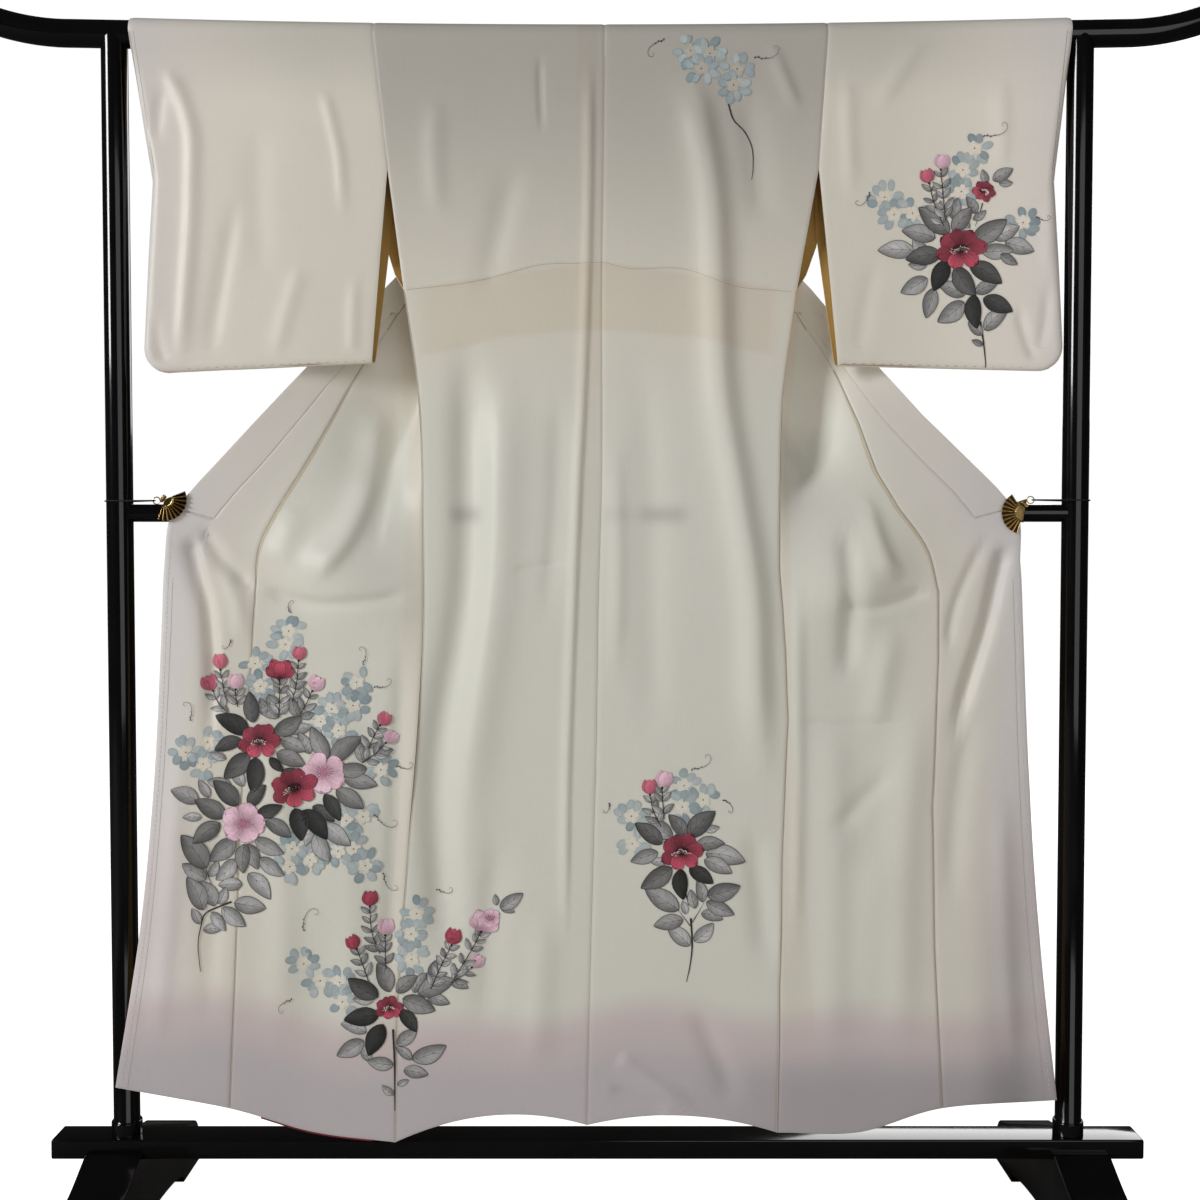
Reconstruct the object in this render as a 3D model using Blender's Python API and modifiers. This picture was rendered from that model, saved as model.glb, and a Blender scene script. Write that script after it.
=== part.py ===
"""Lined silk kimono hung back-out on a lacquered kimono stand.

Metres, +Z up. The kimono's back faces -Y, X runs to the viewer's right and the origin is the middle of
the stand's footprint on the floor. The tables of the cloth are in millimetres: "out" is the distance
from the middle plane towards a cuff, "deep" is Y and "high" is Z. They give the left half, as seen from
the back, and RIGHT_SHIFT says how the right half differs. "drop" is the length of cloth from the rail.
"""
import math

import bmesh
import bpy
import numpy as np
from mathutils import Matrix, Vector

MM = 0.001
SEAM_GAP = 0.3          # clear space left at every seam and seat, mm
WALL = 1.5              # thickness of the lined silk, mm

# ---------------------------------------------------------------- stand, metres
RAIL_RADIUS = 0.019
RAIL_HEIGHT = 1.721
RAIL_STRAIGHT = 0.740   # half length of the straight stretch
RAIL_BEND_RADIUS = 0.350
RAIL_BEND_ANGLE = math.radians(26.0)
POST_RADIUS = 0.0185
POST_SPACING = 1.362
POST_SADDLE = 0.008     # how far the post's cupped top stops below the rail's centre
SADDLE_LENGTH = 0.12    # length of the round cutter that hollows the post's top
SEAT_LENGTH = 0.08      # length of the round cutter that hollows the mid rail's ends
SOCKET_RADIUS = 0.0215
SOCKET_HEIGHT = 0.020
SOCKET_CHAMFER = 0.002
MID_RAIL_RADIUS = 0.0125
MID_RAIL_HEIGHT = 1.046
PLANK_LENGTH = 1.564
PLANK_DEPTH = 0.052
PLANK_THICK = 0.028
PLANK_TOP = 0.150
FOOT_SPACING = 1.380
FOOT_WIDTH = 0.080
FOOT_HALF_LENGTH = 0.260
FOOT_PAD_START = 0.170  # the arch underneath ends here
FOOT_ARCH_HEIGHT = 0.028
FOOT_ARCH_ANGLES = (15.0, 30.0, 50.0, 70.0)      # degrees round the arch, from the pad to its crown
FOOT_ARCH_POWER = 0.8   # below 1 the arch is squarer than an ellipse
FOOT_SEAT_RISE = 0.011  # how deep the plank lies in the foot
FOOT_LIP = 0.008        # flat rim beside the plank's seat
FOOT_TOE = 0.006        # chamfer at the foot's ends
# half profile of the foot's top beyond the rim: depth from the middle, then height
FOOT_TOP = ((0.106, 0.1005), (0.160, 0.090), (0.215, 0.077), (0.246, 0.062), (0.260, 0.036))
GAP = SEAM_GAP * MM
RAIL_EDGE = 0.003       # rounding of the rail's ends, then of the plank's and the feet's edges
PLANK_EDGE = 0.0025
FOOT_EDGE = 0.002
SHARP = math.radians(35.0)       # edges sharper than this are rounded or shaded as hard

# ---------------------------------------------------------------- cloth, millimetres
CLOTH_RADIUS = 20.65    # middle of the wall on the top rail, whose radius is 19 mm
RAIL_Z = RAIL_HEIGHT / MM
HEM_DROP = 1600.0
BENT_SEAM_GAP = 2.3     # between wall middles where collar and front meet at an angle: 0.3 at the faces
SEAM_TOP_DROP = 370.0   # the side seam starts here, below the open slit
KENSAKI_DROP = 432.0    # top point of the okumi
COLLAR_END_DROP = 800.0
NECK_OUT = 88.0         # half width of the neck opening
NECK_ARC = 12.0         # arc from the rail's crest to the neckline, on the far side
COLLAR_WIDTH = 55.0

# drop, then out/deep/high of the front edge, the okumi seam and the middle of the front panel
FRONT_SECTIONS = (
    # drop   edge                 okumi seam           middle of panel
    (0.0,    (46, 20.65, 1672),   (88, 20.65, 1721),   (201, 20.65, 1721)),
    (120.0,  (140, 36, 1559),     (150, 32, 1610),     (226, 24, 1606)),
    (230.0,  (214, 56, 1476),     (194, 40, 1524),     (214, 24, 1512)),
    (300.0,  (262, 54, 1423),     (214, 50, 1452),     (196, 26, 1442)),
    (370.0,  (309, 42, 1371),     (254, 50, 1388),     (206, 30, 1366)),
    (450.0,  (363, 26, 1311),     (298, 44, 1322),     (232, 38, 1284)),
    (530.0,  (417, 5, 1251),      (340, 26, 1256),     (262, 40, 1196)),
    (620.0,  (477, -9, 1184),     (382, 3, 1174),      (300, 20, 1116)),
    (700.0,  (531, -16, 1124),    (421, -12, 1104),    (328, -10, 1072)),
    (760.0,  (572, -19, 1079),    (452, -20, 1052),    (346, -32, 1012)),
    (820.0,  (604, -19, 1038),    (479, -21, 996),     (362, -46, 950)),
    (880.0,  (611, -22, 978),     (484, -22, 935),     (366, -32, 888)),
    (980.0,  (615, -27, 880),     (490, -25, 838),     (372, -26, 794)),
    (1180.0, (627, -31, 665),     (505, -30, 629),     (387, -30, 592)),
    (1380.0, (648, -34, 458),     (513, -34, 425),     (398, -33, 392)),
    (1600.0, (685, -36, 230),     (523, -38, 201),     (405, -36, 166)),
)

# drop, out, deep, high of the side seam, shared by the back and the front panel
SIDE_SEAM = (
    (370.0,  272, -21, 1357),
    (530.0,  251, -25, 1200),
    (620.0,  247, -27, 1110),
    (700.0,  246, -29, 1028),
    (820.0,  245, -31, 910),
    (980.0,  253, -31, 752),
    (1180.0, 269, -33, 560),
    (1380.0, 283, -35, 365),
    (1600.0, 288, -36, 151),
)

# drop, out, deep, high of the panels' free and sleeve edges above the side seam
BACK_SLIT_EDGE = ((0.0, 314, -20.65, 1721), (190.0, 294, -20.6, 1531), (370.0, 272, -21, 1357))
FRONT_SLIT_EDGE = (
    (0.0,   314, 20.65, 1721),
    (120.0, 301.4, 20.65, 1601),
    (190.0, 294, 20.65, 1531),
    (230.0, 304, 19, 1490),
    (300.0, 292, 6, 1424),
    (370.0, 272, -21, 1357),
)

# drop, then depth and height of the middle of the back panel, and x/deep/high of the centre seam
BACK_SECTIONS = (
    # drop   middle           centre seam
    (0.0,    (-20.65, 1721),  (10, -20.65, 1721)),
    (190.0,  (-22, 1531),     (8, -22, 1531)),
    (370.0,  (-25, 1353),     (6, -24, 1352)),
    (620.0,  (-32, 1104),     (6, -30, 1102)),
    (820.0,  (-36, 905),      (1, -34, 903)),
    (980.0,  (-34, 750),      (-1, -34, 748)),
    (1180.0, (-35, 562),      (-6, -35, 556)),
    (1380.0, (-36, 378),      (-11, -36, 366)),
    (1600.0, (-37, 190),      (-15, -38, 177)),
)

# drop, then how far the right half lies further out (edge, okumi seam, side) and higher (edge, side)
RIGHT_SHIFT = (
    # drop   edge okumi side  edge_up side_up
    (0.0,    0,   0,    8,    0,      0),
    (190.0,  0,   0,    16,   0,      0),
    (370.0,  0,   0,    8,    0,      0),
    (530.0,  -14, -2,   9,    0,      0),
    (620.0,  -16, -10,  10,   0,      0),
    (700.0,  -10, -26,  10,   0,      0),
    (760.0,  -6,  -27,  11,   0,      0),
    (820.0,  -8,  -14,  16,   0,      0),
    (880.0,  -14, -2,   18,   0,      0),
    (980.0,  -14, -8,   16,   0,      0),
    (1180.0, -16, -31,  -8,   0,      0),
    (1380.0, -22, -35,  -25,  -6,     8),
    (1600.0, -32, -33,  -32,  -18,    14),
)

# large folds: side, start/bend/end as (out, high), depth towards the viewer, half width
FOLDS = (
    ("left",  (590, 1024), (572, 930), (548, 800), -9.0, 13.0),
    ("left",  (606, 1000), (600, 800), (622, 560), 5.0, 16.0),
    ("left",  (578, 1026), (548, 975), (486, 944), -8.0, 13.0),
    ("left",  (470, 880), (440, 620), (446, 330), 7.0, 34.0),
    ("left",  (330, 860), (345, 600), (350, 260), 6.0, 36.0),
    ("left",  (150, 1250), (160, 800), (190, 300), -6.0, 42.0),
    ("right", (580, 1010), (560, 930), (530, 820), -9.0, 13.0),
    ("right", (596, 980), (596, 800), (612, 560), 5.0, 16.0),
    ("right", (566, 1008), (520, 955), (474, 938), -8.0, 13.0),
    ("right", (452, 880), (430, 620), (425, 330), 7.0, 34.0),
    ("right", (330, 860), (332, 600), (336, 260), 6.0, 36.0),
    ("right", (140, 1600), (165, 1100), (150, 500), 7.0, 40.0),
)

# a sleeve: out of its lower inner corner, out of its cuff edge (low, at the opening's end, at the rail)
# and height of its bottom seam (inner end, cuff end)
SLEEVES = {
    "left": {"inner_low": 317.0, "cuff": (640.0, 626.0, 655.0), "bottom": (1257.0, 1243.0)},
    "right": {"inner_low": 338.0, "cuff": (657.0, 643.0, 663.0), "bottom": (1253.0, 1246.0)},
}
SLEEVE_JOIN_DROP = 190.0     # the sleeve is sewn to the body down to here
CUFF_OPEN_HIGH = 1511.0      # the cuff is open down to here
SLEEVE_CORNER = 36.0         # radius of the rounded corner below the cuff
SLEEVE_EDGE_ROUND = 12.0     # how fast the walls part from a closed edge
CUFF_SPREAD_END = 30.0       # the cuff's walls are fully apart from this far below the rail
# columns and rows of a sleeve as shares of its width and height, closer towards the cuff and the bottom
SLEEVE_COLUMNS = (*np.linspace(0.0, 0.93, 10), 0.965, 0.985, 0.996, 1.0)
SLEEVE_ROWS = (*np.linspace(0.0, 0.93, 9), 0.975, 0.99, 0.997, 1.0)
# high, then depth of the near and the far wall, which lean to the viewer lower down
SLEEVE_WALLS = (
    (1721.0, -20.65, 20.65),
    (1531.0, -20.9, 19.6),
    (1490.0, -21.0, 11.0),
    (1400.0, -22.0, 0.0),
    (1320.0, -22.0, -6.0),
    (1240.0, -22.0, -10.0),
)

# rows of the body's mesh: stretches of drop and the rows in each
ROW_STRETCHES = ((0.0, 190.0, 3), (190.0, 370.0, 3), (370.0, 680.0, 5), (680.0, 800.0, 3),
                 (800.0, 920.0, 3), (920.0, 1600.0, 10))
BACK_COLUMNS = 8             # from the side to the neck point
NECK_COLUMNS = 4             # from the neck point to the centre seam
OKUMI_COLUMNS = 5
COLLAR_COLUMNS = 4
NARROW = 0.03                # width of the extra column at a bent seam, as a share of the panel
CREST_SHARES = (-0.67, -0.33, 0.0, 0.33, 0.67)   # rows over the rail, as shares of a quarter turn
NECKLINE_ARCS = (9.0, NECK_ARC, 22.0)            # rows of the body beyond the crest
# rows of half a neck: out and arc of the seam edge, then how far the free edge has gone to the middle
NECK_TURN = (
    (87.5, 25.5, 0.08),
    (87.2, 18.9, 0.16),
    (86.8, 12.3, 0.25),
    (65.0, 12.3, 0.45),
    (43.0, 12.3, 0.65),
    (21.0, 12.3, 0.85),
    (0.0,  12.3, 1.0),
)
NECK_SHARES = (0.0, 0.64, 0.76, 0.88, 0.95, 1.0)     # columns of the collar where it bends over the rail

# ---------------------------------------------------------------- clips, millimetres
# where a clip's pivot sits (out, high), which way its fan points (degrees below level) and the depth
# of its plain back plate, which lies against the cloth
CLIPS = {"left": (613.0, 1066.0, 38.0, -16.3), "right": (607.0, 1066.0, 50.0, -17.3)}
CLIP_DEEP = -24.3            # middle of the pleated front plate
FAN_RADIUS = 42.0
JAW_RADIUS = 34.0
HEEL_RADIUS = 0.5            # both plates start this near the pivot and so cover the barrel
FAN_HALF_ANGLE = 42.0        # degrees
FAN_PLEATS = 10
JAW_COLUMNS = 6
PLEAT_HEIGHT = 1.6
PLATE = 1.0
BARREL_LENGTH = 11.0
RING_RADIUS = 5.0
RING_WIRE = 1.0
CORD_RADIUS = 1.0
CORD_WRAP = (-100.0, 125.0)  # how far the cord goes round the post, degrees from its outer side
# the cord's bight through the ring, from the wire's inner side: out towards the post, then deep
CORD_HOOK = ((4.0, 4.5), (1.0, 2.5), (0.0, 0.0), (1.0, -2.5), (4.0, -4.5))
CORD_INSET = 2.4             # the bight lies this far from the ring's centre


# ---------------------------------------------------------------- curves and surfaces
def through(knots, values, at):
    """Smooth curve through `values` at `knots`, read at `at` (cubic Hermite, averaged slopes)."""
    knots = np.asarray(knots, float)
    values = np.asarray(values, float)
    flat = values.reshape(len(knots), -1)
    step = np.diff(knots)[:, None]
    slope = np.diff(flat, axis=0) / step
    inner = (slope[:-1] * step[1:] + slope[1:] * step[:-1]) / (step[1:] + step[:-1])
    tangent = np.vstack([slope[:1], inner, slope[-1:]])
    at = np.asarray(at, float)
    index = np.clip(np.searchsorted(knots, at.ravel(), side="right") - 1, 0, len(knots) - 2)
    span = step[index]
    s = np.clip((at.ravel()[:, None] - knots[index][:, None]) / span, 0.0, 1.0)
    result = hermite(s, flat[index], span * tangent[index], flat[index + 1], span * tangent[index + 1])
    return result.reshape(at.shape + values.shape[1:])


def hermite(s, start, start_slope, end, end_slope):
    """Cubic from start to end with the given slopes at s = 0 and 1."""
    return ((2 * s ** 3 - 3 * s ** 2 + 1) * start + (s ** 3 - 2 * s ** 2 + s) * start_slope
            + (3 * s ** 2 - 2 * s ** 3) * end + (s ** 3 - s ** 2) * end_slope)


def between_lines(lines, across):
    """Point at `across` (0, 1, 2 ...) between lines stacked on the second last axis."""
    count = lines.shape[-2]
    index = np.clip(np.floor(across), 0, count - 2).astype(int)
    padded = np.concatenate([2 * lines[..., :1, :] - lines[..., 1:2, :], lines,
                             2 * lines[..., -1:, :] - lines[..., -2:-1, :]], axis=-2)

    def line(offset):
        return np.take_along_axis(padded, (index + offset)[..., None, None], axis=-2)[..., 0, :]

    s = (across - index)[..., None]
    return hermite(s, line(1), (line(2) - line(0)) / 2.0, line(2), (line(3) - line(1)) / 2.0)


def over_rail(out, arc):
    """Points of the cloth on the top rail; `arc` runs from the crest, positive to the far side."""
    out, arc = np.broadcast_arrays(out, arc)
    quarter = CLOTH_RADIUS * math.pi / 2.0
    angle = np.clip(arc / CLOTH_RADIUS, -math.pi / 2.0, math.pi / 2.0)
    below = np.maximum(np.abs(arc) - quarter, 0.0)
    deep = CLOTH_RADIUS * np.sin(angle)
    high = RAIL_Z + CLOTH_RADIUS * np.cos(angle) - below
    return np.stack([out, deep, high], axis=-1)


def shift(half, drop):
    """The columns of RIGHT_SHIFT at `drop`, or zeros on the left half."""
    table = np.array(RIGHT_SHIFT)
    columns = [np.interp(drop, table[:, 0], table[:, c]) for c in range(1, table.shape[1])]
    return np.stack(columns, axis=-1) * (1.0 if half == "right" else 0.0)


def fold_depth(half, out, high):
    """Sum of the large folds at points (out, high): soft ridges along bent paths."""
    total = np.zeros_like(out)
    s = np.linspace(0.0, 1.0, 25)
    for side, start, bend, end, depth, width in FOLDS:
        if side != half:
            continue
        path = np.array([(1 - s) ** 2 * a + 2 * s * (1 - s) * b + s ** 2 * c
                         for a, b, c in zip(start, bend, end)])
        distance = np.hypot(out[..., None] - path[0], high[..., None] - path[1])
        fade = np.sqrt(np.abs(np.sin(math.pi * s[distance.argmin(axis=-1)])))
        total += depth * fade * np.exp(-(distance.min(axis=-1) / width) ** 2)
    return total


def folded(half, points):
    """Move points towards the viewer by the large folds."""
    moved = points.copy()
    moved[..., 1] -= fold_depth(half, points[..., 0], points[..., 2])
    return moved


def side_edge(half, slit_edge, drop):
    """Outer edge of a panel: straight stretches along the slit, then the side seam."""
    slit = np.array(slit_edge)
    seam = np.array(SIDE_SEAM)
    upper = np.stack([np.interp(drop, slit[:, 0], slit[:, c]) for c in (1, 2, 3)], axis=-1)
    lower = through(seam[:, 0], seam[:, 1:], np.maximum(drop, SEAM_TOP_DROP))
    edge = np.where((drop < SEAM_TOP_DROP)[..., None], upper, lower)
    moved = shift(half, drop)
    edge[..., 0] += moved[..., 2]
    edge[..., 2] += moved[..., 4]
    return edge


def front_lines(half, drop):
    """Front edge, okumi seam, middle and side of the open front at each drop, as out/deep/high."""
    knots = [row[0] for row in FRONT_SECTIONS]
    lines = through(knots, [row[1:] for row in FRONT_SECTIONS], drop)
    moved = shift(half, drop)
    lines[..., 0, 0] += moved[..., 0]
    lines[..., 1, 0] += moved[..., 1]
    lines[..., 2, 0] += (moved[..., 1] + moved[..., 2]) / 2.0
    lines[..., 0, 2] += moved[..., 3]
    side = side_edge(half, FRONT_SLIT_EDGE, drop)
    return np.concatenate([lines, side[..., None, :]], axis=-2)


def front_point(half, across, drop):
    """Point of the open front at `across` (0 edge, 1 okumi seam, 2 middle, 3 side) and `drop`."""
    return folded(half, between_lines(front_lines(half, drop), across))


def back_point(half, across, drop):
    """Point of the back panel at `across` (0 side, 1 centre seam) and `drop`."""
    knots = [row[0] for row in BACK_SECTIONS]
    middle = through(knots, [row[1] for row in BACK_SECTIONS], drop)
    centre = through(knots, [row[2] for row in BACK_SECTIONS], drop)
    side = side_edge(half, BACK_SLIT_EDGE, drop)
    if half == "left":
        centre[..., 0] *= -1.0
    share = across[..., None]
    points = side * (1 - share) + centre * share
    points[..., 1:] += 4 * share * (1 - share) * (middle - (side[..., 1:] + centre[..., 1:]) / 2.0)
    return folded(half, points)


def place(half, points):
    """Turn out/deep/high millimetres into metres on the given half."""
    side = -1.0 if half == "left" else 1.0
    return points * (side * MM, MM, MM)


# ---------------------------------------------------------------- building blocks
def material(name, colour, roughness, metallic=0.0):
    """A plain Principled material."""
    made = bpy.data.materials.new(name)
    made.use_nodes = True
    shader = made.node_tree.nodes["Principled BSDF"]
    shader.inputs["Base Color"].default_value = (*colour, 1.0)
    shader.inputs["Roughness"].default_value = roughness
    shader.inputs["Metallic"].default_value = metallic
    return made


def add_object(name, data, collection, finish):
    """Link a mesh or curve as a named object with a material."""
    thing = bpy.data.objects.new(name, data)
    if finish is not None:
        data.materials.append(finish)
    collection.objects.link(thing)
    return thing


def grid_mesh(name, grid, keep=None):
    """Mesh of the kept cells of a grid of points, welded where its edges meet."""
    build = bmesh.new()
    verts = [[build.verts.new(point) for point in row] for row in grid]
    for i in range(len(grid) - 1):
        for j in range(len(grid[0]) - 1):
            if keep is None or keep[i, j]:
                build.faces.new((verts[i][j], verts[i][j + 1], verts[i + 1][j + 1], verts[i + 1][j]))
    bmesh.ops.delete(build, geom=[v for v in build.verts if not v.link_faces], context="VERTS")
    bmesh.ops.remove_doubles(build, verts=build.verts, dist=0.02 * MM)
    bmesh.ops.recalc_face_normals(build, faces=build.faces)
    mesh = bpy.data.meshes.new(name)
    build.to_mesh(mesh)
    build.free()
    return mesh


def sheet(name, grid, thickness, collection, finish, keep=None):
    """A sheet of even thickness on both sides of a grid of points."""
    mesh = grid_mesh(name, grid, keep)
    mesh.shade_smooth()
    panel = add_object(name, mesh, collection, finish)
    wall = panel.modifiers.new("wall", "SOLIDIFY")
    wall.thickness = thickness * MM
    wall.offset = 0.0
    return panel


def poly_curve(name, points, radius, sides, collection, finish, cyclic=False):
    """A round bar or wire along a polyline, in metres."""
    curve = bpy.data.curves.new(name, "CURVE")
    curve.dimensions = "3D"
    spline = curve.splines.new("POLY")
    spline.points.add(len(points) - 1)
    for point, place_at in zip(spline.points, points):
        point.co = (*place_at, 1.0)
    spline.use_cyclic_u = cyclic
    spline.use_smooth = True
    curve.bevel_depth = radius
    curve.bevel_resolution = sides // 4 - 1
    curve.use_fill_caps = not cyclic
    return add_object(name, curve, collection, finish)


def soften(thing, width, segments=2):
    """Round the hard edges of an object."""
    weld = thing.modifiers.new("weld", "WELD")
    weld.merge_threshold = 0.00001
    bevel = thing.modifiers.new("soft edges", "BEVEL")
    bevel.width = width
    bevel.segments = segments
    bevel.limit_method = "ANGLE"
    bevel.angle_limit = SHARP


def cylinder(name, radius, length, rotation, location, collection, finish=None, sides=24):
    """A closed cylinder with its turning baked into the mesh."""
    build = bmesh.new()
    bmesh.ops.create_cone(build, cap_ends=True, segments=sides, radius1=radius, radius2=radius,
                          depth=length, matrix=rotation)
    mesh = bpy.data.meshes.new(name)
    build.to_mesh(mesh)
    build.free()
    mesh.shade_smooth()
    mesh.set_sharp_from_angle(angle=SHARP)
    thing = add_object(name, mesh, collection, finish)
    thing.location = location
    return thing


def cut(thing, cutter):
    """Take the cutter's shape out of an object and keep the cutter as a guide."""
    cutter.hide_render = True
    cutter.display_type = "WIRE"
    boolean = thing.modifiers.new("cut by " + cutter.name, "BOOLEAN")
    boolean.operation = "DIFFERENCE"
    boolean.object = cutter


# ---------------------------------------------------------------- kimono
def row_drops():
    """Drops of the mesh rows, shared by all panels so that their seams match."""
    stretches = [np.linspace(start, end, count + 1)[:-1] for start, end, count in ROW_STRETCHES]
    return np.concatenate(stretches + [[HEM_DROP]])


def panel_grid(half, point, across, drop):
    """Grid of points over rows of `drop` and an `across` that may change from row to row."""
    across = np.broadcast_to(across, (len(drop), np.shape(across)[-1]))
    return place(half, point(half, across, np.broadcast_to(drop[:, None], across.shape)))


def half_gap(half, drop, line, next_line):
    """Half a seam gap as a share of the way between two front lines, for each drop."""
    lines = front_lines(half, drop)
    width = np.linalg.norm(lines[:, line] - lines[:, next_line], axis=1)
    return np.where(drop < KENSAKI_DROP, BENT_SEAM_GAP, SEAM_GAP) / 2.0 / width


def steps(count, narrow=0.0):
    """Row of shares from 0 to 1 in `count` even columns, plus one of width `narrow` at the end.

    The narrow column turns the wall at a bent seam the same way as the neighbour's.
    """
    even = np.linspace(0.0, 1.0, count + 1)
    return (np.append(even[:-1], [1.0 - narrow, 1.0]) if narrow else even)[None, :]


def body(half, collection, finish):
    """One length of cloth: back hem, over the rail, front hem, with half of the neck cut out."""
    rows = row_drops()
    ends = back_point(half, np.array([0.0, 1.0]), np.zeros(2))[:, 0]
    gap = SEAM_GAP / 2.0 / (ends[0] - ends[1])
    neck = (ends[0] - NECK_OUT) / (ends[0] - ends[1])
    across = np.concatenate([gap + steps(BACK_COLUMNS, NARROW)[0] * (neck - gap),
                             neck + steps(NECK_COLUMNS)[0, 1:] * (1.0 - gap - neck)])
    back = panel_grid(half, back_point, across, rows[::-1])
    top_out = ends[0] + (ends[1] - ends[0]) * across
    quarter = CLOTH_RADIUS * math.pi / 2.0
    arcs = np.array([share * quarter for share in CREST_SHARES[:3]] + list(NECKLINE_ARCS))
    crest = place(half, over_rail(top_out[None, :], arcs[:, None]))
    inner = 1.0 + half_gap(half, rows, 1, 2)[:, None]
    outer = 3.0 - half_gap(half, rows, 2, 3)[:, None]
    front = panel_grid(half, front_point, outer + steps(BACK_COLUMNS, NARROW) * (inner - outer), rows)
    unused = np.repeat(front[:, -1:], NECK_COLUMNS, axis=1)
    grid = np.vstack([back, crest, np.hstack([front, unused])])
    keep = np.ones((len(grid) - 1, len(across) - 1), bool)
    keep[len(back) + list(arcs).index(NECK_ARC):, BACK_COLUMNS + 1:] = False
    return sheet("body_" + half, grid, WALL, collection, finish, keep)


def collar_share(half, drop):
    """Where the collar's inner edge lies between front edge (0) and okumi seam (1)."""
    lines = front_lines(half, drop)
    width = np.linalg.norm(lines[:, 0] - lines[:, 1], axis=1)
    return np.where(drop > KENSAKI_DROP - 1.0, np.minimum(COLLAR_WIDTH / width, 1.0), 1.0)


def okumi(half, collection, finish):
    """The front strip: a point beside the collar, full width below the collar's end."""
    rows = row_drops()
    rows = rows[rows > KENSAKI_DROP - 1.0]
    gap = half_gap(half, rows, 0, 1)[:, None]
    start = collar_share(half, rows)[:, None] + gap
    below_collar = steps(COLLAR_COLUMNS)[:, :-1] * start
    beside_collar = start + steps(OKUMI_COLUMNS) * (1.0 - gap - start)
    grid = panel_grid(half, front_point, np.hstack([below_collar, beside_collar]), rows)
    keep = np.ones((len(rows) - 1, COLLAR_COLUMNS + OKUMI_COLUMNS), bool)
    keep[:np.searchsorted(rows, COLLAR_END_DROP), :COLLAR_COLUMNS] = False
    return sheet("okumi_" + half, grid, WALL, collection, finish, keep)


def collar_half(half):
    """Collar points from its end near the clip up to the middle of the neck."""
    rows = row_drops()
    rows = rows[rows < COLLAR_END_DROP + 1.0][::-1]
    rows[0] -= SEAM_GAP
    inner = (collar_share(half, rows) - half_gap(half, rows, 0, 1))[:, None]
    across = steps(COLLAR_COLUMNS, 2 * NARROW) * inner
    arm = front_point(half, across, np.broadcast_to(rows[:, None], across.shape))
    free_top = CLOTH_RADIUS * math.pi / 2.0 + RAIL_Z - arm[-1, 0, 2]
    seam_out, seam_arc, turned = np.array(NECK_TURN).T[..., None]
    free_out = arm[-1, 0, 0] * (1 - turned)
    free_arc = free_top * (1 - turned) + (NECK_ARC + COLLAR_WIDTH) * turned
    share = np.array(NECK_SHARES)[None, :]
    neck = over_rail(free_out + (seam_out - free_out) * share, free_arc + (seam_arc - free_arc) * share)
    return np.vstack([arm, neck])


def collar(collection, finish):
    """The collar band: up one front edge, round the neck and down the other."""
    left = place("left", collar_half("left"))
    right = place("right", collar_half("right"))
    return sheet("collar", np.vstack([left, right[::-1][1:]]), WALL, collection, finish)


def part_of_round(distance):
    """0 on a closed edge, rising like a quarter circle to 1 at SLEEVE_EDGE_ROUND from it."""
    share = np.clip(distance / SLEEVE_EDGE_ROUND, 0.0, 1.0)
    return np.sqrt(1.0 - (1.0 - share) ** 2)


def sleeve(half, collection, finish):
    """A flat bag over the rail: open at the body and at the cuff, closed below and under the cuff."""
    size = SLEEVES[half]
    bottom_in, bottom_out = size["bottom"]
    along, level = np.meshgrid(SLEEVE_COLUMNS, SLEEVE_ROWS)
    bottom = bottom_in + (bottom_out - bottom_in) * along
    high = RAIL_Z - level * (RAIL_Z - bottom)
    join = side_edge(half, BACK_SLIT_EDGE, np.minimum(RAIL_Z - high, SLEEVE_JOIN_DROP))[..., 0]
    join_high = RAIL_Z - SLEEVE_JOIN_DROP
    lower = np.clip((join_high - high) / (join_high - bottom_in), 0.0, 1.0)
    inner = join + (size["inner_low"] - join) * lower + SEAM_GAP
    cuff = np.interp(high, [bottom_out, CUFF_OPEN_HIGH, RAIL_Z], size["cuff"])
    under = SLEEVE_CORNER - np.clip(high - bottom, 0.0, SLEEVE_CORNER)
    cuff -= SLEEVE_CORNER - np.sqrt(SLEEVE_CORNER ** 2 - under ** 2)
    out = inner + (cuff - inner) * along
    walls = np.array(SLEEVE_WALLS)[::-1]
    near = np.interp(high, walls[:, 0], walls[:, 1])
    far = np.interp(high, walls[:, 0], walls[:, 2])
    opened = np.clip((high - CUFF_OPEN_HIGH) / (RAIL_Z - CUFF_OPEN_HIGH - CUFF_SPREAD_END), 0.0, 1.0)
    parted = (1.0 - (1.0 - opened) * (1.0 - part_of_round(cuff - out))) * part_of_round(high - bottom)
    middle = (near + far) / 2.0
    spread = (far - near) / 2.0 * parted
    near_wall = np.stack([out, middle - spread, high], axis=-1)
    far_wall = np.stack([out, middle + spread, high], axis=-1)
    arcs = CLOTH_RADIUS * math.pi / 2.0 * np.array(CREST_SHARES)
    crest = over_rail(out[:1], arcs[:, None])
    grid = place(half, np.vstack([near_wall[::-1], crest, far_wall]))
    return sheet("sleeve_" + half, grid, WALL, collection, finish)


# ---------------------------------------------------------------- stand
def top_rail(collection, finish):
    """Straight round rail with both ends swept upwards."""
    turns = np.linspace(0.0, RAIL_BEND_ANGLE, 6)
    end = [(RAIL_STRAIGHT + RAIL_BEND_RADIUS * math.sin(a),
            RAIL_HEIGHT + RAIL_BEND_RADIUS * (1 - math.cos(a))) for a in turns]
    points = [(-x, 0.0, z) for x, z in reversed(end)] + [(x, 0.0, z) for x, z in end]
    rail = poly_curve("top_rail", points, RAIL_RADIUS, 20, collection, finish)
    soften(rail, RAIL_EDGE)


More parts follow.
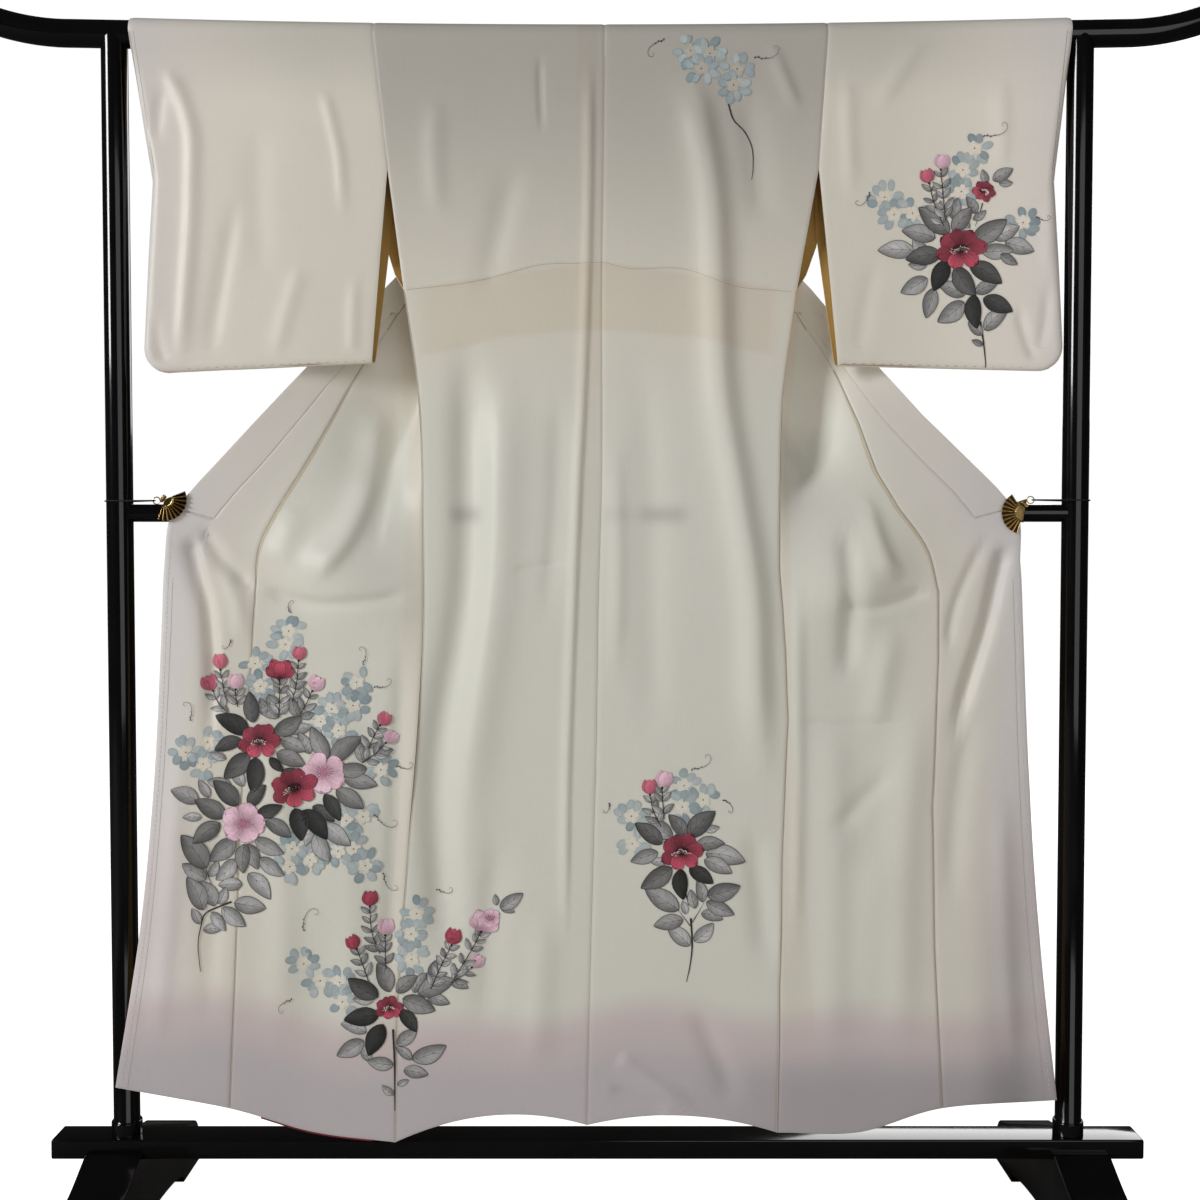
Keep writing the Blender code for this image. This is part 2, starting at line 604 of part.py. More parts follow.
def post(name, x, collection, cutters, finish):
    """Turned post: a low collar on the plank, a plain shaft, a cupped top under the rail."""
    bottom = PLANK_TOP + GAP
    top = RAIL_HEIGHT - POST_SADDLE
    shoulder = bottom + SOCKET_HEIGHT
    profile = [(0.0, top), (POST_RADIUS, top), (POST_RADIUS, shoulder + 2 * SOCKET_CHAMFER),
               (SOCKET_RADIUS, shoulder - SOCKET_CHAMFER), (SOCKET_RADIUS, bottom), (0.0, bottom)]
    mesh = bpy.data.meshes.new(name)
    mesh.from_pydata([(r, 0.0, z) for r, z in profile], [(i, i + 1) for i in range(len(profile) - 1)], [])
    shaft = add_object(name, mesh, collection, finish)
    shaft.location = (x, 0.0, 0.0)
    turn = shaft.modifiers.new("turn", "SCREW")
    turn.steps = turn.render_steps = 24
    turn.use_merge_vertices = True
    turn.merge_threshold = 0.00005
    cutter = cylinder(name + "_saddle", RAIL_RADIUS + GAP, SADDLE_LENGTH,
                      Matrix.Rotation(math.pi / 2, 4, "Y"), (x, 0.0, RAIL_HEIGHT), cutters, sides=48)
    cut(shaft, cutter)


def mid_rail(collection, cutters, finish):
    """Thinner rail between the posts, cupped where it meets them."""
    rail = cylinder("mid_rail", MID_RAIL_RADIUS, POST_SPACING, Matrix.Rotation(math.pi / 2, 4, "Y"),
                    (0.0, 0.0, MID_RAIL_HEIGHT), collection, finish, sides=20)
    for side, x in (("left", -POST_SPACING / 2), ("right", POST_SPACING / 2)):
        cut(rail, cylinder("mid_rail_" + side + "_seat", POST_RADIUS + GAP, SEAT_LENGTH, Matrix.Identity(4),
                           (x, 0.0, MID_RAIL_HEIGHT), cutters, sides=48))


def plank(collection, finish):
    """The long board that joins the feet."""
    build = bmesh.new()
    size = (PLANK_LENGTH, PLANK_DEPTH, PLANK_THICK)
    bmesh.ops.create_cube(build, size=1.0, matrix=Matrix.Diagonal((*size, 1.0)))
    mesh = bpy.data.meshes.new("plank")
    build.to_mesh(mesh)
    build.free()
    board = add_object("plank", mesh, collection, finish)
    board.location = (0.0, 0.0, PLANK_TOP - PLANK_THICK / 2)
    soften(board, PLANK_EDGE)


def foot(name, x, collection, finish):
    """Arched block from front to back, with a seat that the plank lies in."""
    seat = PLANK_TOP - PLANK_THICK - GAP
    half_seat = PLANK_DEPTH / 2 + GAP
    rim = seat + FOOT_SEAT_RISE
    upper = [(half_seat, seat), (half_seat, rim), (half_seat + FOOT_LIP, rim), *FOOT_TOP,
             (FOOT_HALF_LENGTH, FOOT_TOE), (FOOT_HALF_LENGTH - FOOT_TOE, 0.0), (FOOT_PAD_START, 0.0)]
    arch = [(FOOT_PAD_START * math.cos(a), FOOT_ARCH_HEIGHT * math.sin(a) ** FOOT_ARCH_POWER)
            for a in np.radians(FOOT_ARCH_ANGLES)]
    right_half = upper + arch
    outline = right_half + [(-y, z) for y, z in reversed(right_half)]
    curve = bpy.data.curves.new(name, "CURVE")
    curve.dimensions = "2D"
    curve.fill_mode = "BOTH"
    curve.extrude = FOOT_WIDTH / 2
    spline = curve.splines.new("POLY")
    spline.points.add(len(outline) - 1)
    for point, (y, z) in zip(spline.points, outline):
        point.co = (y, z, 0.0, 1.0)
    spline.use_cyclic_u = True
    block = add_object(name, curve, collection, finish)
    block.matrix_world = Matrix(((0, 0, 1, x), (1, 0, 0, 0), (0, 1, 0, 0), (0, 0, 0, 1)))
    soften(block, FOOT_EDGE)


# ---------------------------------------------------------------- clips
def fan_grid(half, pleated, outer_radius, deep):
    """Polar grid of a fan plate round its pivot, in millimetres, zigzag when pleated."""
    out, high, dip, _ = CLIPS[half]
    count = FAN_PLEATS * 2 if pleated else JAW_COLUMNS
    angle = np.radians(np.linspace(-FAN_HALF_ANGLE, FAN_HALF_ANGLE, count + 1) + dip)[None, :]
    radius = np.linspace(HEEL_RADIUS, outer_radius, 4)[:, None]
    wave = (np.arange(count + 1) % 2 - 0.5) * (PLEAT_HEIGHT if pleated else 0.0)
    depth = deep + wave[None, :] * radius / outer_radius
    return np.stack([out - radius * np.cos(angle), depth, high - radius * np.sin(angle)], axis=-1)


def clip(half, collection, finish):
    """Spring clip: pleated fan in front, plain jaw behind, barrel between them and a ring for its cord."""
    out, high, dip, jaw_deep = CLIPS[half]
    side = -1.0 if half == "left" else 1.0
    front = place(half, fan_grid(half, True, FAN_RADIUS, CLIP_DEEP))
    back = place(half, fan_grid(half, False, JAW_RADIUS, jaw_deep))
    sheet("clip_fan_" + half, front, PLATE, collection, finish)
    sheet("clip_jaw_" + half, back, PLATE, collection, finish)
    pivot = Vector((side * out * MM, (CLIP_DEEP + jaw_deep) / 2 * MM, high * MM))
    barrel_radius = (jaw_deep - CLIP_DEEP - PLATE) / 2 - SEAM_GAP
    turn = math.radians(dip)
    axis = Vector((side * math.sin(turn), 0.0, -math.cos(turn)))
    outward = Vector((side * math.cos(turn), 0.0, math.sin(turn)))
    rotation = axis.to_track_quat("Z", "Y").to_matrix().to_4x4()
    cylinder("clip_barrel_" + half, barrel_radius * MM, BARREL_LENGTH * MM, rotation, pivot, collection,
             finish, sides=12)
    reach = (barrel_radius + SEAM_GAP + RING_WIRE + RING_RADIUS) * MM
    centre = pivot + outward * reach
    circle = [centre + Vector((RING_RADIUS * MM * math.cos(a), 0.0, RING_RADIUS * MM * math.sin(a)))
              for a in np.linspace(0.0, 2 * math.pi, 17)[:-1]]
    poly_curve("clip_ring_" + half, circle, RING_WIRE * MM, 8, collection, finish, cyclic=True)
    return centre


def clip_cord(half, ring, collection, finish):
    """Elastic loop held between a clip's ring and the post."""
    side = -1.0 if half == "left" else 1.0
    post_x = side * POST_SPACING / 2
    wrap = POST_RADIUS + GAP + CORD_RADIUS * MM
    around = [(post_x + side * wrap * math.cos(a), wrap * math.sin(a))
              for a in np.radians(np.linspace(*CORD_WRAP, 16))]
    near_ring = ring.x + side * CORD_INSET * MM
    hook = [(near_ring + side * out * MM, ring.y + deep * MM) for out, deep in CORD_HOOK]
    route = [(x, y, ring.z) for x, y in around + hook]
    poly_curve("clip_cord_" + half, route, CORD_RADIUS * MM, 8, collection, finish, cyclic=True)


def build():
    """Build the stand, the kimono on it and the two clips that hold its fronts open."""
    for old in list(bpy.data.objects):
        bpy.data.objects.remove(old, do_unlink=True)
    parts = bpy.data.collections.new("kimono_on_stand")
    cutters = bpy.data.collections.new("cutters")
    for collection in (parts, cutters):
        bpy.context.scene.collection.children.link(collection)
    lacquer = material("black lacquer", (0.012, 0.012, 0.015), 0.12)
    silk = material("cream silk", (0.68, 0.65, 0.60), 0.55)
    brass = material("polished brass", (0.80, 0.58, 0.25), 0.22, 1.0)
    elastic = material("black elastic", (0.015, 0.015, 0.015), 0.80)
    top_rail(parts, lacquer)
    mid_rail(parts, cutters, lacquer)
    plank(parts, lacquer)
    collar(parts, silk)
    for half, side in (("left", -1.0), ("right", 1.0)):
        post("post_" + half, side * POST_SPACING / 2, parts, cutters, lacquer)
        foot("foot_" + half, side * FOOT_SPACING / 2, parts, lacquer)
        body(half, parts, silk)
        okumi(half, parts, silk)
        sleeve(half, parts, silk)
        ring = clip(half, parts, brass)
        clip_cord(half, ring, parts, elastic)


build()
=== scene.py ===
"""Lined silk kimono hung back-out on a black lacquered stand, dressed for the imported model.

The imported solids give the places. Lengths in the tables are millimetres: "out" is the distance from the
middle plane towards a cuff, "deep" is Y, away from the viewer, and "high" is Z. "drop" is the length of
cloth from the rail. The kimono's back faces -Y.
"""
from __future__ import annotations

import logging
import math
from dataclasses import dataclass, field
from enum import Enum

import bpy
import numpy as np
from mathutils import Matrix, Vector

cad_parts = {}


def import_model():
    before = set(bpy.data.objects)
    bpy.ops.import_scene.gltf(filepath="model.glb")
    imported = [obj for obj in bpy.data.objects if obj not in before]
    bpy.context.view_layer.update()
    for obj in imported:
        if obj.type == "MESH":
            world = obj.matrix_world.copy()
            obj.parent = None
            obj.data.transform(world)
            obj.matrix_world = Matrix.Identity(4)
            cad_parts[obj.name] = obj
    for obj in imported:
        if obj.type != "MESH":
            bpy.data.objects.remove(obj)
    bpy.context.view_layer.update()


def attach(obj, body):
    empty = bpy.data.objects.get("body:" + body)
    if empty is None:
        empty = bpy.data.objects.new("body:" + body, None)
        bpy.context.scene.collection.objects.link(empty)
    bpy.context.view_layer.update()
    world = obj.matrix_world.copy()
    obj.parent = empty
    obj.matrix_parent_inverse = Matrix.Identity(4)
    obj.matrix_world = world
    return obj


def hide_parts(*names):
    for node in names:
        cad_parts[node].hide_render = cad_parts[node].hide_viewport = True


log = logging.getLogger("kimono")
MM = 0.001
# the top rail bows by this much between its posts, and the cloth with it, less and less to BOW_FOOT; metres
BOW_DEPTH, BOW_REACH = 0.010, 0.681
BOW_FOOT, BOW_TOP = 1.36, 1.69
Array = np.ndarray
# unit vectors, away from the viewer and up
AWAY, UP = np.array([0.0, 1.0, 0.0]), np.array([0.0, 0.0, 1.0])
Socket = bpy.types.NodeSocket
Colour = tuple[float, float, float]


class Half(Enum):
    """The two halves, as seen by someone who looks at the kimono's back."""

    LEFT = "left"
    RIGHT = "right"

    @property
    def sign(self) -> float:
        """X direction of the half."""
        return -1.0 if self is Half.LEFT else 1.0


class Panel(Enum):
    """Stretches of cloth that creases and painting lie on."""

    BACK = "back"
    FRONT = "front"
    SLEEVE = "sleeve"


# ---------------------------------------------------------------------------- curves
def through(knots: Array, values: Array, at: Array) -> Array:
    """Smooth curve through values at knots: cubic Hermite pieces with averaged slopes.

    Args:
        knots: rising positions of the known values.
        values: the values there, one row a knot.
        at: positions to read.
    Returns:
        The values at `at`, with its shape plus the shape of one value.
    """
    knots = np.asarray(knots, float)
    values = np.asarray(values, float)
    flat = values.reshape(len(knots), -1)
    step = np.diff(knots)[:, None]
    slope = np.diff(flat, axis=0) / step
    inner = (slope[:-1] * step[1:] + slope[1:] * step[:-1]) / (step[1:] + step[:-1])
    tangent = np.vstack([slope[:1], inner, slope[-1:]])
    at = np.asarray(at, float)
    index = np.clip(np.searchsorted(knots, at.ravel(), side="right") - 1, 0, len(knots) - 2)
    span = step[index]
    s = np.clip((at.ravel()[:, None] - knots[index][:, None]) / span, 0.0, 1.0)
    result = hermite(s, flat[index], span * tangent[index], flat[index + 1], span * tangent[index + 1])
    return result.reshape(at.shape + values.shape[1:])


def hermite(s: Array, start: Array, start_slope: Array, end: Array, end_slope: Array) -> Array:
    """Cubic from start to end with the given slopes at s = 0 and 1."""
    return ((2 * s ** 3 - 3 * s ** 2 + 1) * start + (s ** 3 - 2 * s ** 2 + s) * start_slope
            + (3 * s ** 2 - 2 * s ** 3) * end + (s ** 3 - s ** 2) * end_slope)


def between_lines(lines: Array, across: Array) -> Array:
    """Point at `across` (0, 1, 2 ...) between lines stacked on the second last axis, by Hermite pieces."""
    count = lines.shape[-2]
    index = np.clip(np.floor(across), 0, count - 2).astype(int)
    padded = np.concatenate([2 * lines[..., :1, :] - lines[..., 1:2, :], lines,
                             2 * lines[..., -1:, :] - lines[..., -2:-1, :]], axis=-2)

    def line(offset: int) -> Array:
        """The line `offset` places on from the one before each point's stretch."""
        return np.take_along_axis(padded, (index + offset)[..., None, None], axis=-2)[..., 0, :]

    s = (across - index)[..., None]
    return hermite(s, line(1), (line(2) - line(0)) / 2.0, line(2), (line(3) - line(1)) / 2.0)


def packed(count: int, pull: float = 0.85) -> Array:
    """Shares 0 to 1 that crowd at both ends: t less pull times sin(2 pi t) over 2 pi."""
    t = np.linspace(0.0, 1.0, count + 1)
    return t - pull * np.sin(2 * math.pi * t) / (2 * math.pi)


def edged(count: int, edge: float) -> Array:
    """Even shares 0 to 1 with four more close to each end, within `edge` of it."""
    near = edge * np.array([0.12, 0.3, 0.55, 0.8])
    return np.sort(np.concatenate([np.linspace(0.0, 1.0, count + 1), near, 1.0 - near]))


def drawn(knots: Array, count: int) -> Array:
    """Smooth line of `count` points through evenly spaced knots."""
    return through(np.linspace(0.0, 1.0, len(knots)), knots, np.linspace(0.0, 1.0, count))


def heading(angle: float) -> Array:
    """Unit vector at an angle in radians."""
    return np.array([math.cos(angle), math.sin(angle)])


def bearing(vector: Array) -> float:
    """Angle of a flat vector in radians."""
    return math.atan2(vector[1], vector[0])


def round_angles(count: int) -> Array:
    """Angles of even points round a circle."""
    return np.linspace(0.0, 2 * math.pi, count, endpoint=False)


def smooth(low: float, high: float, value: Array) -> Array:
    """0 below low, 1 above high and an S curve between (3t^2 - 2t^3); low may be the larger."""
    t = np.clip((value - low) / (high - low), 0.0, 1.0)
    return t * t * (3.0 - 2.0 * t)


# ---------------------------------------------------------------------------- meshes
def bowed(verts: Array) -> Array:
    """Points lowered with the top rail: by depth (1 - (x / reach)^2) at its height, fading out downwards."""
    verts = np.array(verts, float)
    share = np.clip(1.0 - (verts[:, 0] / BOW_REACH) ** 2, 0.0, 1.0)
    verts[:, 2] -= BOW_DEPTH * share * smooth(BOW_FOOT, BOW_TOP, verts[:, 2])
    return verts


def make_object(name: str, verts: Array, faces: list, materials: list[bpy.types.Material],
                slots: Array | None = None) -> bpy.types.Object:
    """Smooth shaded mesh object at the origin from arrays.

    Args:
        name: object name.
        verts: points in metres.
        faces: one array of corner indices a row for each face size.
        materials: slot materials.
        slots: material index of each face, in the order of `faces`.
    Returns:
        The linked object, riding on the root body.
    """
    loops = np.concatenate([np.asarray(f, np.int32).ravel() for f in faces if len(f)])
    sizes = np.concatenate([np.full(len(f), np.shape(f)[1], np.int32) for f in faces if len(f)])
    starts = np.concatenate([[0], np.cumsum(sizes)[:-1]]).astype(np.int32)
    mesh = bpy.data.meshes.new(name)
    mesh.vertices.add(len(verts))
    mesh.vertices.foreach_set("co", np.ascontiguousarray(bowed(verts), np.float32).ravel())
    mesh.loops.add(len(loops))
    mesh.loops.foreach_set("vertex_index", loops)
    mesh.polygons.add(len(sizes))
    mesh.polygons.foreach_set("loop_start", starts)
    mesh.polygons.foreach_set("use_smooth", np.full(len(sizes), True))
    for finish in materials:
        mesh.materials.append(finish)
    if slots is not None:
        mesh.polygons.foreach_set("material_index", np.asarray(slots, np.int32))
    mesh.update(calc_edges=True)
    mesh.validate()
    thing = bpy.data.objects.new(name, mesh)
    bpy.context.scene.collection.objects.link(thing)
    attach(thing, "root")
    return thing


def paint_points(thing: bpy.types.Object, name: str, colours: Array) -> None:
    """Write one linear colour a vertex into a named attribute."""
    layer = thing.data.attributes.new(name, "FLOAT_COLOR", "POINT")
    rgba = np.ones((len(thing.data.vertices), 4), np.float32)
    rgba[:, :3] = colours
    layer.data.foreach_set("color", rgba.ravel())


def lay_uv(thing: bpy.types.Object, uv: Array) -> None:
    """Give each corner the cloth coordinates, in metres, of its vertex."""
    layer = thing.data.uv_layers.new(name="cloth")
    corner = np.empty(len(thing.data.loops), np.int32)
    thing.data.loops.foreach_get("vertex_index", corner)
    layer.data.foreach_set("uv", np.ascontiguousarray(uv[corner], np.float32).ravel())


def cell_faces(index: Array, keep: Array) -> Array:
    """Quads of the kept cells of a grid of vertex numbers."""
    quads = np.stack([index[:-1, :-1], index[:-1, 1:], index[1:, 1:], index[1:, :-1]], axis=-1)
    return quads[keep]


def rim_faces(outer: Array, inner: Array, keep: Array) -> Array:
    """Quads that close the edges of the kept cells between two layers of the same grid.

    Args:
        outer: vertex numbers of the outer layer.
        inner: vertex numbers of the inner layer.
        keep: cells that exist.
    Returns:
        One quad for each cell side that has no neighbour, facing away from the cell.
    """
    wide = np.pad(keep, 1)
    made = []
    for step, first, second in (((-1, 0), (0, 0), (0, 1)), ((1, 0), (1, 1), (1, 0)),
                                ((0, -1), (1, 0), (0, 0)), ((0, 1), (0, 1), (1, 1))):
        beside = wide[1 + step[0]:wide.shape[0] - 1 + step[0], 1 + step[1]:wide.shape[1] - 1 + step[1]]
        i, j = np.nonzero(keep & ~beside)
        a = (i + first[0], j + first[1])
        b = (i + second[0], j + second[1])
        made.append(np.stack([outer[b], outer[a], inner[a], inner[b]], axis=-1))
    return np.concatenate(made)


def kept_corners(keep: Array) -> Array:
    """Grid points that a kept cell touches."""
    wide = np.pad(keep, 1)
    return wide[:-1, :-1] | wide[1:, :-1] | wide[:-1, 1:] | wide[1:, 1:]


def distances(grid: Array) -> tuple[Array, Array]:
    """Way from the first column along each row, and from the first row along each column."""
    across = np.linalg.norm(np.diff(grid, axis=1, prepend=grid[:, :1]), axis=2)
    along = np.linalg.norm(np.diff(grid, axis=0, prepend=grid[:1]), axis=2)
    return np.cumsum(across, axis=1), np.cumsum(along, axis=0)


def grid_normals(grid: Array) -> Array:
    """Unit normals of a grid of points: the cross product of its row and column differences."""
    normal = np.cross(np.gradient(grid, axis=1), np.gradient(grid, axis=0))
    return normal / np.maximum(np.linalg.norm(normal, axis=-1, keepdims=True), 1e-12)


@dataclass
class Sheet:
    """A grid of cloth points with a wall of even thickness, closed all round.

    Attributes:
        points: wall middles in metres, rows by columns by 3; its normals point to the outer side.
        wall: thickness in metres.
        keep: cells that exist, or None for all.
        flip: turn the outer side round.
    """

    points: Array
    wall: float
    keep: Array | None = None
    flip: bool = False

    def build(self, name: str, materials: list[bpy.types.Material]) -> bpy.types.Object:
        """Two layers half a wall either side of the points, joined by a rim.

        Args:
            name: object name.
            materials: outer silk and lining; a single one serves both sides.
        Returns:
            The cloth object with a "cloth" UV map in metres.
        """
        rows, columns = self.points.shape[:2]
        keep = np.ones((rows - 1, columns - 1), bool) if self.keep is None else self.keep
        normal = grid_normals(self.points) * (-1.0 if self.flip else 1.0)
        outer = self.points + normal * self.wall / 2
        inner = self.points - normal * self.wall / 2
        used = kept_corners(keep)
        number = np.where(used, np.cumsum(used.ravel()).reshape(used.shape) - 1, 0)
        count = int(used.sum())
        outside = cell_faces(number, keep)
        inside = cell_faces(number + count, keep)
        rim = rim_faces(number, number + count, keep)
        if self.flip:
            outside, rim = outside[:, ::-1], rim[:, ::-1]
        else:
            inside = inside[:, ::-1]
        slots = np.concatenate([np.zeros(len(outside)), np.full(len(inside), len(materials) - 1),
                                np.zeros(len(rim))])
        verts = np.concatenate([outer[used], inner[used]])
        thing = make_object(name, verts, [np.concatenate([outside, inside, rim])], materials, slots)
        uv = np.stack(distances(self.points), axis=-1)[used]
        lay_uv(thing, np.concatenate([uv, uv]))
        return thing


def frames(path: Array, reference: Array, cyclic: bool = False) -> tuple[Array, Array]:
    """Two unit vectors square to a path at each of its points, the first also square to `reference`."""
    if cyclic:
        tangent = np.roll(path, -1, axis=0) - np.roll(path, 1, axis=0)
    else:
        tangent = np.gradient(path, axis=0)
    tangent /= np.linalg.norm(tangent, axis=1, keepdims=True)
    first = np.cross(tangent, reference)
    first /= np.maximum(np.linalg.norm(first, axis=1, keepdims=True), 1e-9)
    return first, np.cross(first, tangent)


def ring_mesh(rings: Array, cyclic: bool = False) -> tuple[Array, list]:
    """Verts and faces of closed rings joined along a path, with a fan of triangles on each end."""
    rows, sides = rings.shape[:2]
    index = np.arange(rows * sides).reshape(rows, sides)
    index = np.concatenate([index, index[:, :1]], axis=1)
    verts = rings.reshape(-1, 3)
    if cyclic:
        index = np.concatenate([index, index[:1]])
        return verts, [cell_faces(index, np.ones((rows, sides), bool))]
    quads = cell_faces(index, np.ones((rows - 1, sides), bool))
    verts = np.concatenate([verts, rings[0].mean(0)[None], rings[-1].mean(0)[None]])
    start = np.stack([index[0, 1:], index[0, :-1], np.full(sides, rows * sides)], axis=-1)
    end = np.stack([index[-1, :-1], index[-1, 1:], np.full(sides, rows * sides + 1)], axis=-1)
    return verts, [quads, np.concatenate([start, end])]


def tube(path: Array, radius: Array | float, sides: int, reference: Array, cyclic: bool = False,
         rounding: float = 0.0) -> tuple[Array, list]:
    """Round bar along a path: each ring is centre + r (cos a u + sin a v).

    Args:
        path: centres in metres.
        radius: one radius, or one a point.
        sides: corners of a ring.
        reference: a direction that the path never takes.
        cyclic: join the ends.
        rounding: radius of the rounded rim at the two ends.
    Returns:
        Verts and face arrays.
    """
    first, second = frames(path, reference, cyclic)
    radius = np.broadcast_to(np.asarray(radius, float), (len(path),)).copy()
    if rounding:
        turn = np.linspace(0.0, math.pi / 2, 6)
        axial = rounding * (1 - np.cos(turn))[:, None]
        inset = rounding * (np.sin(turn) - 1)
        head = (path[1] - path[0]) / np.linalg.norm(path[1] - path[0])
        tail = (path[-1] - path[-2]) / np.linalg.norm(path[-1] - path[-2])
        path = np.concatenate([path[0] + head * axial, path[1:-1], (path[-1] - tail * axial)[::-1]])
        radius = np.concatenate([radius[0] + inset, radius[1:-1], (radius[-1] + inset)[::-1]])
        first, second = frames(path, reference, cyclic)
    angle = round_angles(sides)
    circle = np.cos(angle)[None, :, None] * first[:, None] + np.sin(angle)[None, :, None] * second[:, None]
    return ring_mesh(path[:, None] + circle * radius[:, None, None], cyclic)


# ---------------------------------------------------------------------------- form of the cloth
@dataclass(frozen=True)
class Crease:
    """A soft ridge or trough along a smooth path on one panel.

    Attributes:
        panel: the panel that it lies on.
        path: points as (x, high), signed x.
        depth: height of the ridge towards the outer side, negative for a trough, mm.
        width: how far it reaches on the side to the left of its path, mm.
        other: the same for the right side, so that one flank can be steep.
        ends: share of the length over which it fades out at each end.
    """

    panel: Panel
    path: tuple[tuple[float, float], ...]
    depth: float
    width: float
    other: float
    ends: float = 0.3

    def height(self, x: Array, high: Array) -> Array:
        """Ridge height at points: depth times exp(-(distance / width)^2), faded along the path.

        Args:
            x: signed x in mm.
            high: height in mm.
        Returns:
            Heights in mm, with the shape of x.
        """
        knots = np.array(self.path, float)
        reach = 3.0 * max(self.width, self.other)
        near = ((x > knots[:, 0].min() - reach) & (x < knots[:, 0].max() + reach)
                & (high > knots[:, 1].min() - reach) & (high < knots[:, 1].max() + reach))
        result = np.zeros(np.shape(x))
        if not near.any():
            return result
        length = float(np.linalg.norm(np.diff(knots, axis=0), axis=1).sum())
        share = np.linspace(0.0, 1.0, int(np.clip(length / 7.0, 20, 170)))
        line = drawn(knots, len(share))
        step = np.gradient(line, axis=0)
        dx = x[near][:, None] - line[:, 0]
        dz = high[near][:, None] - line[:, 1]
        gap = dx ** 2 + dz ** 2
        nearest = gap.argmin(axis=1)
        row = np.arange(len(nearest))
        tangent = step[nearest] / np.linalg.norm(step[nearest], axis=1, keepdims=True)
        aside = dx[row, nearest] * tangent[:, 1] - dz[row, nearest] * tangent[:, 0]
        beyond = dx[row, nearest] * tangent[:, 0] + dz[row, nearest] * tangent[:, 1]
        at_end = ((nearest == 0) & (beyond < 0)) | ((nearest == len(share) - 1) & (beyond > 0))
        width = np.where(aside > 0, self.other, self.width)
        distance = np.sqrt(aside ** 2 + np.where(at_end, beyond, 0.0) ** 2)
        s = share[nearest]
        fade = smooth(0.0, self.ends, s) * smooth(0.0, self.ends, 1.0 - s)
        result[near] = self.depth * np.exp(-(distance / width) ** 2) * fade
        return result


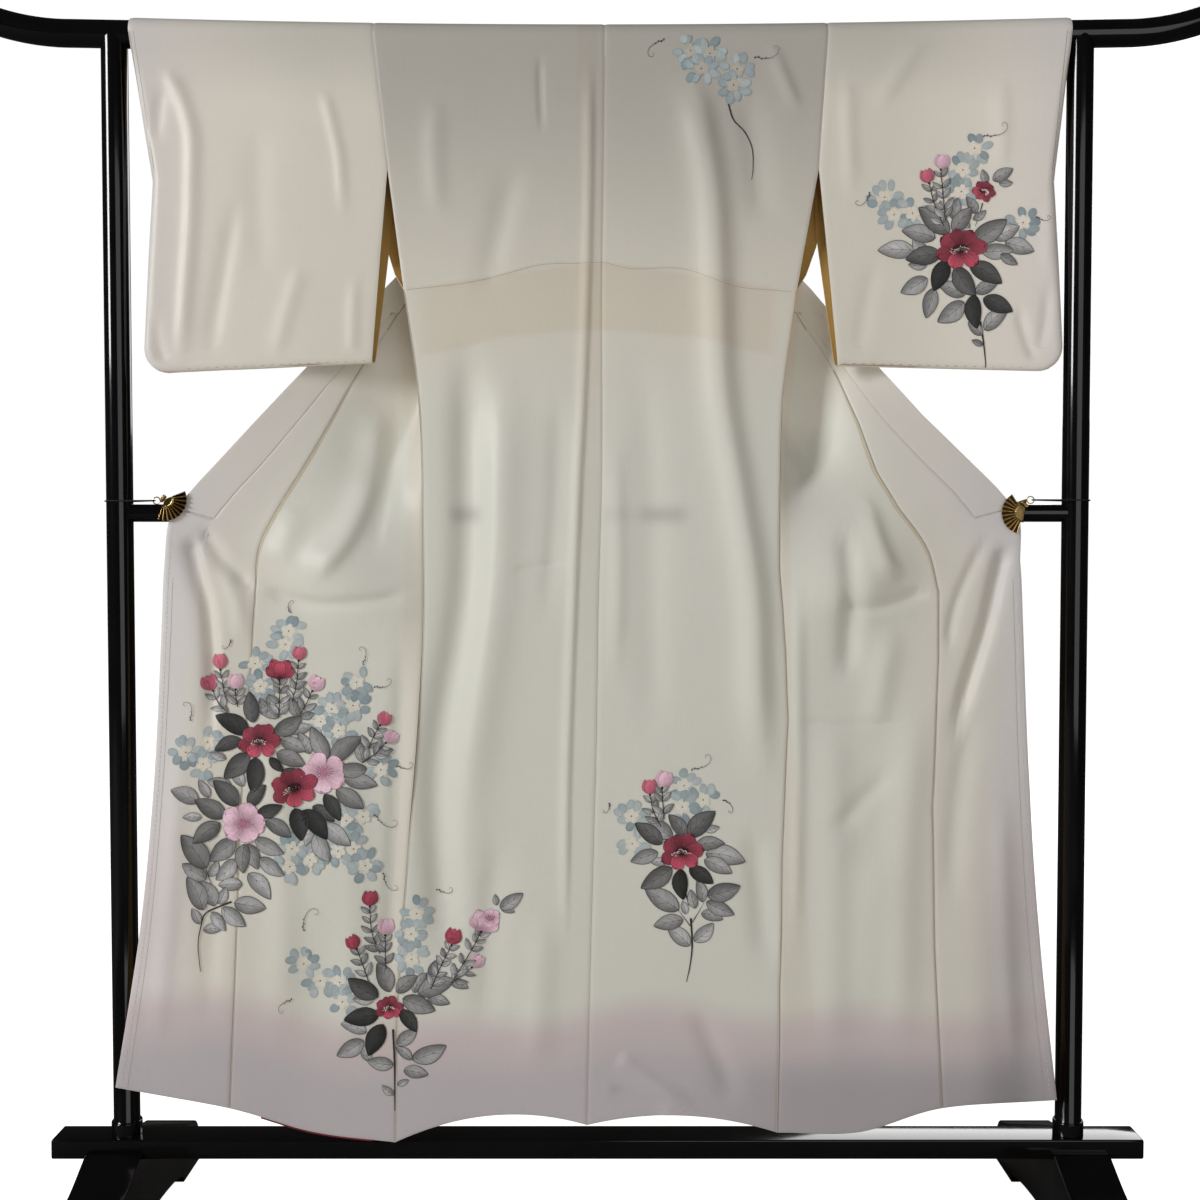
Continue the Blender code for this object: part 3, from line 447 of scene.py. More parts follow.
@dataclass
class KimonoCut:
    """Where every point of the hanging cloth lies: wall middles of back, open fronts and sleeves.

    The tables give the left half, as seen from the back, and right_shift how the right half differs.
    """

    rail_high: float = 1721.0
    cloth_radius: float = 20.65
    hem_drop: float = 1600.0
    seam_gap: float = 0.02
    bent_gap: float = 0.6
    seam_top: float = 370.0
    kensaki: float = 432.0
    collar_end: float = 800.0
    neck_out: float = 88.0
    neck_arc: float = 12.0
    collar_width: float = 55.0
    sleeve_join: float = 190.0
    cuff_open: float = 1511.0
    sleeve_corner: float = 36.0
    far_wall_in: float = 9.5
    edge_round: float = 12.0
    cuff_spread_end: float = 30.0
    # drop, then out/deep/high of the front edge, the okumi seam and the middle of the front panel
    fronts: tuple = (
        (0.0,    (46, 20.65, 1672),   (88, 20.65, 1721),   (201, 20.65, 1721)),
        (120.0,  (140, 36, 1559),     (150, 32, 1610),     (226, 24, 1606)),
        (230.0,  (214, 56, 1476),     (194, 40, 1524),     (214, 24, 1512)),
        (300.0,  (262, 54, 1423),     (214, 50, 1452),     (196, 26, 1442)),
        (370.0,  (309, 42, 1371),     (254, 50, 1388),     (206, 30, 1366)),
        (450.0,  (363, 26, 1311),     (298, 44, 1322),     (232, 38, 1284)),
        (530.0,  (417, 5, 1251),      (340, 26, 1256),     (262, 40, 1196)),
        (620.0,  (477, -9, 1184),     (382, 3, 1174),      (300, 20, 1116)),
        (700.0,  (531, -16, 1124),    (421, -12, 1104),    (328, -10, 1072)),
        (760.0,  (572, -19, 1079),    (452, -20, 1052),    (346, -32, 1012)),
        (820.0,  (604, -19, 1038),    (479, -21, 996),     (362, -46, 950)),
        (880.0,  (611, -22, 978),     (484, -22, 935),     (366, -32, 888)),
        (980.0,  (615, -27, 880),     (490, -25, 838),     (372, -26, 794)),
        (1180.0, (627, -31, 665),     (505, -30, 629),     (387, -30, 592)),
        (1380.0, (648, -34, 458),     (513, -34, 425),     (398, -33, 392)),
        (1600.0, (685, -36, 230),     (523, -38, 201),     (405, -36, 166)),
    )
    # drop, out, deep, high of the side seam
    side_seam: tuple = (
        (370.0, 272, -21, 1357), (530.0, 251, -25, 1200), (620.0, 247, -27, 1110),
        (700.0, 246, -29, 1028), (820.0, 245, -31, 910), (980.0, 253, -31, 752),
        (1180.0, 269, -33, 560), (1380.0, 283, -35, 365), (1600.0, 288, -36, 151),
    )
    back_slit: tuple = ((0.0, 314, -20.65, 1721), (190.0, 294, -20.6, 1531), (370.0, 272, -21, 1357))
    front_slit: tuple = (
        (0.0, 314, 20.65, 1721), (120.0, 301.4, 20.65, 1601), (190.0, 294, 20.65, 1531),
        (205.0, 301, 20.2, 1516), (230.0, 312, 19, 1490), (300.0, 300, 6, 1424), (345.0, 286, -9, 1381),
        (370.0, 272, -21, 1357),
    )
    # drop, then deep/high of the middle of the back panel, and out/deep/high of the centre seam
    backs: tuple = (
        (0.0, (-20.65, 1721), (10, -20.65, 1721)), (190.0, (-22, 1531), (8, -22, 1531)),
        (370.0, (-25, 1353), (6, -24, 1352)), (620.0, (-32, 1104), (6, -30, 1102)),
        (820.0, (-36, 905), (1, -34, 903)), (980.0, (-34, 750), (-1, -34, 748)),
        (1180.0, (-35, 562), (-6, -35, 556)), (1380.0, (-36, 378), (-11, -36, 366)),
        (1600.0, (-37, 190), (-15, -38, 177)),
    )
    # drop, then how far the right half lies further out (edge, okumi seam, side) and higher (edge, side)
    right_shift: tuple = (
        (0.0, 0, 0, 8, 0, 0), (190.0, 0, 0, 16, 0, 0), (370.0, 0, 0, 8, 0, 0), (530.0, -14, -2, 9, 0, 0),
        (620.0, -16, -10, 10, 0, 0), (700.0, -10, -26, 10, 0, 0), (760.0, -6, -27, 11, 0, 0),
        (820.0, -8, -14, 16, 0, 0), (880.0, -14, -2, 18, 0, 0), (980.0, -14, -8, 16, 0, 0),
        (1180.0, -16, -31, -8, 0, 0), (1380.0, -22, -35, -25, -6, 8), (1600.0, -32, -33, -32, -18, 14),
    )
    # a sleeve: lower inner corner, cuff edge (low, at the opening's end, at the rail), bottom (inner, cuff)
    sleeves: dict = field(default_factory=lambda: {
        Half.LEFT: (317.0, (640.0, 626.0, 655.0), (1257.0, 1243.0)),
        Half.RIGHT: (338.0, (657.0, 643.0, 663.0), (1253.0, 1246.0)),
    })
    # high, then depth of a sleeve's near and far wall
    sleeve_walls: tuple = ((1721.0, -20.65, 20.65), (1531.0, -20.9, 19.6), (1490.0, -21.0, 11.0),
                           (1400.0, -22.0, 0.0), (1320.0, -22.0, -6.0), (1240.0, -22.0, -10.0))
    # rows of half a neck: out and arc of the seam edge, then how far the free edge has gone to the middle
    neck_turn: tuple = ((87.5, 25.5, 0.08), (87.2, 18.9, 0.16), (86.8, 12.3, 0.25), (65.0, 12.3, 0.45),
                        (43.0, 12.3, 0.65), (21.0, 12.3, 0.85), (0.0, 12.3, 1.0))
    # a clip holds the front flat near its place (out, high), and lets it go between these distances
    clip_place: tuple[float, float] = (600.0, 1052.0)
    clip_hold: tuple[float, float] = (33.0, 64.0)
    wave_height: float = 0.45
    creases: tuple[Crease, ...] = ()

    @property
    def quarter(self) -> float:
        """Way over the rail from its top to its side."""
        return self.cloth_radius * math.pi / 2.0

    def over_rail(self, out: Array, arc: Array) -> Array:
        """Points on the top rail, then straight down from it.

        Round the rail deep = r sin(arc / r) and high = rail + r cos(arc / r), for an arc from the rail's top.
        """
        out, arc = np.broadcast_arrays(out, arc)
        angle = np.clip(arc / self.cloth_radius, -math.pi / 2.0, math.pi / 2.0)
        below = np.maximum(np.abs(arc) - self.quarter, 0.0)
        return np.stack([out, self.cloth_radius * np.sin(angle),
                         self.rail_high + self.cloth_radius * np.cos(angle) - below], axis=-1)

    def shift(self, half: Half, drop: Array) -> Array:
        """The columns of right_shift at each drop, or zeros on the left half."""
        table = np.array(self.right_shift)
        columns = [np.interp(drop, table[:, 0], table[:, c]) for c in range(1, table.shape[1])]
        return np.stack(columns, axis=-1) * (1.0 if half is Half.RIGHT else 0.0)

    def side_edge(self, half: Half, slit_edge: tuple, drop: Array) -> Array:
        """Outer edge of a panel: straight stretches along the slit, then the side seam's curve."""
        slit, seam = np.array(slit_edge), np.array(self.side_seam)
        upper = np.stack([np.interp(drop, slit[:, 0], slit[:, c]) for c in (1, 2, 3)], axis=-1)
        lower = through(seam[:, 0], seam[:, 1:], np.maximum(drop, self.seam_top))
        edge = np.where((drop < self.seam_top)[..., None], upper, lower)
        moved = self.shift(half, drop)
        edge[..., 0] += moved[..., 2]
        edge[..., 2] += moved[..., 4]
        return edge

    def front_lines(self, half: Half, drop: Array) -> Array:
        """Front edge, okumi seam, middle and side of the open front at each drop, as out/deep/high."""
        lines = through([row[0] for row in self.fronts], [row[1:] for row in self.fronts], drop)
        moved = self.shift(half, drop)
        lines[..., 0, 0] += moved[..., 0]
        lines[..., 1, 0] += moved[..., 1]
        lines[..., 2, 0] += (moved[..., 1] + moved[..., 2]) / 2.0
        lines[..., 0, 2] += moved[..., 3]
        side = self.side_edge(half, self.front_slit, drop)
        return np.concatenate([lines, side[..., None, :]], axis=-2)

    def front_base(self, half: Half, across: Array, drop: Array) -> Array:
        """Point of the open front at across (0 edge, 1 okumi seam, 2 middle, 3 side), without relief."""
        return between_lines(self.front_lines(half, drop), across)

    def back_base(self, half: Half, across: Array, drop: Array) -> Array:
        """Point of the back at across (0 side, 1 centre seam): straight, plus a parabola to its middle."""
        knots = [row[0] for row in self.backs]
        middle = through(knots, [row[1] for row in self.backs], drop)
        centre = through(knots, [row[2] for row in self.backs], drop)
        side = self.side_edge(half, self.back_slit, drop)
        if half is Half.LEFT:
            centre[..., 0] *= -1.0
        share = across[..., None]
        points = side * (1 - share) + centre * share
        points[..., 1:] += 4 * share * (1 - share) * (middle - (side[..., 1:] + centre[..., 1:]) / 2.0)
        return points

    def relief(self, panel: Panel, half: Half, out: Array, high: Array) -> Array:
        """How far the cloth stands out from its base form: the panel's creases and low waves of sines."""
        x = out * half.sign
        total = np.zeros(np.shape(out))
        for crease in self.creases:
            if crease.panel is panel:
                total += crease.height(x, high)
        wave = (np.sin(x / 61.0 + np.sin(high / 173.0) * 1.7) * np.sin(high / 240.0 + x / 210.0)
                + 0.5 * np.sin(x / 23.0 + high / 97.0) * np.sin(high / 131.0 - x / 89.0))
        total += self.wave_height * wave
        if panel is Panel.FRONT:
            total *= smooth(*self.clip_hold, np.hypot(out - self.clip_place[0], high - self.clip_place[1]))
        return total

    def draped(self, panel: Panel, half: Half, points: Array, amount: Array | float = 1.0) -> Array:
        """Points moved towards the viewer by the relief, times amount."""
        moved = points.copy()
        moved[..., 1] -= self.relief(panel, half, points[..., 0], points[..., 2]) * amount
        return moved

    def front(self, half: Half, across: Array, drop: Array) -> Array:
        """Draped point of the open front."""
        return self.draped(Panel.FRONT, half, self.front_base(half, across, drop))

    def back(self, half: Half, across: Array, drop: Array) -> Array:
        """Draped point of the back; the relief grows over the first 60 mm below the rail."""
        return self.draped(Panel.BACK, half, self.back_base(half, across, drop), smooth(0.0, 60.0, drop))

    def metres(self, half: Half, points: Array) -> Array:
        """Turn out/deep/high millimetres into metres on the given half."""
        return points * (half.sign * MM, MM, MM)

    def collar_share(self, half: Half, drop: Array) -> Array:
        """Where the collar's inner edge lies between front edge (0) and okumi seam (1)."""
        lines = self.front_lines(half, drop)
        width = np.linalg.norm(lines[:, 0] - lines[:, 1], axis=1)
        return np.where(drop > self.kensaki - 1.0, np.minimum(self.collar_width / width, 1.0), 1.0)

    def half_gap(self, half: Half, drop: Array, line: int, beside: int) -> Array:
        """Half a seam gap as a share of the way between two front lines, for each drop."""
        lines = self.front_lines(half, drop)
        width = np.linalg.norm(lines[:, line] - lines[:, beside], axis=1)
        return np.where(drop < self.kensaki, self.bent_gap, self.seam_gap) / 2.0 / width

    # ---- reading the cloth as a height map, for what is sewn or painted on it
    def find_back(self, half: Half, out: Array, high: Array) -> Array:
        """Depth of the back's base at (out, high), by fixed-point steps on across and drop."""
        drop = self.rail_high - high
        across = np.full(np.shape(out), 0.5)
        ends = np.array([0.0, 1.0])
        for _ in range(5):
            edges = self.back_base(half, np.broadcast_to(ends, drop.shape + (2,)),
                                   np.repeat(drop[..., None], 2, axis=-1))
            side, centre = edges[..., 0, 0], edges[..., 1, 0]
            across = np.clip((side - out) / (side - centre), -0.05, 1.05)
            drop = np.clip(drop + self.back_base(half, across, drop)[..., 2] - high, 0.0, self.hem_drop)
        return self.back_base(half, across, drop)[..., 1]

    def find_front(self, half: Half, out: Array, high: Array) -> Array:
        """Depth of the open front's base at (out, high), by fixed-point steps on across and drop."""
        drop = np.clip(self.rail_high - high + 50.0, 0.0, self.hem_drop)
        across = np.full(np.shape(out), 1.0)
        for _ in range(12):
            lines = self.front_lines(half, drop)[..., 0]
            share = [(lines[..., k] - out) / (lines[..., k] - lines[..., k + 1]) for k in range(3)]
            across = sum(np.clip(s, 0.0, 1.0) for s in share)
            here = self.front_base(half, across, drop)
            drop = np.clip(drop + 0.9 * (here[..., 2] - high), 0.0, self.hem_drop)
        return self.front_base(half, across, drop)[..., 1]

    def cuff_edge(self, half: Half, high: Array, bottom: Array) -> Array:
        """Out of a sleeve's cuff edge: straight stretches, drawn in by a quarter circle above the bottom."""
        _, sizes, (_, bottom_out) = self.sleeves[half]
        cuff = np.interp(high, [bottom_out, self.cuff_open, self.rail_high], sizes)
        under = self.sleeve_corner - np.clip(high - bottom, 0.0, self.sleeve_corner)
        return cuff - (self.sleeve_corner - np.sqrt(self.sleeve_corner ** 2 - under ** 2))

    def sleeve_depth(self, half: Half, out: Array, high: Array, far: bool = False) -> Array:
        """Depth of a sleeve's near or far wall: the two part from the closed edges in a quarter round."""
        inner_low, sizes, (bottom_in, bottom_out) = self.sleeves[half]
        length = sizes[1] - inner_low
        bottom = bottom_in + (bottom_out - bottom_in) * np.clip((out - inner_low) / length, 0.0, 1.0)
        cuff = self.cuff_edge(half, high, bottom)
        walls = np.array(self.sleeve_walls)[::-1]
        near = np.interp(high, walls[:, 0], walls[:, 1])
        away = np.interp(high, walls[:, 0], walls[:, 2])
        top = self.rail_high - self.cuff_open - self.cuff_spread_end
        opened = np.clip((high - self.cuff_open) / top, 0.0, 1.0)
        parted = (1.0 - (1.0 - opened) * (1.0 - self.rounded(cuff - out))) * self.rounded(high - bottom)
        spread = (away - near) / 2.0 * parted
        return (near + away) / 2.0 + (spread if far else -spread)

    def rounded(self, distance: Array) -> Array:
        """0 on a closed edge, rising like a quarter circle to 1 at edge_round from it."""
        share = np.clip(distance / self.edge_round, 0.0, 1.0)
        return np.sqrt(1.0 - (1.0 - share) ** 2)

    def near_depth(self, panel: Panel | None, x: Array, high: Array) -> Array:
        """Depth of the cloth's wall middle that faces the viewer at signed x and height.

        Args:
            panel: SLEEVE, or None for whichever of back and front is there.
            x: signed x in mm.
            high: height in mm.
        Returns:
            Depth in mm, with its relief.
        """
        depth = np.zeros(np.shape(x))
        for half in Half:
            mine = x >= 0 if half is Half.RIGHT else x < 0
            if not mine.any():
                continue
            out, level = x[mine] * half.sign, high[mine]
            if panel is Panel.SLEEVE:
                found = self.sleeve_depth(half, out, level) - self.relief(panel, half, out, level)
            else:
                drops = np.linspace(0.0, self.hem_drop, 200)
                edge = self.side_edge(half, self.back_slit, drops)
                side = np.interp(level, edge[::-1, 2], edge[::-1, 0])
                is_back = out <= side
                found = np.zeros(np.shape(out))
                for stretch, chosen, finder in ((Panel.BACK, is_back, self.find_back),
                                                (Panel.FRONT, ~is_back, self.find_front)):
                    if chosen.any():
                        found[chosen] = (finder(half, out[chosen], level[chosen])
                                         - self.relief(stretch, half, out[chosen], level[chosen]))
            depth[mine] = found
        return depth


# panel, path as (x, high), depth, width to its left, width to its right, share of the fading ends
CREASES: tuple[Crease, ...] = tuple(Crease(*row) for row in (
    (Panel.BACK, ((-10, 1706), (-10, 1550), (-13, 1398), (-20, 1203), (-26, 1092), (-33, 923), (-42, 669),
     (-45, 412)), 3.8, 4, 9, 0.1),
    (Panel.BACK, ((-181, 1315), (-183, 1147), (-184, 979), (-197, 867), (-214, 782), (-227, 669),
     (-223, 526), (-210, 383)), -14.6, 27, 23, 0.14),
    (Panel.BACK, ((-125, 1259), (-134, 1134), (-140, 979), (-157, 831), (-177, 697),
     (-192, 498)), 7.8, 30, 20, 0.25),
    (Panel.BACK, ((-80, 1706), (-79, 1646), (-76, 1577)), -2.5, 4, 6, 0.3),
    (Panel.BACK, ((-113, 1550), (-136, 1453), (-164, 1328)), -4.5, 18, 20, 0.35),
    (Panel.BACK, ((-224, 1646), (-228, 1550), (-220, 1439)), 3.4, 14, 14, 0.35),
    (Panel.BACK, ((-53, 1231), (-58, 1064), (-73, 867)), -3.4, 16, 14, 0.3),
    (Panel.BACK, ((-41, 979), (-81, 971), (-126, 961)), -1.8, 5, 5, 0.25),
    (Panel.BACK, ((-138, 612), (-153, 455), (-159, 297)), -5.6, 26, 20, 0.3),
    (Panel.BACK, ((-74, 498), (-82, 369), (-88, 239)), 4.5, 22, 22, 0.3),
    (Panel.BACK, ((128, 1687), (145, 1591), (161, 1495), (168, 1356), (174, 1217), (197, 1078), (219, 937),
     (225, 796), (236, 640)), 12.3, 20, 24, 0.14),
    (Panel.BACK, ((205, 1660), (221, 1550), (232, 1439)), -5.0, 22, 18, 0.3),
    (Panel.BACK, ((242, 1723), (256, 1673), (284, 1607)), 3.9, 8, 10, 0.25),
    (Panel.BACK, ((59, 1301), (74, 1092), (77, 867), (81, 697)), -4.5, 22, 26, 0.3),
    (Panel.BACK, ((23, 1175), (29, 979), (23, 782)), 3.4, 12, 14, 0.3),
    (Panel.BACK, ((219, 612), (230, 512), (242, 383)), -5.6, 18, 18, 0.3),
    (Panel.BACK, ((28, 279), (61, 254), (146, 196)), 5.0, 9, 14, 0.25),
    (Panel.BACK, ((12, 232), (61, 213), (103, 193)), -3.9, 9, 9, 0.25),
    (Panel.BACK, ((132, 354), (174, 268), (196, 199)), -5.0, 16, 16, 0.3),
    (Panel.FRONT, ((-313, 1210), (-319, 1127), (-332, 1057), (-361, 996), (-410, 946)), 10.6, 14, 24, 0.18),
    (Panel.FRONT, ((-288, 1147), (-300, 1064), (-317, 979)), -2.2, 8, 12, 0.25),
    (Panel.FRONT, ((-472, 940), (-433, 926), (-388, 919), (-320, 923), (-255, 934)), -5.6, 7, 12, 0.18),
    (Panel.FRONT, ((-418, 1064), (-439, 1007), (-458, 965)), 4.5, 18, 22, 0.35),
    (Panel.FRONT, ((-273, 909), (-282, 697), (-292, 498), (-301, 297)), -5.6, 14, 12, 0.25),
    (Panel.FRONT, ((-363, 867), (-379, 640), (-400, 354)), 5.0, 30, 34, 0.3),
    (Panel.FRONT, ((-581, 1024), (-573, 996), (-564, 958), (-550, 906), (-544, 810),
     (-551, 683)), -10.1, 9, 12, 0.22),
    (Panel.FRONT, ((-567, 1036), (-528, 979), (-481, 937)), -6.7, 9, 12, 0.25),
    (Panel.FRONT, ((-536, 1000), (-509, 923), (-496, 853)), 4.5, 12, 14, 0.35),
    (Panel.FRONT, ((-531, 669), (-544, 498), (-557, 297)), -5.0, 16, 20, 0.3),
    (Panel.FRONT, ((-581, 782), (-606, 498), (-626, 268)), 3.9, 16, 16, 0.3),
    (Panel.FRONT, ((377, 1083), (389, 1028), (406, 979), (429, 948)), 6.7, 11, 18, 0.36),
    (Panel.FRONT, ((349, 1036), (356, 923), (353, 796)), -9.0, 16, 16, 0.25),
    (Panel.FRONT, ((339, 923), (375, 910), (426, 919), (474, 937)), -5.6, 12, 7, 0.2),
    (Panel.FRONT, ((418, 895), (401, 810), (388, 725)), 5.6, 20, 18, 0.35),
    (Panel.FRONT, ((266, 751), (357, 747), (447, 751)), -1.8, 4, 4, 0.25),
    (Panel.FRONT, ((279, 979), (283, 697), (279, 412)), 3.9, 10, 8, 0.25),
    (Panel.FRONT, ((421, 683), (374, 637), (326, 586)), -3.9, 14, 14, 0.3),
    (Panel.FRONT, ((400, 583), (387, 469), (382, 311)), 4.5, 28, 28, 0.3),
    (Panel.FRONT, ((579, 1007), (573, 979), (564, 943), (550, 884), (523, 796),
     (498, 703)), -11.2, 10, 12, 0.22),
    (Panel.FRONT, ((556, 1024), (510, 923), (494, 844)), -4.5, 8, 9, 0.25),
    (Panel.FRONT, ((533, 782), (510, 640), (500, 469)), -4.5, 16, 16, 0.3),
    (Panel.FRONT, ((569, 669), (577, 440), (591, 239)), 3.9, 14, 14, 0.25),
    (Panel.FRONT, ((-473, 796), (-444, 555), (-452, 268)), 6.7, 26, 26, 0.25),
    (Panel.FRONT, ((-356, 782), (-348, 540), (-356, 239)), 5.0, 26, 24, 0.25),
    (Panel.FRONT, ((452, 796), (432, 555), (428, 254)), 6.7, 26, 26, 0.25),
    (Panel.FRONT, ((332, 782), (335, 540), (334, 239)), 5.0, 24, 26, 0.25),
    (Panel.SLEEVE, ((-608, 1671), (-583, 1629), (-568, 1577), (-568, 1522), (-571, 1439), (-578, 1356),
     (-587, 1242)), 4.5, 11, 9, 0.12),
    (Panel.SLEEVE, ((-608, 1646), (-614, 1605), (-623, 1550)), -2.6, 9, 9, 0.3),
    (Panel.SLEEVE, ((-386, 1649), (-372, 1598), (-361, 1543), (-355, 1446)), 3.0, 8, 7, 0.22),
    (Panel.SLEEVE, ((-504, 1495), (-527, 1370), (-548, 1256)), -3.0, 11, 12, 0.25),
    (Panel.SLEEVE, ((-413, 1395), (-433, 1334), (-456, 1253)), 2.6, 11, 12, 0.25),
    (Panel.SLEEVE, ((-472, 1605), (-476, 1481), (-469, 1356)), -2.2, 18, 20, 0.3),
    (Panel.SLEEVE, ((-339, 1384), (-343, 1315), (-344, 1256)), 2.6, 8, 9, 0.3),
    (Panel.SLEEVE, ((-626, 1328), (-620, 1287), (-604, 1245)), -2.6, 9, 9, 0.3),
    (Panel.SLEEVE, ((464, 1723), (427, 1673), (385, 1613)), 3.0, 12, 14, 0.25),
    (Panel.SLEEVE, ((348, 1673), (351, 1577), (355, 1481)), 3.0, 12, 10, 0.3),
    (Panel.SLEEVE, ((559, 1660), (566, 1591), (561, 1508)), 2.2, 12, 14, 0.3),
    (Panel.SLEEVE, ((588, 1342), (602, 1292), (619, 1251)), -3.0, 7, 7, 0.25),
    (Panel.SLEEVE, ((635, 1370), (630, 1315), (619, 1265)), -2.6, 7, 8, 0.25),
    (Panel.SLEEVE, ((636, 1495), (634, 1439), (632, 1370)), 2.2, 8, 9, 0.3),
    (Panel.SLEEVE, ((394, 1412), (375, 1328), (365, 1256)), -2.2, 12, 12, 0.3),
))


# ---------------------------------------------------------------------------- colour of the cloth
@dataclass(frozen=True)
class Dye:
    """Ground colours of the silk and its lining as smooth washes over the hanging cloth, linear RGB; some
    washes are painted shade and painted light.
    """

    cream: Colour = (0.785, 0.742, 0.662)
    ivory: Colour = (0.785, 0.785, 0.718)
    # painted shade: darkens the cloth towards the rail
    shoulder: Colour = (0.49, 0.47, 0.435)
    blush: Colour = (0.74, 0.68, 0.665)
    lavender: Colour = (0.70, 0.675, 0.70)
    pink: Colour = (0.66, 0.545, 0.565)
    dusk: Colour = (0.56, 0.525, 0.56)
    tan: Colour = (0.68, 0.43, 0.13)
    wine: Colour = (0.16, 0.022, 0.028)
    pink_high: float = 312.0
    # knots (place, value): side of the back panel by height, then edges of the tuck's shadow by distance out
    back_side: tuple = ((330, 285), (560, 269), (752, 253), (1110, 247), (1357, 272))
    tuck_top: tuple = ((0, 1395), (40, 1391), (180, 1372), (272, 1357))
    tuck_low: tuple = ((0, 1302), (130, 1293), (190, 1276), (272, 1262))
    # painted shadow where the rail shows faintly through the back: its height, then x, reach and darkness of
    # each shadow
    rail_shadow_high: float = 1043.0
    rail_shadows: tuple = ((-186.0, 22.0, 0.26), (30.0, 22.0, 0.08), (92.0, 34.0, 0.24))
    # how much red, green and blue a doubled layer takes away
    seam_strip: Colour = (0.020, 0.055, 0.080)
    tuck_band: Colour = (0.050, 0.080, 0.120)
    centre_strip: Colour = (0.035, 0.060, 0.085)

    @staticmethod
    def mix(first: Array, second: Colour, share: Array) -> Array:
        """Blend an array of colours with one colour by a share at each point."""
        return first + (np.array(second) - first) * share[..., None]

    @staticmethod
    def darker(colour: Array, taken: Array | Colour, share: Array) -> Array:
        """Take a share of each channel, or of all three, away."""
        return colour * (1.0 - np.array(taken) * share[..., None])

    @staticmethod
    def along(knots: tuple, place: Array) -> Array:
        """Straight stretches between knots (place, value)."""
        places, values = zip(*knots)
        return np.interp(place, places, values)

    def ground(self, panel: Panel, cut: KimonoCut, half: Half, out: Array, high: Array) -> Array:
        """Outer silk: ivory middle, cream above with painted shade towards the rail, lavender outer edges, a
        pink band and dusk at the hem.

        Args:
            panel: which stretch of cloth.
            cut: the kimono's form, for its seams.
            half: left or right.
            out: distance from the middle in mm.
            high: height in mm.
        Returns:
            Linear RGB with the shape of out plus 3.
        """
        x = out * half.sign
        colour = np.broadcast_to(np.array(self.cream), np.shape(out) + (3,)).copy()
        if panel is Panel.SLEEVE:
            return self.sleeve_ground(colour, x, out, high)
        # painted shade towards the rail
        colour = self.mix(colour, self.shoulder, 0.9 * smooth(1300.0, 1700.0, high))
        colour = self.mix(colour, self.ivory, 0.8 * smooth(1330.0, 1120.0, high) * smooth(620.0, 300.0, out))
        if panel is Panel.FRONT:
            colour = self.front_ground(colour, cut, half, out, high)
        colour = self.hem_ground(colour, x, high)
        if panel is Panel.BACK:
            colour = self.back_bands_and_rail_shadow(colour, x, high)
        return colour

    def sleeve_ground(self, colour: Array, x: Array, out: Array, high: Array) -> Array:
        """Sleeve: painted shade on top of the rail, brighter, pinker and then lavender towards the cuff, and
        painted light on the right sleeve.
        """
        # painted shade on top of the rail
        colour = self.mix(colour, self.shoulder, 0.5 * smooth(1600.0, 1715.0, high))
        colour = np.minimum(colour * (1.03 + 0.10 * smooth(330.0, 620.0, out))[..., None], 0.9)
        colour = self.mix(colour, self.blush, 0.5 * smooth(420.0, 650.0, out))
        colour = self.mix(colour, self.lavender, 0.35 * smooth(560.0, 660.0, out))
        # painted light: the right sleeve brighter towards its cuff
        return np.minimum(colour * (1.0 + 0.14 * smooth(380.0, 620.0, x))[..., None], 0.93)

    def front_ground(self, colour: Array, cut: KimonoCut, half: Half, out: Array, high: Array) -> Array:
        """Open front: blush and lavender beyond the okumi seam, a strip at the side, and painted light below
        the sleeve beside the side seam and along the outer left edge.
        """
        x, beyond = out * half.sign, out - self.okumi_out(cut, half, high)
        blush = 0.45 * smooth(-20.0, 60.0, beyond) * smooth(900.0, 1100.0, high)
        colour = self.mix(colour, self.blush, blush)
        lavender = 0.85 * smooth(40.0, 130.0, beyond) * smooth(1180.0, 980.0, high)
        colour = self.mix(colour, self.lavender, lavender)
        strip = smooth(26.0, 20.0, out - self.along(self.back_side, high))
        colour = self.darker(colour, self.seam_strip, strip)
        # painted light: brightens the front where the back panel's shadow falls beside the side seam, and
        # along the outer left edge
        foot = 1165.0 - 50.0 * half.sign
        painted_light = np.exp(-((out - 288.0) / 62.0) ** 2) * smooth(foot, foot + 85.0, high)
        painted_light = painted_light * smooth(1500.0, 1400.0, high) * (0.20 + 0.06 * half.sign)
        painted_light = painted_light + 0.16 * smooth(-520.0, -610.0, x) * smooth(1020.0, 920.0, high)
        colour = np.minimum(colour * (1.0 + painted_light)[..., None], 0.95)
        wash = smooth(30.0, 120.0, beyond) * smooth(760.0, 420.0, high)
        return self.mix(colour, self.pink, 0.42 * wash * (1 - smooth(520.0, 250.0, high)))

    def hem_ground(self, colour: Array, x: Array, high: Array) -> Array:
        """Pink band and dusk below an uneven line, and painted shade over two stretches on the right."""
        wander = 14.0 * np.sin(x / 130.0 + 0.8) + 9.0 * np.sin(x / 47.0)
        level = high - self.pink_high - (wander + 26.0 * smooth(200.0, 600.0, np.abs(x)))
        colour = self.mix(colour, self.pink, 0.80 * smooth(46.0, -14.0, level))
        colour = self.mix(colour, self.dusk, 0.85 * smooth(-6.0, -80.0, level))
        # painted shade over two stretches on the right
        shade = smooth(60.0, 330.0, x) * smooth(300.0, 220.0, high)
        shade = shade + smooth(520.0, 580.0, x) * smooth(640.0, 590.0, x) * smooth(700.0, 400.0, high)
        return self.darker(colour, 0.20, shade)

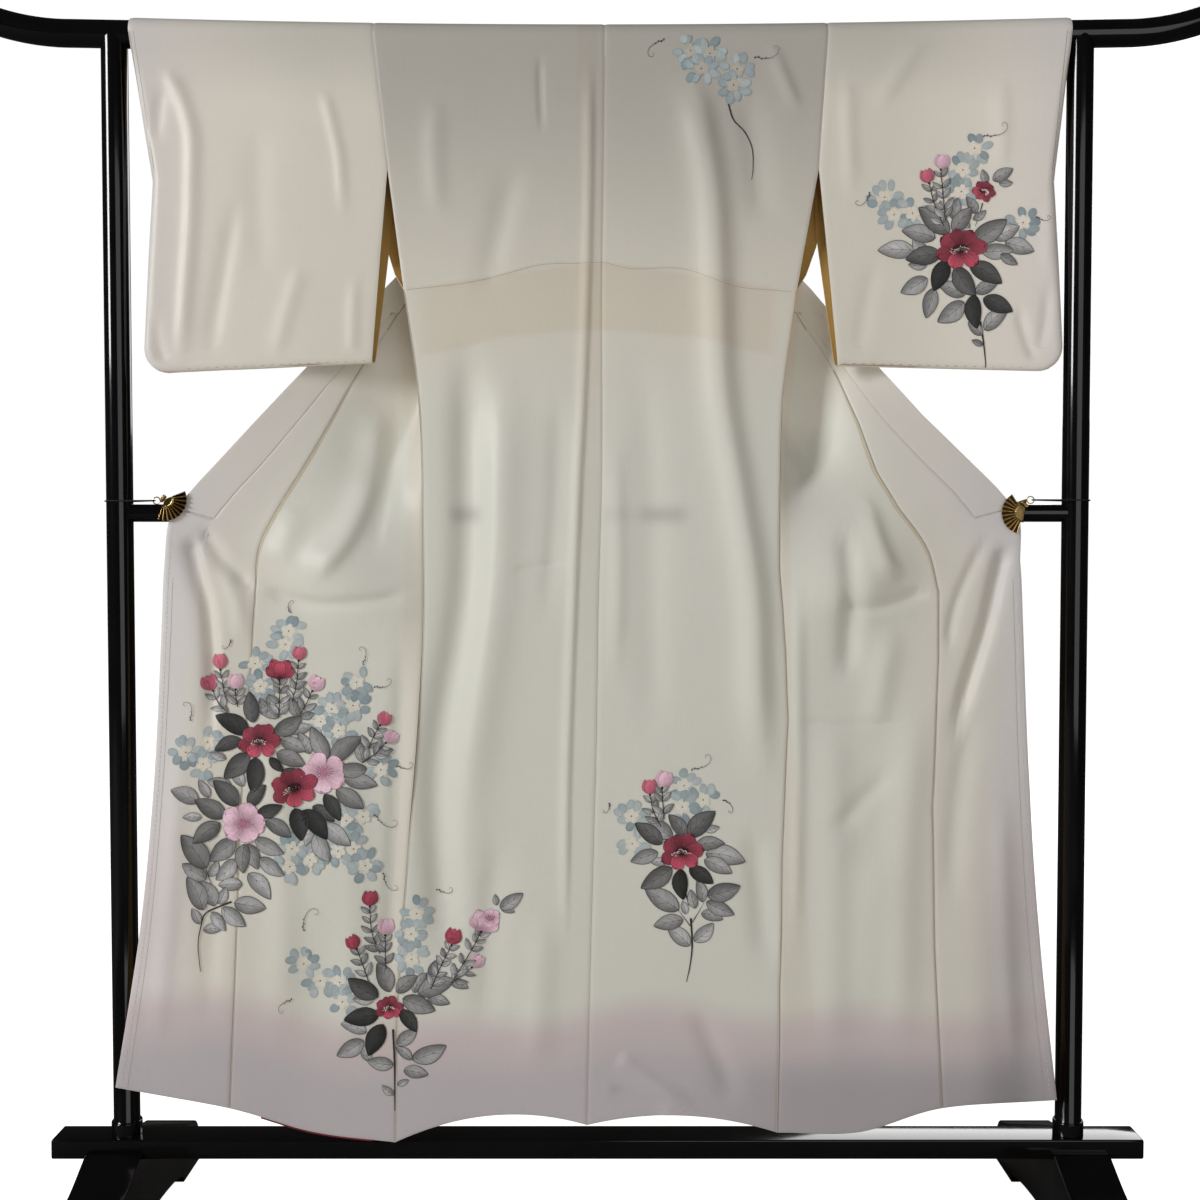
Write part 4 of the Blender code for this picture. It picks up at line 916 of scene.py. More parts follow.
    def back_bands_and_rail_shadow(self, colour: Array, x: Array, high: Array) -> Array:
        """Back: the tuck's doubled band, the centre seam's turn-in and the faint painted shadow of the middle
        rail seen through the silk.
        """
        band = smooth(2.5, -2.5, high - self.along(self.tuck_top, np.abs(x)))
        band = band * smooth(-4.0, 4.0, high - self.along(self.tuck_low, np.abs(x)))
        colour = self.darker(colour, self.tuck_band, band * smooth(262.0, 232.0, np.abs(x)))
        strip = smooth(-34.0, -22.0, x) * smooth(0.5, -0.5, x) * smooth(700.0, 1150.0, high)
        colour = self.darker(colour, self.centre_strip, strip)
        # painted shadow of the middle rail, seen through the silk
        for middle, reach, dark in self.rail_shadows:
            spot = np.exp(-((x - middle) / reach) ** 4 - ((high - self.rail_shadow_high) / 12.0) ** 2)
            colour = self.darker(colour, dark, spot)
        return colour

    def okumi_out(self, cut: KimonoCut, half: Half, high: Array) -> Array:
        """Where the okumi seam lies at a height."""
        drops = np.linspace(500.0, cut.hem_drop, 150)
        seam = cut.front_lines(half, drops)[:, 1]
        return np.interp(high, seam[::-1, 2], seam[::-1, 0])

    def lining(self, high: Array) -> Array:
        """Lining: tan above, wine red over the last hand's breadth of the hem."""
        colour = np.broadcast_to(np.array(self.tan), np.shape(high) + (3,)).copy()
        return self.mix(colour, self.wine, smooth(330.0, 250.0, high))


# ---------------------------------------------------------------------------- shader groups and finishes
class Nodes:
    """Small helper that adds and joins shader nodes in one tree."""

    def __init__(self, tree: bpy.types.NodeTree) -> None:
        """Work in `tree`."""
        self.tree = tree

    def add(self, kind: str, **inputs: object) -> bpy.types.Node:
        """New node; keyword names are its properties, or inputs when written with a leading `in_`."""
        node = self.tree.nodes.new(kind)
        for name, value in inputs.items():
            if name.startswith("in_"):
                self.feed(node.inputs[name[3:].replace("_", " ")], value)
            else:
                setattr(node, name, value)
        return node

    def feed(self, socket: Socket, value: object) -> None:
        """Link a socket from another, or set its value."""
        if isinstance(value, Socket):
            self.tree.links.new(value, socket)
        else:
            socket.default_value = value

    def math(self, operation: str, first: object, second: object = 0.0, clamp: bool = False) -> Socket:
        """Result of a Math node."""
        node = self.tree.nodes.new("ShaderNodeMath")
        node.operation = operation
        node.use_clamp = clamp
        self.feed(node.inputs[0], first)
        self.feed(node.inputs[1], second)
        return node.outputs[0]

    def mix(self, factor: object, first: object, second: object, blend: str = "MIX") -> Socket:
        """Result of a colour Mix node."""
        node = self.tree.nodes.new("ShaderNodeMix")
        node.data_type = "RGBA"
        node.blend_type = blend
        self.feed(node.inputs[0], factor)
        self.feed(node.inputs[6], first)
        self.feed(node.inputs[7], second)
        return node.outputs[2]

    def rise(self, value: object, low: float, high: float) -> Socket:
        """0 at low and 1 at high, from a clamped Map Range node."""
        node = self.tree.nodes.new("ShaderNodeMapRange")
        for index, item in enumerate((value, low, high, 0.0, 1.0)):
            self.feed(node.inputs[index], item)
        return node.outputs[0]


def new_group(name: str, inputs: list[tuple],
              outputs: list[tuple]) -> tuple[bpy.types.NodeTree, Nodes, dict, dict]:
    """Empty shader group with named sockets.

    Args:
        name: group name.
        inputs: (name, socket type, default) rows.
        outputs: (name, socket type) rows.
    Returns:
        The tree, a helper on it, its input sockets by name and its output sockets by name.
    """
    tree = bpy.data.node_groups.new(name, "ShaderNodeTree")
    for label, kind, default in inputs:
        socket = tree.interface.new_socket(label, in_out="INPUT", socket_type=kind)
        socket.default_value = default
    for label, kind in outputs:
        tree.interface.new_socket(label, in_out="OUTPUT", socket_type=kind)
    nodes = Nodes(tree)
    start, end = nodes.add("NodeGroupInput"), nodes.add("NodeGroupOutput")
    return tree, nodes, {s.name: s for s in start.outputs}, {s.name: s for s in end.inputs}


def weave_group() -> bpy.types.NodeTree:
    """Woven cloth: warp and weft threads, slubs along both, and a slow change of tone.

    Height is the larger of two sine bands a thread pitch apart, each broken by noise stretched along its
    threads. Colour is the input times 1 plus slubs and tone.
    """
    tree, n, i, o = new_group("woven silk", [
        ("Colour", "NodeSocketColor", (0.8, 0.8, 0.8, 1.0)), ("Pitch", "NodeSocketFloat", 0.0006),
        ("Slub", "NodeSocketFloat", 0.05), ("Tone", "NodeSocketFloat", 0.04),
        ("Gloss", "NodeSocketFloat", 0.5),
    ], [("Colour", "NodeSocketColor"), ("Height", "NodeSocketFloat"), ("Roughness", "NodeSocketFloat")])
    cloth = n.add("ShaderNodeUVMap", uv_map="cloth").outputs[0]
    split = n.add("ShaderNodeSeparateXYZ", in_Vector=cloth)
    across, along = split.outputs[0], split.outputs[1]
    turns = n.math("DIVIDE", 2 * math.pi, i["Pitch"])
    warp = n.math("SINE", n.math("MULTIPLY", across, turns))
    weft = n.math("SINE", n.math("MULTIPLY", along, turns))
    threads = n.math("MAXIMUM", warp, weft)
    streaks = []
    for sx, sy in ((900.0, 22.0), (26.0, 800.0)):
        stretched = n.add("ShaderNodeCombineXYZ", in_X=n.math("MULTIPLY", across, sx),
                          in_Y=n.math("MULTIPLY", along, sy))
        noise = n.add("ShaderNodeTexNoise", in_Vector=stretched.outputs[0], in_Scale=1.0, in_Detail=2.0)
        streaks.append(n.math("SUBTRACT", noise.outputs["Fac"], 0.5))
    slub = n.math("ADD", n.math("MULTIPLY", streaks[0], 1.2), streaks[1])
    slow = n.add("ShaderNodeTexNoise", in_Vector=cloth, in_Scale=7.0, in_Detail=2.0)
    tone = n.math("SUBTRACT", slow.outputs["Fac"], 0.5)
    shade = n.math("ADD", n.math("MULTIPLY", slub, i["Slub"]), n.math("MULTIPLY", tone, i["Tone"]))
    bright = n.math("ADD", 1.0, shade)
    grey = n.add("ShaderNodeCombineColor", in_Red=bright, in_Green=bright, in_Blue=bright)
    n.feed(o["Colour"], n.mix(1.0, i["Colour"], grey.outputs[0], "MULTIPLY"))
    n.feed(o["Height"], n.math("ADD", n.math("MULTIPLY", threads, 0.35), n.math("MULTIPLY", slub, 1.6)))
    n.feed(o["Roughness"], n.math("SUBTRACT", i["Gloss"], n.math("MULTIPLY", slub, 0.25), clamp=True))
    return tree


def wear_group() -> bpy.types.NodeTree:
    """Handled surface: faint dust and fine specks. Mask and Roughness rise where noise is high."""
    tree, n, i, o = new_group("dust and handling", [
        ("Scale", "NodeSocketFloat", 9.0), ("Dust", "NodeSocketFloat", 0.3),
        ("Gloss", "NodeSocketFloat", 0.1),
    ], [("Mask", "NodeSocketFloat"), ("Roughness", "NodeSocketFloat"), ("Height", "NodeSocketFloat")])
    place = n.add("ShaderNodeTexCoord").outputs["Object"]
    cloud = n.add("ShaderNodeTexNoise", in_Vector=place, in_Scale=i["Scale"], in_Detail=5.0,
                  in_Roughness=0.62)
    specks = n.add("ShaderNodeTexNoise", in_Vector=place, in_Scale=1300.0, in_Detail=1.0)
    speck = n.rise(specks.outputs["Fac"], 0.68, 0.80)
    film = n.rise(cloud.outputs["Fac"], 0.42, 0.75)
    both = n.math("ADD", n.math("MULTIPLY", film, 0.5), n.math("MULTIPLY", speck, 0.5))
    n.feed(o["Mask"], n.math("MULTIPLY", both, i["Dust"]))
    dulled = n.math("MULTIPLY", film, n.math("MULTIPLY", i["Dust"], 0.35))
    n.feed(o["Roughness"], n.math("ADD", i["Gloss"], dulled))
    n.feed(o["Height"], n.math("MULTIPLY", cloud.outputs["Fac"], 1.0))
    return tree


@dataclass
class Finishes:
    """Every material of the object, made once from the shared groups."""

    made: dict = field(default_factory=dict)
    groups: dict = field(default_factory=dict)

    def group(self, nodes: Nodes, name: str) -> bpy.types.Node:
        """Place one of the shared groups, making it at its first use."""
        if name not in self.groups:
            self.groups[name] = {"weave": weave_group, "wear": wear_group}[name]()
        return nodes.add("ShaderNodeGroup", node_tree=self.groups[name])

    def start(self, name: str, **shader: object) -> tuple[Nodes, bpy.types.Node]:
        """New material with the given Principled values, registered under its name."""
        finish = bpy.data.materials.new(name)
        finish.use_nodes = True
        self.made[name] = finish
        principled = finish.node_tree.nodes["Principled BSDF"]
        for label, value in shader.items():
            principled.inputs[label.replace("_", " ")].default_value = value
        return Nodes(finish.node_tree), principled

    def cloth(self, name: str, attribute: str, roughness: float, sheen: float, pitch: float, slub: float,
              tone: float, relief: float) -> bpy.types.Material:
        """Woven finish whose colour comes from a vertex attribute.

        Args:
            name: material name.
            attribute: colour attribute to read.
            roughness: base roughness.
            sheen: strength of the soft glow at grazing angles.
            pitch: thread pitch in metres.
            slub: colour change along threads.
            tone: slow colour change.
            relief: bump height in metres.
        Returns:
            The material.
        """
        n, shader = self.start(name, Sheen_Weight=sheen, Sheen_Roughness=0.35, IOR=1.45,
                               Specular_IOR_Level=0.42)
        dye = n.add("ShaderNodeAttribute", attribute_name=attribute)
        weave = self.group(n, "weave")
        for label, value in (("Colour", dye.outputs["Color"]), ("Pitch", pitch), ("Slub", slub),
                             ("Tone", tone), ("Gloss", roughness)):
            n.feed(weave.inputs[label], value)
        bump = n.add("ShaderNodeBump", in_Strength=0.5, in_Distance=relief,
                     in_Height=weave.outputs["Height"])
        n.feed(shader.inputs["Base Color"], weave.outputs["Colour"])
        n.feed(shader.inputs["Roughness"], weave.outputs["Roughness"])
        n.feed(shader.inputs["Normal"], bump.outputs[0])
        return self.made[name]

    def hard(self, name: str, colour: Colour, dusty: Colour, gloss: float, dust: float, relief: float,
             scale: float = 9.0, metallic: float = 0.0, coat: float = 0.0,
             recess_shade: Colour | None = None) -> bpy.types.Material:
        """Smooth hard finish with dust and handling.

        Args:
            name: material name.
            colour: clean colour.
            dusty: colour of the dust.
            gloss: roughness where clean.
            dust: how much dust there is.
            relief: bump height in metres.
            scale: clouds a metre.
            metallic: 1 for metal.
            coat: clear coat weight.
            recess_shade: colour of painted shade in the hollows that the "recess" attribute marks.
        Returns:
            The material.
        """
        n, shader = self.start(name, Metallic=metallic, Coat_Weight=coat, Coat_Roughness=0.06, IOR=1.5)
        wear = self.group(n, "wear")
        for label, value in (("Scale", scale), ("Dust", dust), ("Gloss", gloss)):
            n.feed(wear.inputs[label], value)
        base = n.mix(wear.outputs["Mask"], (*colour, 1.0), (*dusty, 1.0))
        # painted shade in the hollows that the attribute marks
        if recess_shade:
            hollow = n.add("ShaderNodeAttribute", attribute_name="recess_shade")
            base = n.mix(hollow.outputs["Fac"], base, (*recess_shade, 1.0))
        n.feed(shader.inputs["Base Color"], base)
        n.feed(shader.inputs["Roughness"], wear.outputs["Roughness"])
        bump = n.add("ShaderNodeBump", in_Strength=0.3, in_Distance=relief,
                     in_Height=wear.outputs["Height"])
        n.feed(shader.inputs["Normal"], bump.outputs[0])
        return self.made[name]

    def build(self) -> None:
        """Make all finishes."""
        # name, attribute, roughness, sheen, pitch, slub, tone, relief
        for row in (("silk", "dye", 0.40, 0.15, 0.0006, 0.045, 0.035, 0.00006),
                    ("lining", "dye", 0.62, 0.15, 0.0005, 0.06, 0.05, 0.00005),
                    ("painted silk", "paint", 0.50, 0.18, 0.0006, 0.10, 0.10, 0.00005),
                    ("thread", "paint", 0.58, 0.25, 0.0004, 0.10, 0.05, 0.00008)):
            self.cloth(*row)
        self.hard("black lacquer", (0.0035, 0.0033, 0.004), (0.05, 0.048, 0.046), gloss=0.10, dust=0.06,
                  relief=0.0002, coat=0.3)
        # gilt: its last colour is painted shade in the hollows of the fan's pleats and hub, and on the back
        # plate
        self.hard("gilt", (0.86, 0.60, 0.24), (0.20, 0.11, 0.04), gloss=0.27, dust=0.25, relief=0.00001,
                  scale=160.0, metallic=1.0, recess_shade=(0.055, 0.027, 0.008))
        self.hard("elastic", (0.012, 0.012, 0.013), (0.05, 0.05, 0.05), gloss=0.75, dust=0.4,
                  relief=0.0003, scale=900.0)


# ---------------------------------------------------------------------------- cloth pieces
@dataclass
class Kimono:
    """All the cloth: two body lengths, two okumi, the collar and two sleeves."""

    cut: KimonoCut
    dye: Dye
    finishes: Finishes
    wall: float = 0.0013
    groove: float = 0.9
    groove_reach: float = 2.4
    row_step: float = 4.9

    def rows(self) -> Array:
        """Drops of the rows: even steps, closer over the last 12 mm to the hem."""
        even = self.cut.hem_drop - 12.0
        return np.concatenate([np.linspace(0.0, even, int(even / self.row_step)),
                               self.cut.hem_drop - np.array([8.0, 5.0, 3.0, 1.5, 0.6, 0.0])])

    def pressed(self, grid: Array, flip: bool, top: bool = True, bottom: bool = True,
                share: float = 1.0) -> Array:
        """Roll the edges of a grid inwards: depth groove times exp(-(distance / reach)^2).

        Args:
            grid: points in metres; the edges of its first and last column are always rolled.
            flip: as for the sheet, so that inwards is right.
            top: roll the first row's edge too.
            bottom: roll the last row's edge too.
            share: depth as a share of the usual groove.
        Returns:
            The moved points.
        """
        normal = grid_normals(grid) * (-1.0 if flip else 1.0)
        across, along = (run / MM for run in distances(grid))
        roll = np.zeros(grid.shape[:2])
        for chosen, distance in ((True, across), (True, across[:, -1:] - across),
                                 (top, along), (bottom, along[-1:] - along)):
            if chosen:
                roll = np.maximum(roll, np.exp(-(distance / self.groove_reach) ** 2))
        return grid - normal * (roll * share * self.groove * MM)[..., None]

    def sheet(self, node: str, points: Array, keep: Array | None, flip: bool) -> bpy.types.Object:
        """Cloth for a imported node, with silk outside and lining inside."""
        both = [self.finishes.made["silk"], self.finishes.made["lining"]]
        return Sheet(points, self.wall, keep, flip).build(node + "_silk", both)

    def dress(self, thing: bpy.types.Object, node: str, panels: Panel | list[tuple[Panel, Array]],
              half: Half | None) -> None:
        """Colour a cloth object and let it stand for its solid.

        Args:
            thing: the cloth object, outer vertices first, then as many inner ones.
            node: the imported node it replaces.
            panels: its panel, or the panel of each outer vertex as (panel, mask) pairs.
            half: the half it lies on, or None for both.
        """
        points = np.empty(len(thing.data.vertices) * 3, np.float32)
        thing.data.vertices.foreach_get("co", points)
        points = points.reshape(-1, 3)[:len(points) // 6].astype(float) / MM
        if isinstance(panels, Panel):
            panels = [(panels, np.ones(len(points), bool))]
        colours = np.zeros((len(points), 3))
        for side in Half if half is None else (half,):
            mine = np.ones(len(points), bool) if half else (points[:, 0] * side.sign >= 0)
            for panel, chosen in panels:
                pick = mine & chosen
                if pick.any():
                    colours[pick] = self.dye.ground(panel, self.cut, side, points[pick, 0] * side.sign,
                                                    points[pick, 2])
        inside = self.dye.lining(points[:, 2])
        paint_points(thing, "dye", np.concatenate([colours, inside]))
        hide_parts(node)
        log.info("%s: %d faces", thing.name, len(thing.data.polygons))

    def build_body(self, half: Half) -> None:
        """One length of cloth: back hem, over the rail, front hem, with half of the neck cut out."""
        cut, rows = self.cut, self.rows()
        ends = cut.back_base(half, np.array([0.0, 1.0]), np.zeros(2))[:, 0]
        gap = cut.seam_gap / 2.0 / (ends[0] - ends[1])
        neck = (ends[0] - cut.neck_out) / (ends[0] - ends[1])
        main, beside = edged(48, 0.02), edged(24, 0.03)
        across = np.concatenate([gap + main * (neck - gap), neck + beside[1:] * (1.0 - gap - neck)])
        shape = (len(rows), len(across))
        back = cut.back(half, np.broadcast_to(across, shape), np.broadcast_to(rows[::-1, None], shape))
        top = ends[0] + (ends[1] - ends[0]) * across
        arcs = np.concatenate([np.linspace(-cut.quarter, cut.neck_arc, 14)[1:],
                               np.linspace(cut.neck_arc, cut.quarter, 7)[1:]])
        crest = cut.over_rail(top[None, :], arcs[:, None])
        inner = 1.0 + cut.half_gap(half, rows, 1, 2)[:, None]
        outer = 3.0 - cut.half_gap(half, rows, 2, 3)[:, None]
        front_across = outer + main[None, :] * (inner - outer)
        front = cut.front(half, front_across, np.broadcast_to(rows[:, None], front_across.shape))
        unused = np.repeat(front[:, -1:], len(beside) - 1, axis=1)
        grid = cut.metres(half, np.concatenate([back, crest, np.concatenate([front, unused], axis=1)]))
        keep = np.ones((len(grid) - 1, len(across) - 1), bool)
        neckline = len(back) + int(np.abs(arcs - cut.neck_arc).argmin())
        keep[neckline:, len(main) - 1:] = False
        flip = half is Half.RIGHT
        full = self.pressed(grid, flip)
        start = len(back) + len(crest)
        full[start:, :len(main)] = self.pressed(grid[:, :len(main)], flip)[start:]
        node = f"body_{half.value}"
        thing = self.sheet(node, full, keep, flip)
        used = kept_corners(keep)
        below = np.arange(len(grid)) >= len(back) + len(crest) // 2
        is_front = np.broadcast_to(below[:, None], used.shape)[used]
        self.dress(thing, node, [(Panel.BACK, ~is_front), (Panel.FRONT, is_front)], half)

    def build_okumi(self, half: Half) -> None:
        """The front strip: a point beside the collar, full width below the collar's end."""
        cut, rows = self.cut, self.rows()
        rows = rows[(rows > cut.kensaki + 1.0) & (np.abs(rows - cut.collar_end) > 1.5)]
        rows = np.sort(np.concatenate([[cut.kensaki - 0.97, cut.collar_end], rows]))
        gap = cut.half_gap(half, rows, 0, 1)[:, None]
        start = cut.collar_share(half, rows)[:, None] + gap
        below, beyond = edged(12, 0.06)[None, :-1], edged(24, 0.03)[None, :]
        across = np.concatenate([below * start, start + beyond * (1.0 - gap - start)], axis=1)
        points = cut.front(half, across, np.broadcast_to(rows[:, None], across.shape))
        grid = cut.metres(half, points)
        keep = np.ones((len(rows) - 1, across.shape[1] - 1), bool)
        collar_rows, covered = int(np.searchsorted(rows, cut.collar_end)), below.shape[1]
        keep[:collar_rows, :covered] = False
        flip = half is Half.LEFT
        full = self.pressed(grid, flip, top=False)
        upper = self.pressed(grid[:, covered:], flip, top=False, bottom=False)
        full[:collar_rows, covered:] = upper[:collar_rows]
        node = f"okumi_{half.value}"
        thing = self.sheet(node, full, keep, flip)
        self.dress(thing, node, Panel.FRONT, half)

    def collar_half(self, half: Half) -> Array:
        """Collar points from its end near the clip up to the middle of the neck."""
        cut, rows = self.cut, self.rows()
        rows = rows[(rows < cut.collar_end - 2.0) & (np.abs(rows - cut.kensaki) > 1.5)]
        point = cut.kensaki + np.array([-0.99, -1.01])
        rows = np.sort(np.concatenate([[cut.collar_end - cut.seam_gap], point, rows]))[::-1]
        share = edged(10, 0.06)[None, :]
        across = share * (cut.collar_share(half, rows) - cut.half_gap(half, rows, 0, 1))[:, None]
        arm = cut.front(half, across, np.broadcast_to(rows[:, None], across.shape))
        free_top = cut.quarter + cut.rail_high - arm[-1, 0, 2]
        knots = np.linspace(0.0, 1.0, len(cut.neck_turn))
        steps = np.linspace(0.0, 1.0, 40)
        seam_out, seam_arc, turned = (np.interp(steps, knots, column) for column in zip(*cut.neck_turn))
        free_out = arm[-1, 0, 0] * (1 - turned)
        free_arc = free_top * (1 - turned) + (cut.neck_arc + cut.collar_width) * turned
        neck = cut.over_rail(free_out[:, None] + (seam_out - free_out)[:, None] * share,
                             free_arc[:, None] + (seam_arc - free_arc)[:, None] * share)
        return np.vstack([arm, neck])

    def build_collar(self) -> None:
        """The collar band: up one front edge, round the neck and down the other."""
        left, right = (self.cut.metres(half, self.collar_half(half)) for half in Half)
        grid = self.pressed(np.vstack([left, right[::-1][1:]]), False, share=0.3)
        thing = Sheet(grid, self.wall).build("collar_silk", [self.finishes.made["silk"]])
        self.dress(thing, "collar", Panel.FRONT, None)

    def build_sleeve(self, half: Half) -> None:
        """A flat bag over the rail: open at the body and at the cuff, closed below and under the cuff."""
        cut = self.cut
        inner_low, _, (bottom_in, bottom_out) = cut.sleeves[half]
        levels = np.concatenate([np.linspace(0.0, 0.93, 74)[:-1], 0.93 + 0.07 * packed(26, 0.6)])
        along, level = np.meshgrid(edged(72, 0.008), levels)
        bottom = bottom_in + (bottom_out - bottom_in) * along
        high = cut.rail_high - level * (cut.rail_high - bottom)
        join = cut.side_edge(half, cut.back_slit, np.minimum(cut.rail_high - high, cut.sleeve_join))[..., 0]
        join_high = cut.rail_high - cut.sleeve_join
        lower = np.clip((join_high - high) / (join_high - bottom_in), 0.0, 1.0)
        inner = join + (inner_low - join) * lower + cut.seam_gap
        cuff = cut.cuff_edge(half, high, bottom)
        out = inner + (cuff - inner) * along
        calm = (smooth(0.0, 26.0, cuff - out) * smooth(0.0, 26.0, high - bottom)
                * smooth(0.0, 50.0, cut.rail_high - high))
        relief = cut.relief(Panel.SLEEVE, half, out, high) * calm
        near = np.stack([out, cut.sleeve_depth(half, out, high) - relief, high], axis=-1)
        slipped = (cut.far_wall_in * smooth(join_high, join_high - 90.0, high) * (1.0 - 0.7 * lower ** 2)
                   * (1.0 - along))
        far_depth = cut.sleeve_depth(half, out, high, far=True) + 0.7 * relief
        far = np.stack([out - slipped, far_depth, high], axis=-1)
        crest = cut.over_rail(out[:1], np.linspace(-cut.quarter, cut.quarter, 24)[1:-1, None])
        grid = cut.metres(half, np.vstack([near[::-1], crest, far]))
        flip = half is Half.LEFT
        node = f"sleeve_{half.value}"
        thing = self.sheet(node, self.pressed(grid, flip, top=False, bottom=False), None, flip)
        self.dress(thing, node, Panel.SLEEVE, half)

    def build(self) -> None:
        """Build every cloth piece."""
        for half in Half:
            self.build_body(half)
            self.build_okumi(half)
            self.build_sleeve(half)
        self.build_collar()


# ---------------------------------------------------------------------------- hand painting
class Bloom(Enum):
    """Colours of painted flowers: petal, its edge, its heart, stamens, linear RGB."""

    RED = ((0.30, 0.045, 0.075), (0.10, 0.010, 0.018), (0.050, 0.005, 0.010), (0.92, 0.78, 0.76))
    ROSE = ((0.60, 0.150, 0.225), (0.30, 0.045, 0.075), (0.25, 0.035, 0.06), (0.85, 0.60, 0.60))
    PINK = ((0.76, 0.500, 0.610), (0.56, 0.29, 0.41), (0.50, 0.20, 0.30), (0.34, 0.07, 0.12))


@dataclass(frozen=True)
class Spray:
    """One painted bouquet; every place is (x, high) in mm on the hanging cloth.

    Attributes:
        name: piece name.
        panel: SLEEVE, or None for the body.
        leaves: base x, base high, tip x, tip high, tone in percent from black to pale.
        twigs: kind of bud, then its top, its calyx and the points of its stalk.
        camellias: kind, x, high, radius, turn in degrees.
        florets: centres of the cream flowers among blue petals.
        tendrils: start x and high, end x and high, bow in percent of its length.
        stems: width at the start, then points.
    """

    name: str
    panel: Panel | None
    leaves: tuple = ()
    twigs: tuple = ()
    camellias: tuple = ()
    florets: tuple = ()
    tendrils: tuple = ()
    stems: tuple = ()


@dataclass
class Painter:
    """Lays thin strokes of colour on the cloth: each is a grid of points with a colour at every point."""

    cut: KimonoCut
    finishes: Finishes
    dye: Dye
    ink: Colour = (0.020, 0.019, 0.021)
    blue: Colour = (0.29, 0.37, 0.41)
    pale_blue: Colour = (0.55, 0.61, 0.63)
    leaf_growth: float = 1.12
    # height of a stroke above the cloth's wall middle: lift plus layer_lift times the root of its layer, mm
    lift: float = 0.95
    layer_lift: float = 0.035
    # petals of an open flower: degrees from its axis, reach and width over its radius, brightness
    facing: tuple = tuple((72 * k, 0.97, 0.86, 1.0 + 0.12 * (k % 2)) for k in (0, 2, 4, 1, 3))
    leaning: tuple = ((-38, 0.98, 0.68, 0.95), (42, 0.95, 0.70, 1.10), (2, 0.92, 0.56, 0.75),
                      (-92, 1.02, 0.64, 1.15), (96, 1.00, 0.62, 0.90), (-145, 0.90, 0.62, 1.75),
                      (150, 0.88, 0.64, 1.95))
    # a bud longer than this has opened, mm
    open_size: float = 26.0
    # petals of an opening bud: degrees from its axis, reach over its size, brightness
    opening: tuple = ((50, 0.78, 0.9), (-50, 0.78, 0.95), (24, 0.95, 1.1), (-24, 0.97, 1.2), (0, 0.8, 1.5))
    # petals of a closed bud: lean to the side, reach and width over its size
    closed: tuple = ((0.27, 0.96, 0.46), (-0.27, 0.98, 0.46), (0.0, 0.95, 0.60))

    def __post_init__(self) -> None:
        """Start with no strokes."""
        self.clear(0)

    def clear(self, seed: int) -> None:
        """Forget all strokes and restart the variation from a seed."""
        self.rng = np.random.default_rng(seed)
        self.points, self.colours, self.faces, self.levels = [], [], [], []
        self.count = self.layer = 0

    def vary(self, low: float, high: float) -> float:
        """Next random number between two values."""
        return float(self.rng.uniform(low, high))

    def stroke(self, grid: Array, colour: Array, blotch: float = 0.05) -> None:
        """Add a grid of (x, high) points with its colours and a slight uneven wash.

        Args:
            grid: rows by columns by 2, mm.
            colour: linear RGB, one or one a point.
            blotch: how uneven the wash is.
        """
        rows, columns = grid.shape[:2]
        wash = 1.0 + blotch * self.rng.standard_normal((rows, columns, 1))
        tint = np.clip(np.broadcast_to(np.asarray(colour, float), (rows, columns, 3)) * wash, 0.0, 1.0)
        index = np.arange(rows * columns).reshape(rows, columns) + self.count
        quads = cell_faces(index, np.ones((rows - 1, columns - 1), bool))
        a, b = grid[-1, columns // 2] - grid[0, columns // 2], grid[rows // 2, -1] - grid[rows // 2, 0]
        self.faces.append(quads if a[0] * b[1] - a[1] * b[0] < 0 else quads[:, ::-1])
        self.points.append(grid.reshape(-1, 2))
        self.colours.append(tint.reshape(-1, 3))
        self.levels.append(np.full(rows * columns, self.layer, float))
        self.count += rows * columns
        self.layer += 1

    def ribbon(self, path: Array, width: Array | float, colour: Colour) -> None:
        """Thin line: its path offset by half the width to both sides."""
        step = np.gradient(path, axis=0)
        side = np.stack([-step[:, 1], step[:, 0]], axis=-1)
        side = side / np.maximum(np.linalg.norm(step, axis=1), 1e-9)[:, None]
        half = np.broadcast_to(np.asarray(width, float) / 2, (len(path),))[:, None]
        self.stroke(np.stack([path - side * half, path + side * half], axis=1), colour, 0.0)

    def blade(self, base: Array, tip: Array, width: float, swell: float, blunt: float, bow: float = 0.0,
              notch: float = 0.0, rows: int = 11, columns: int = 6) -> tuple[Array, Array, Array]:
        """Grid of a leaf or petal: half width = width / 2 sin(pi s^swell)^blunt at share s of its length.

        Args:
            base: where it starts.
            tip: where it ends.
            width: full width.
            swell: above 1 the widest place moves to the tip.
            blunt: below 1 the ends are rounder.
            bow: sideways bend as a share of its length.
            notch: depth of the dent in its tip, as a share of its length.
            rows: cells along.
            columns: cells across.
        Returns:
            The points, and s and t (-1 to 1 across) at each.
        """
        along = tip - base
        aside = np.array([-along[1], along[0]])
        s = np.linspace(0.0, 1.0, rows + 1)
        s = (s - 0.5 * np.sin(2 * math.pi * s) / (2 * math.pi))[:, None]
        t = np.linspace(-1.0, 1.0, columns + 1)[None, :]
        half = width / 2 * np.maximum(np.sin(math.pi * s ** swell), 0.0) ** blunt / np.linalg.norm(along)
        reach = s * (1.0 - notch * np.exp(-(t / 0.3) ** 2) * s ** 3)
        grid = base + reach[..., None] * along + (t * half + bow * np.sin(math.pi * s))[..., None] * aside
        return grid, np.broadcast_to(s, grid.shape[:2]), np.broadcast_to(t, grid.shape[:2])

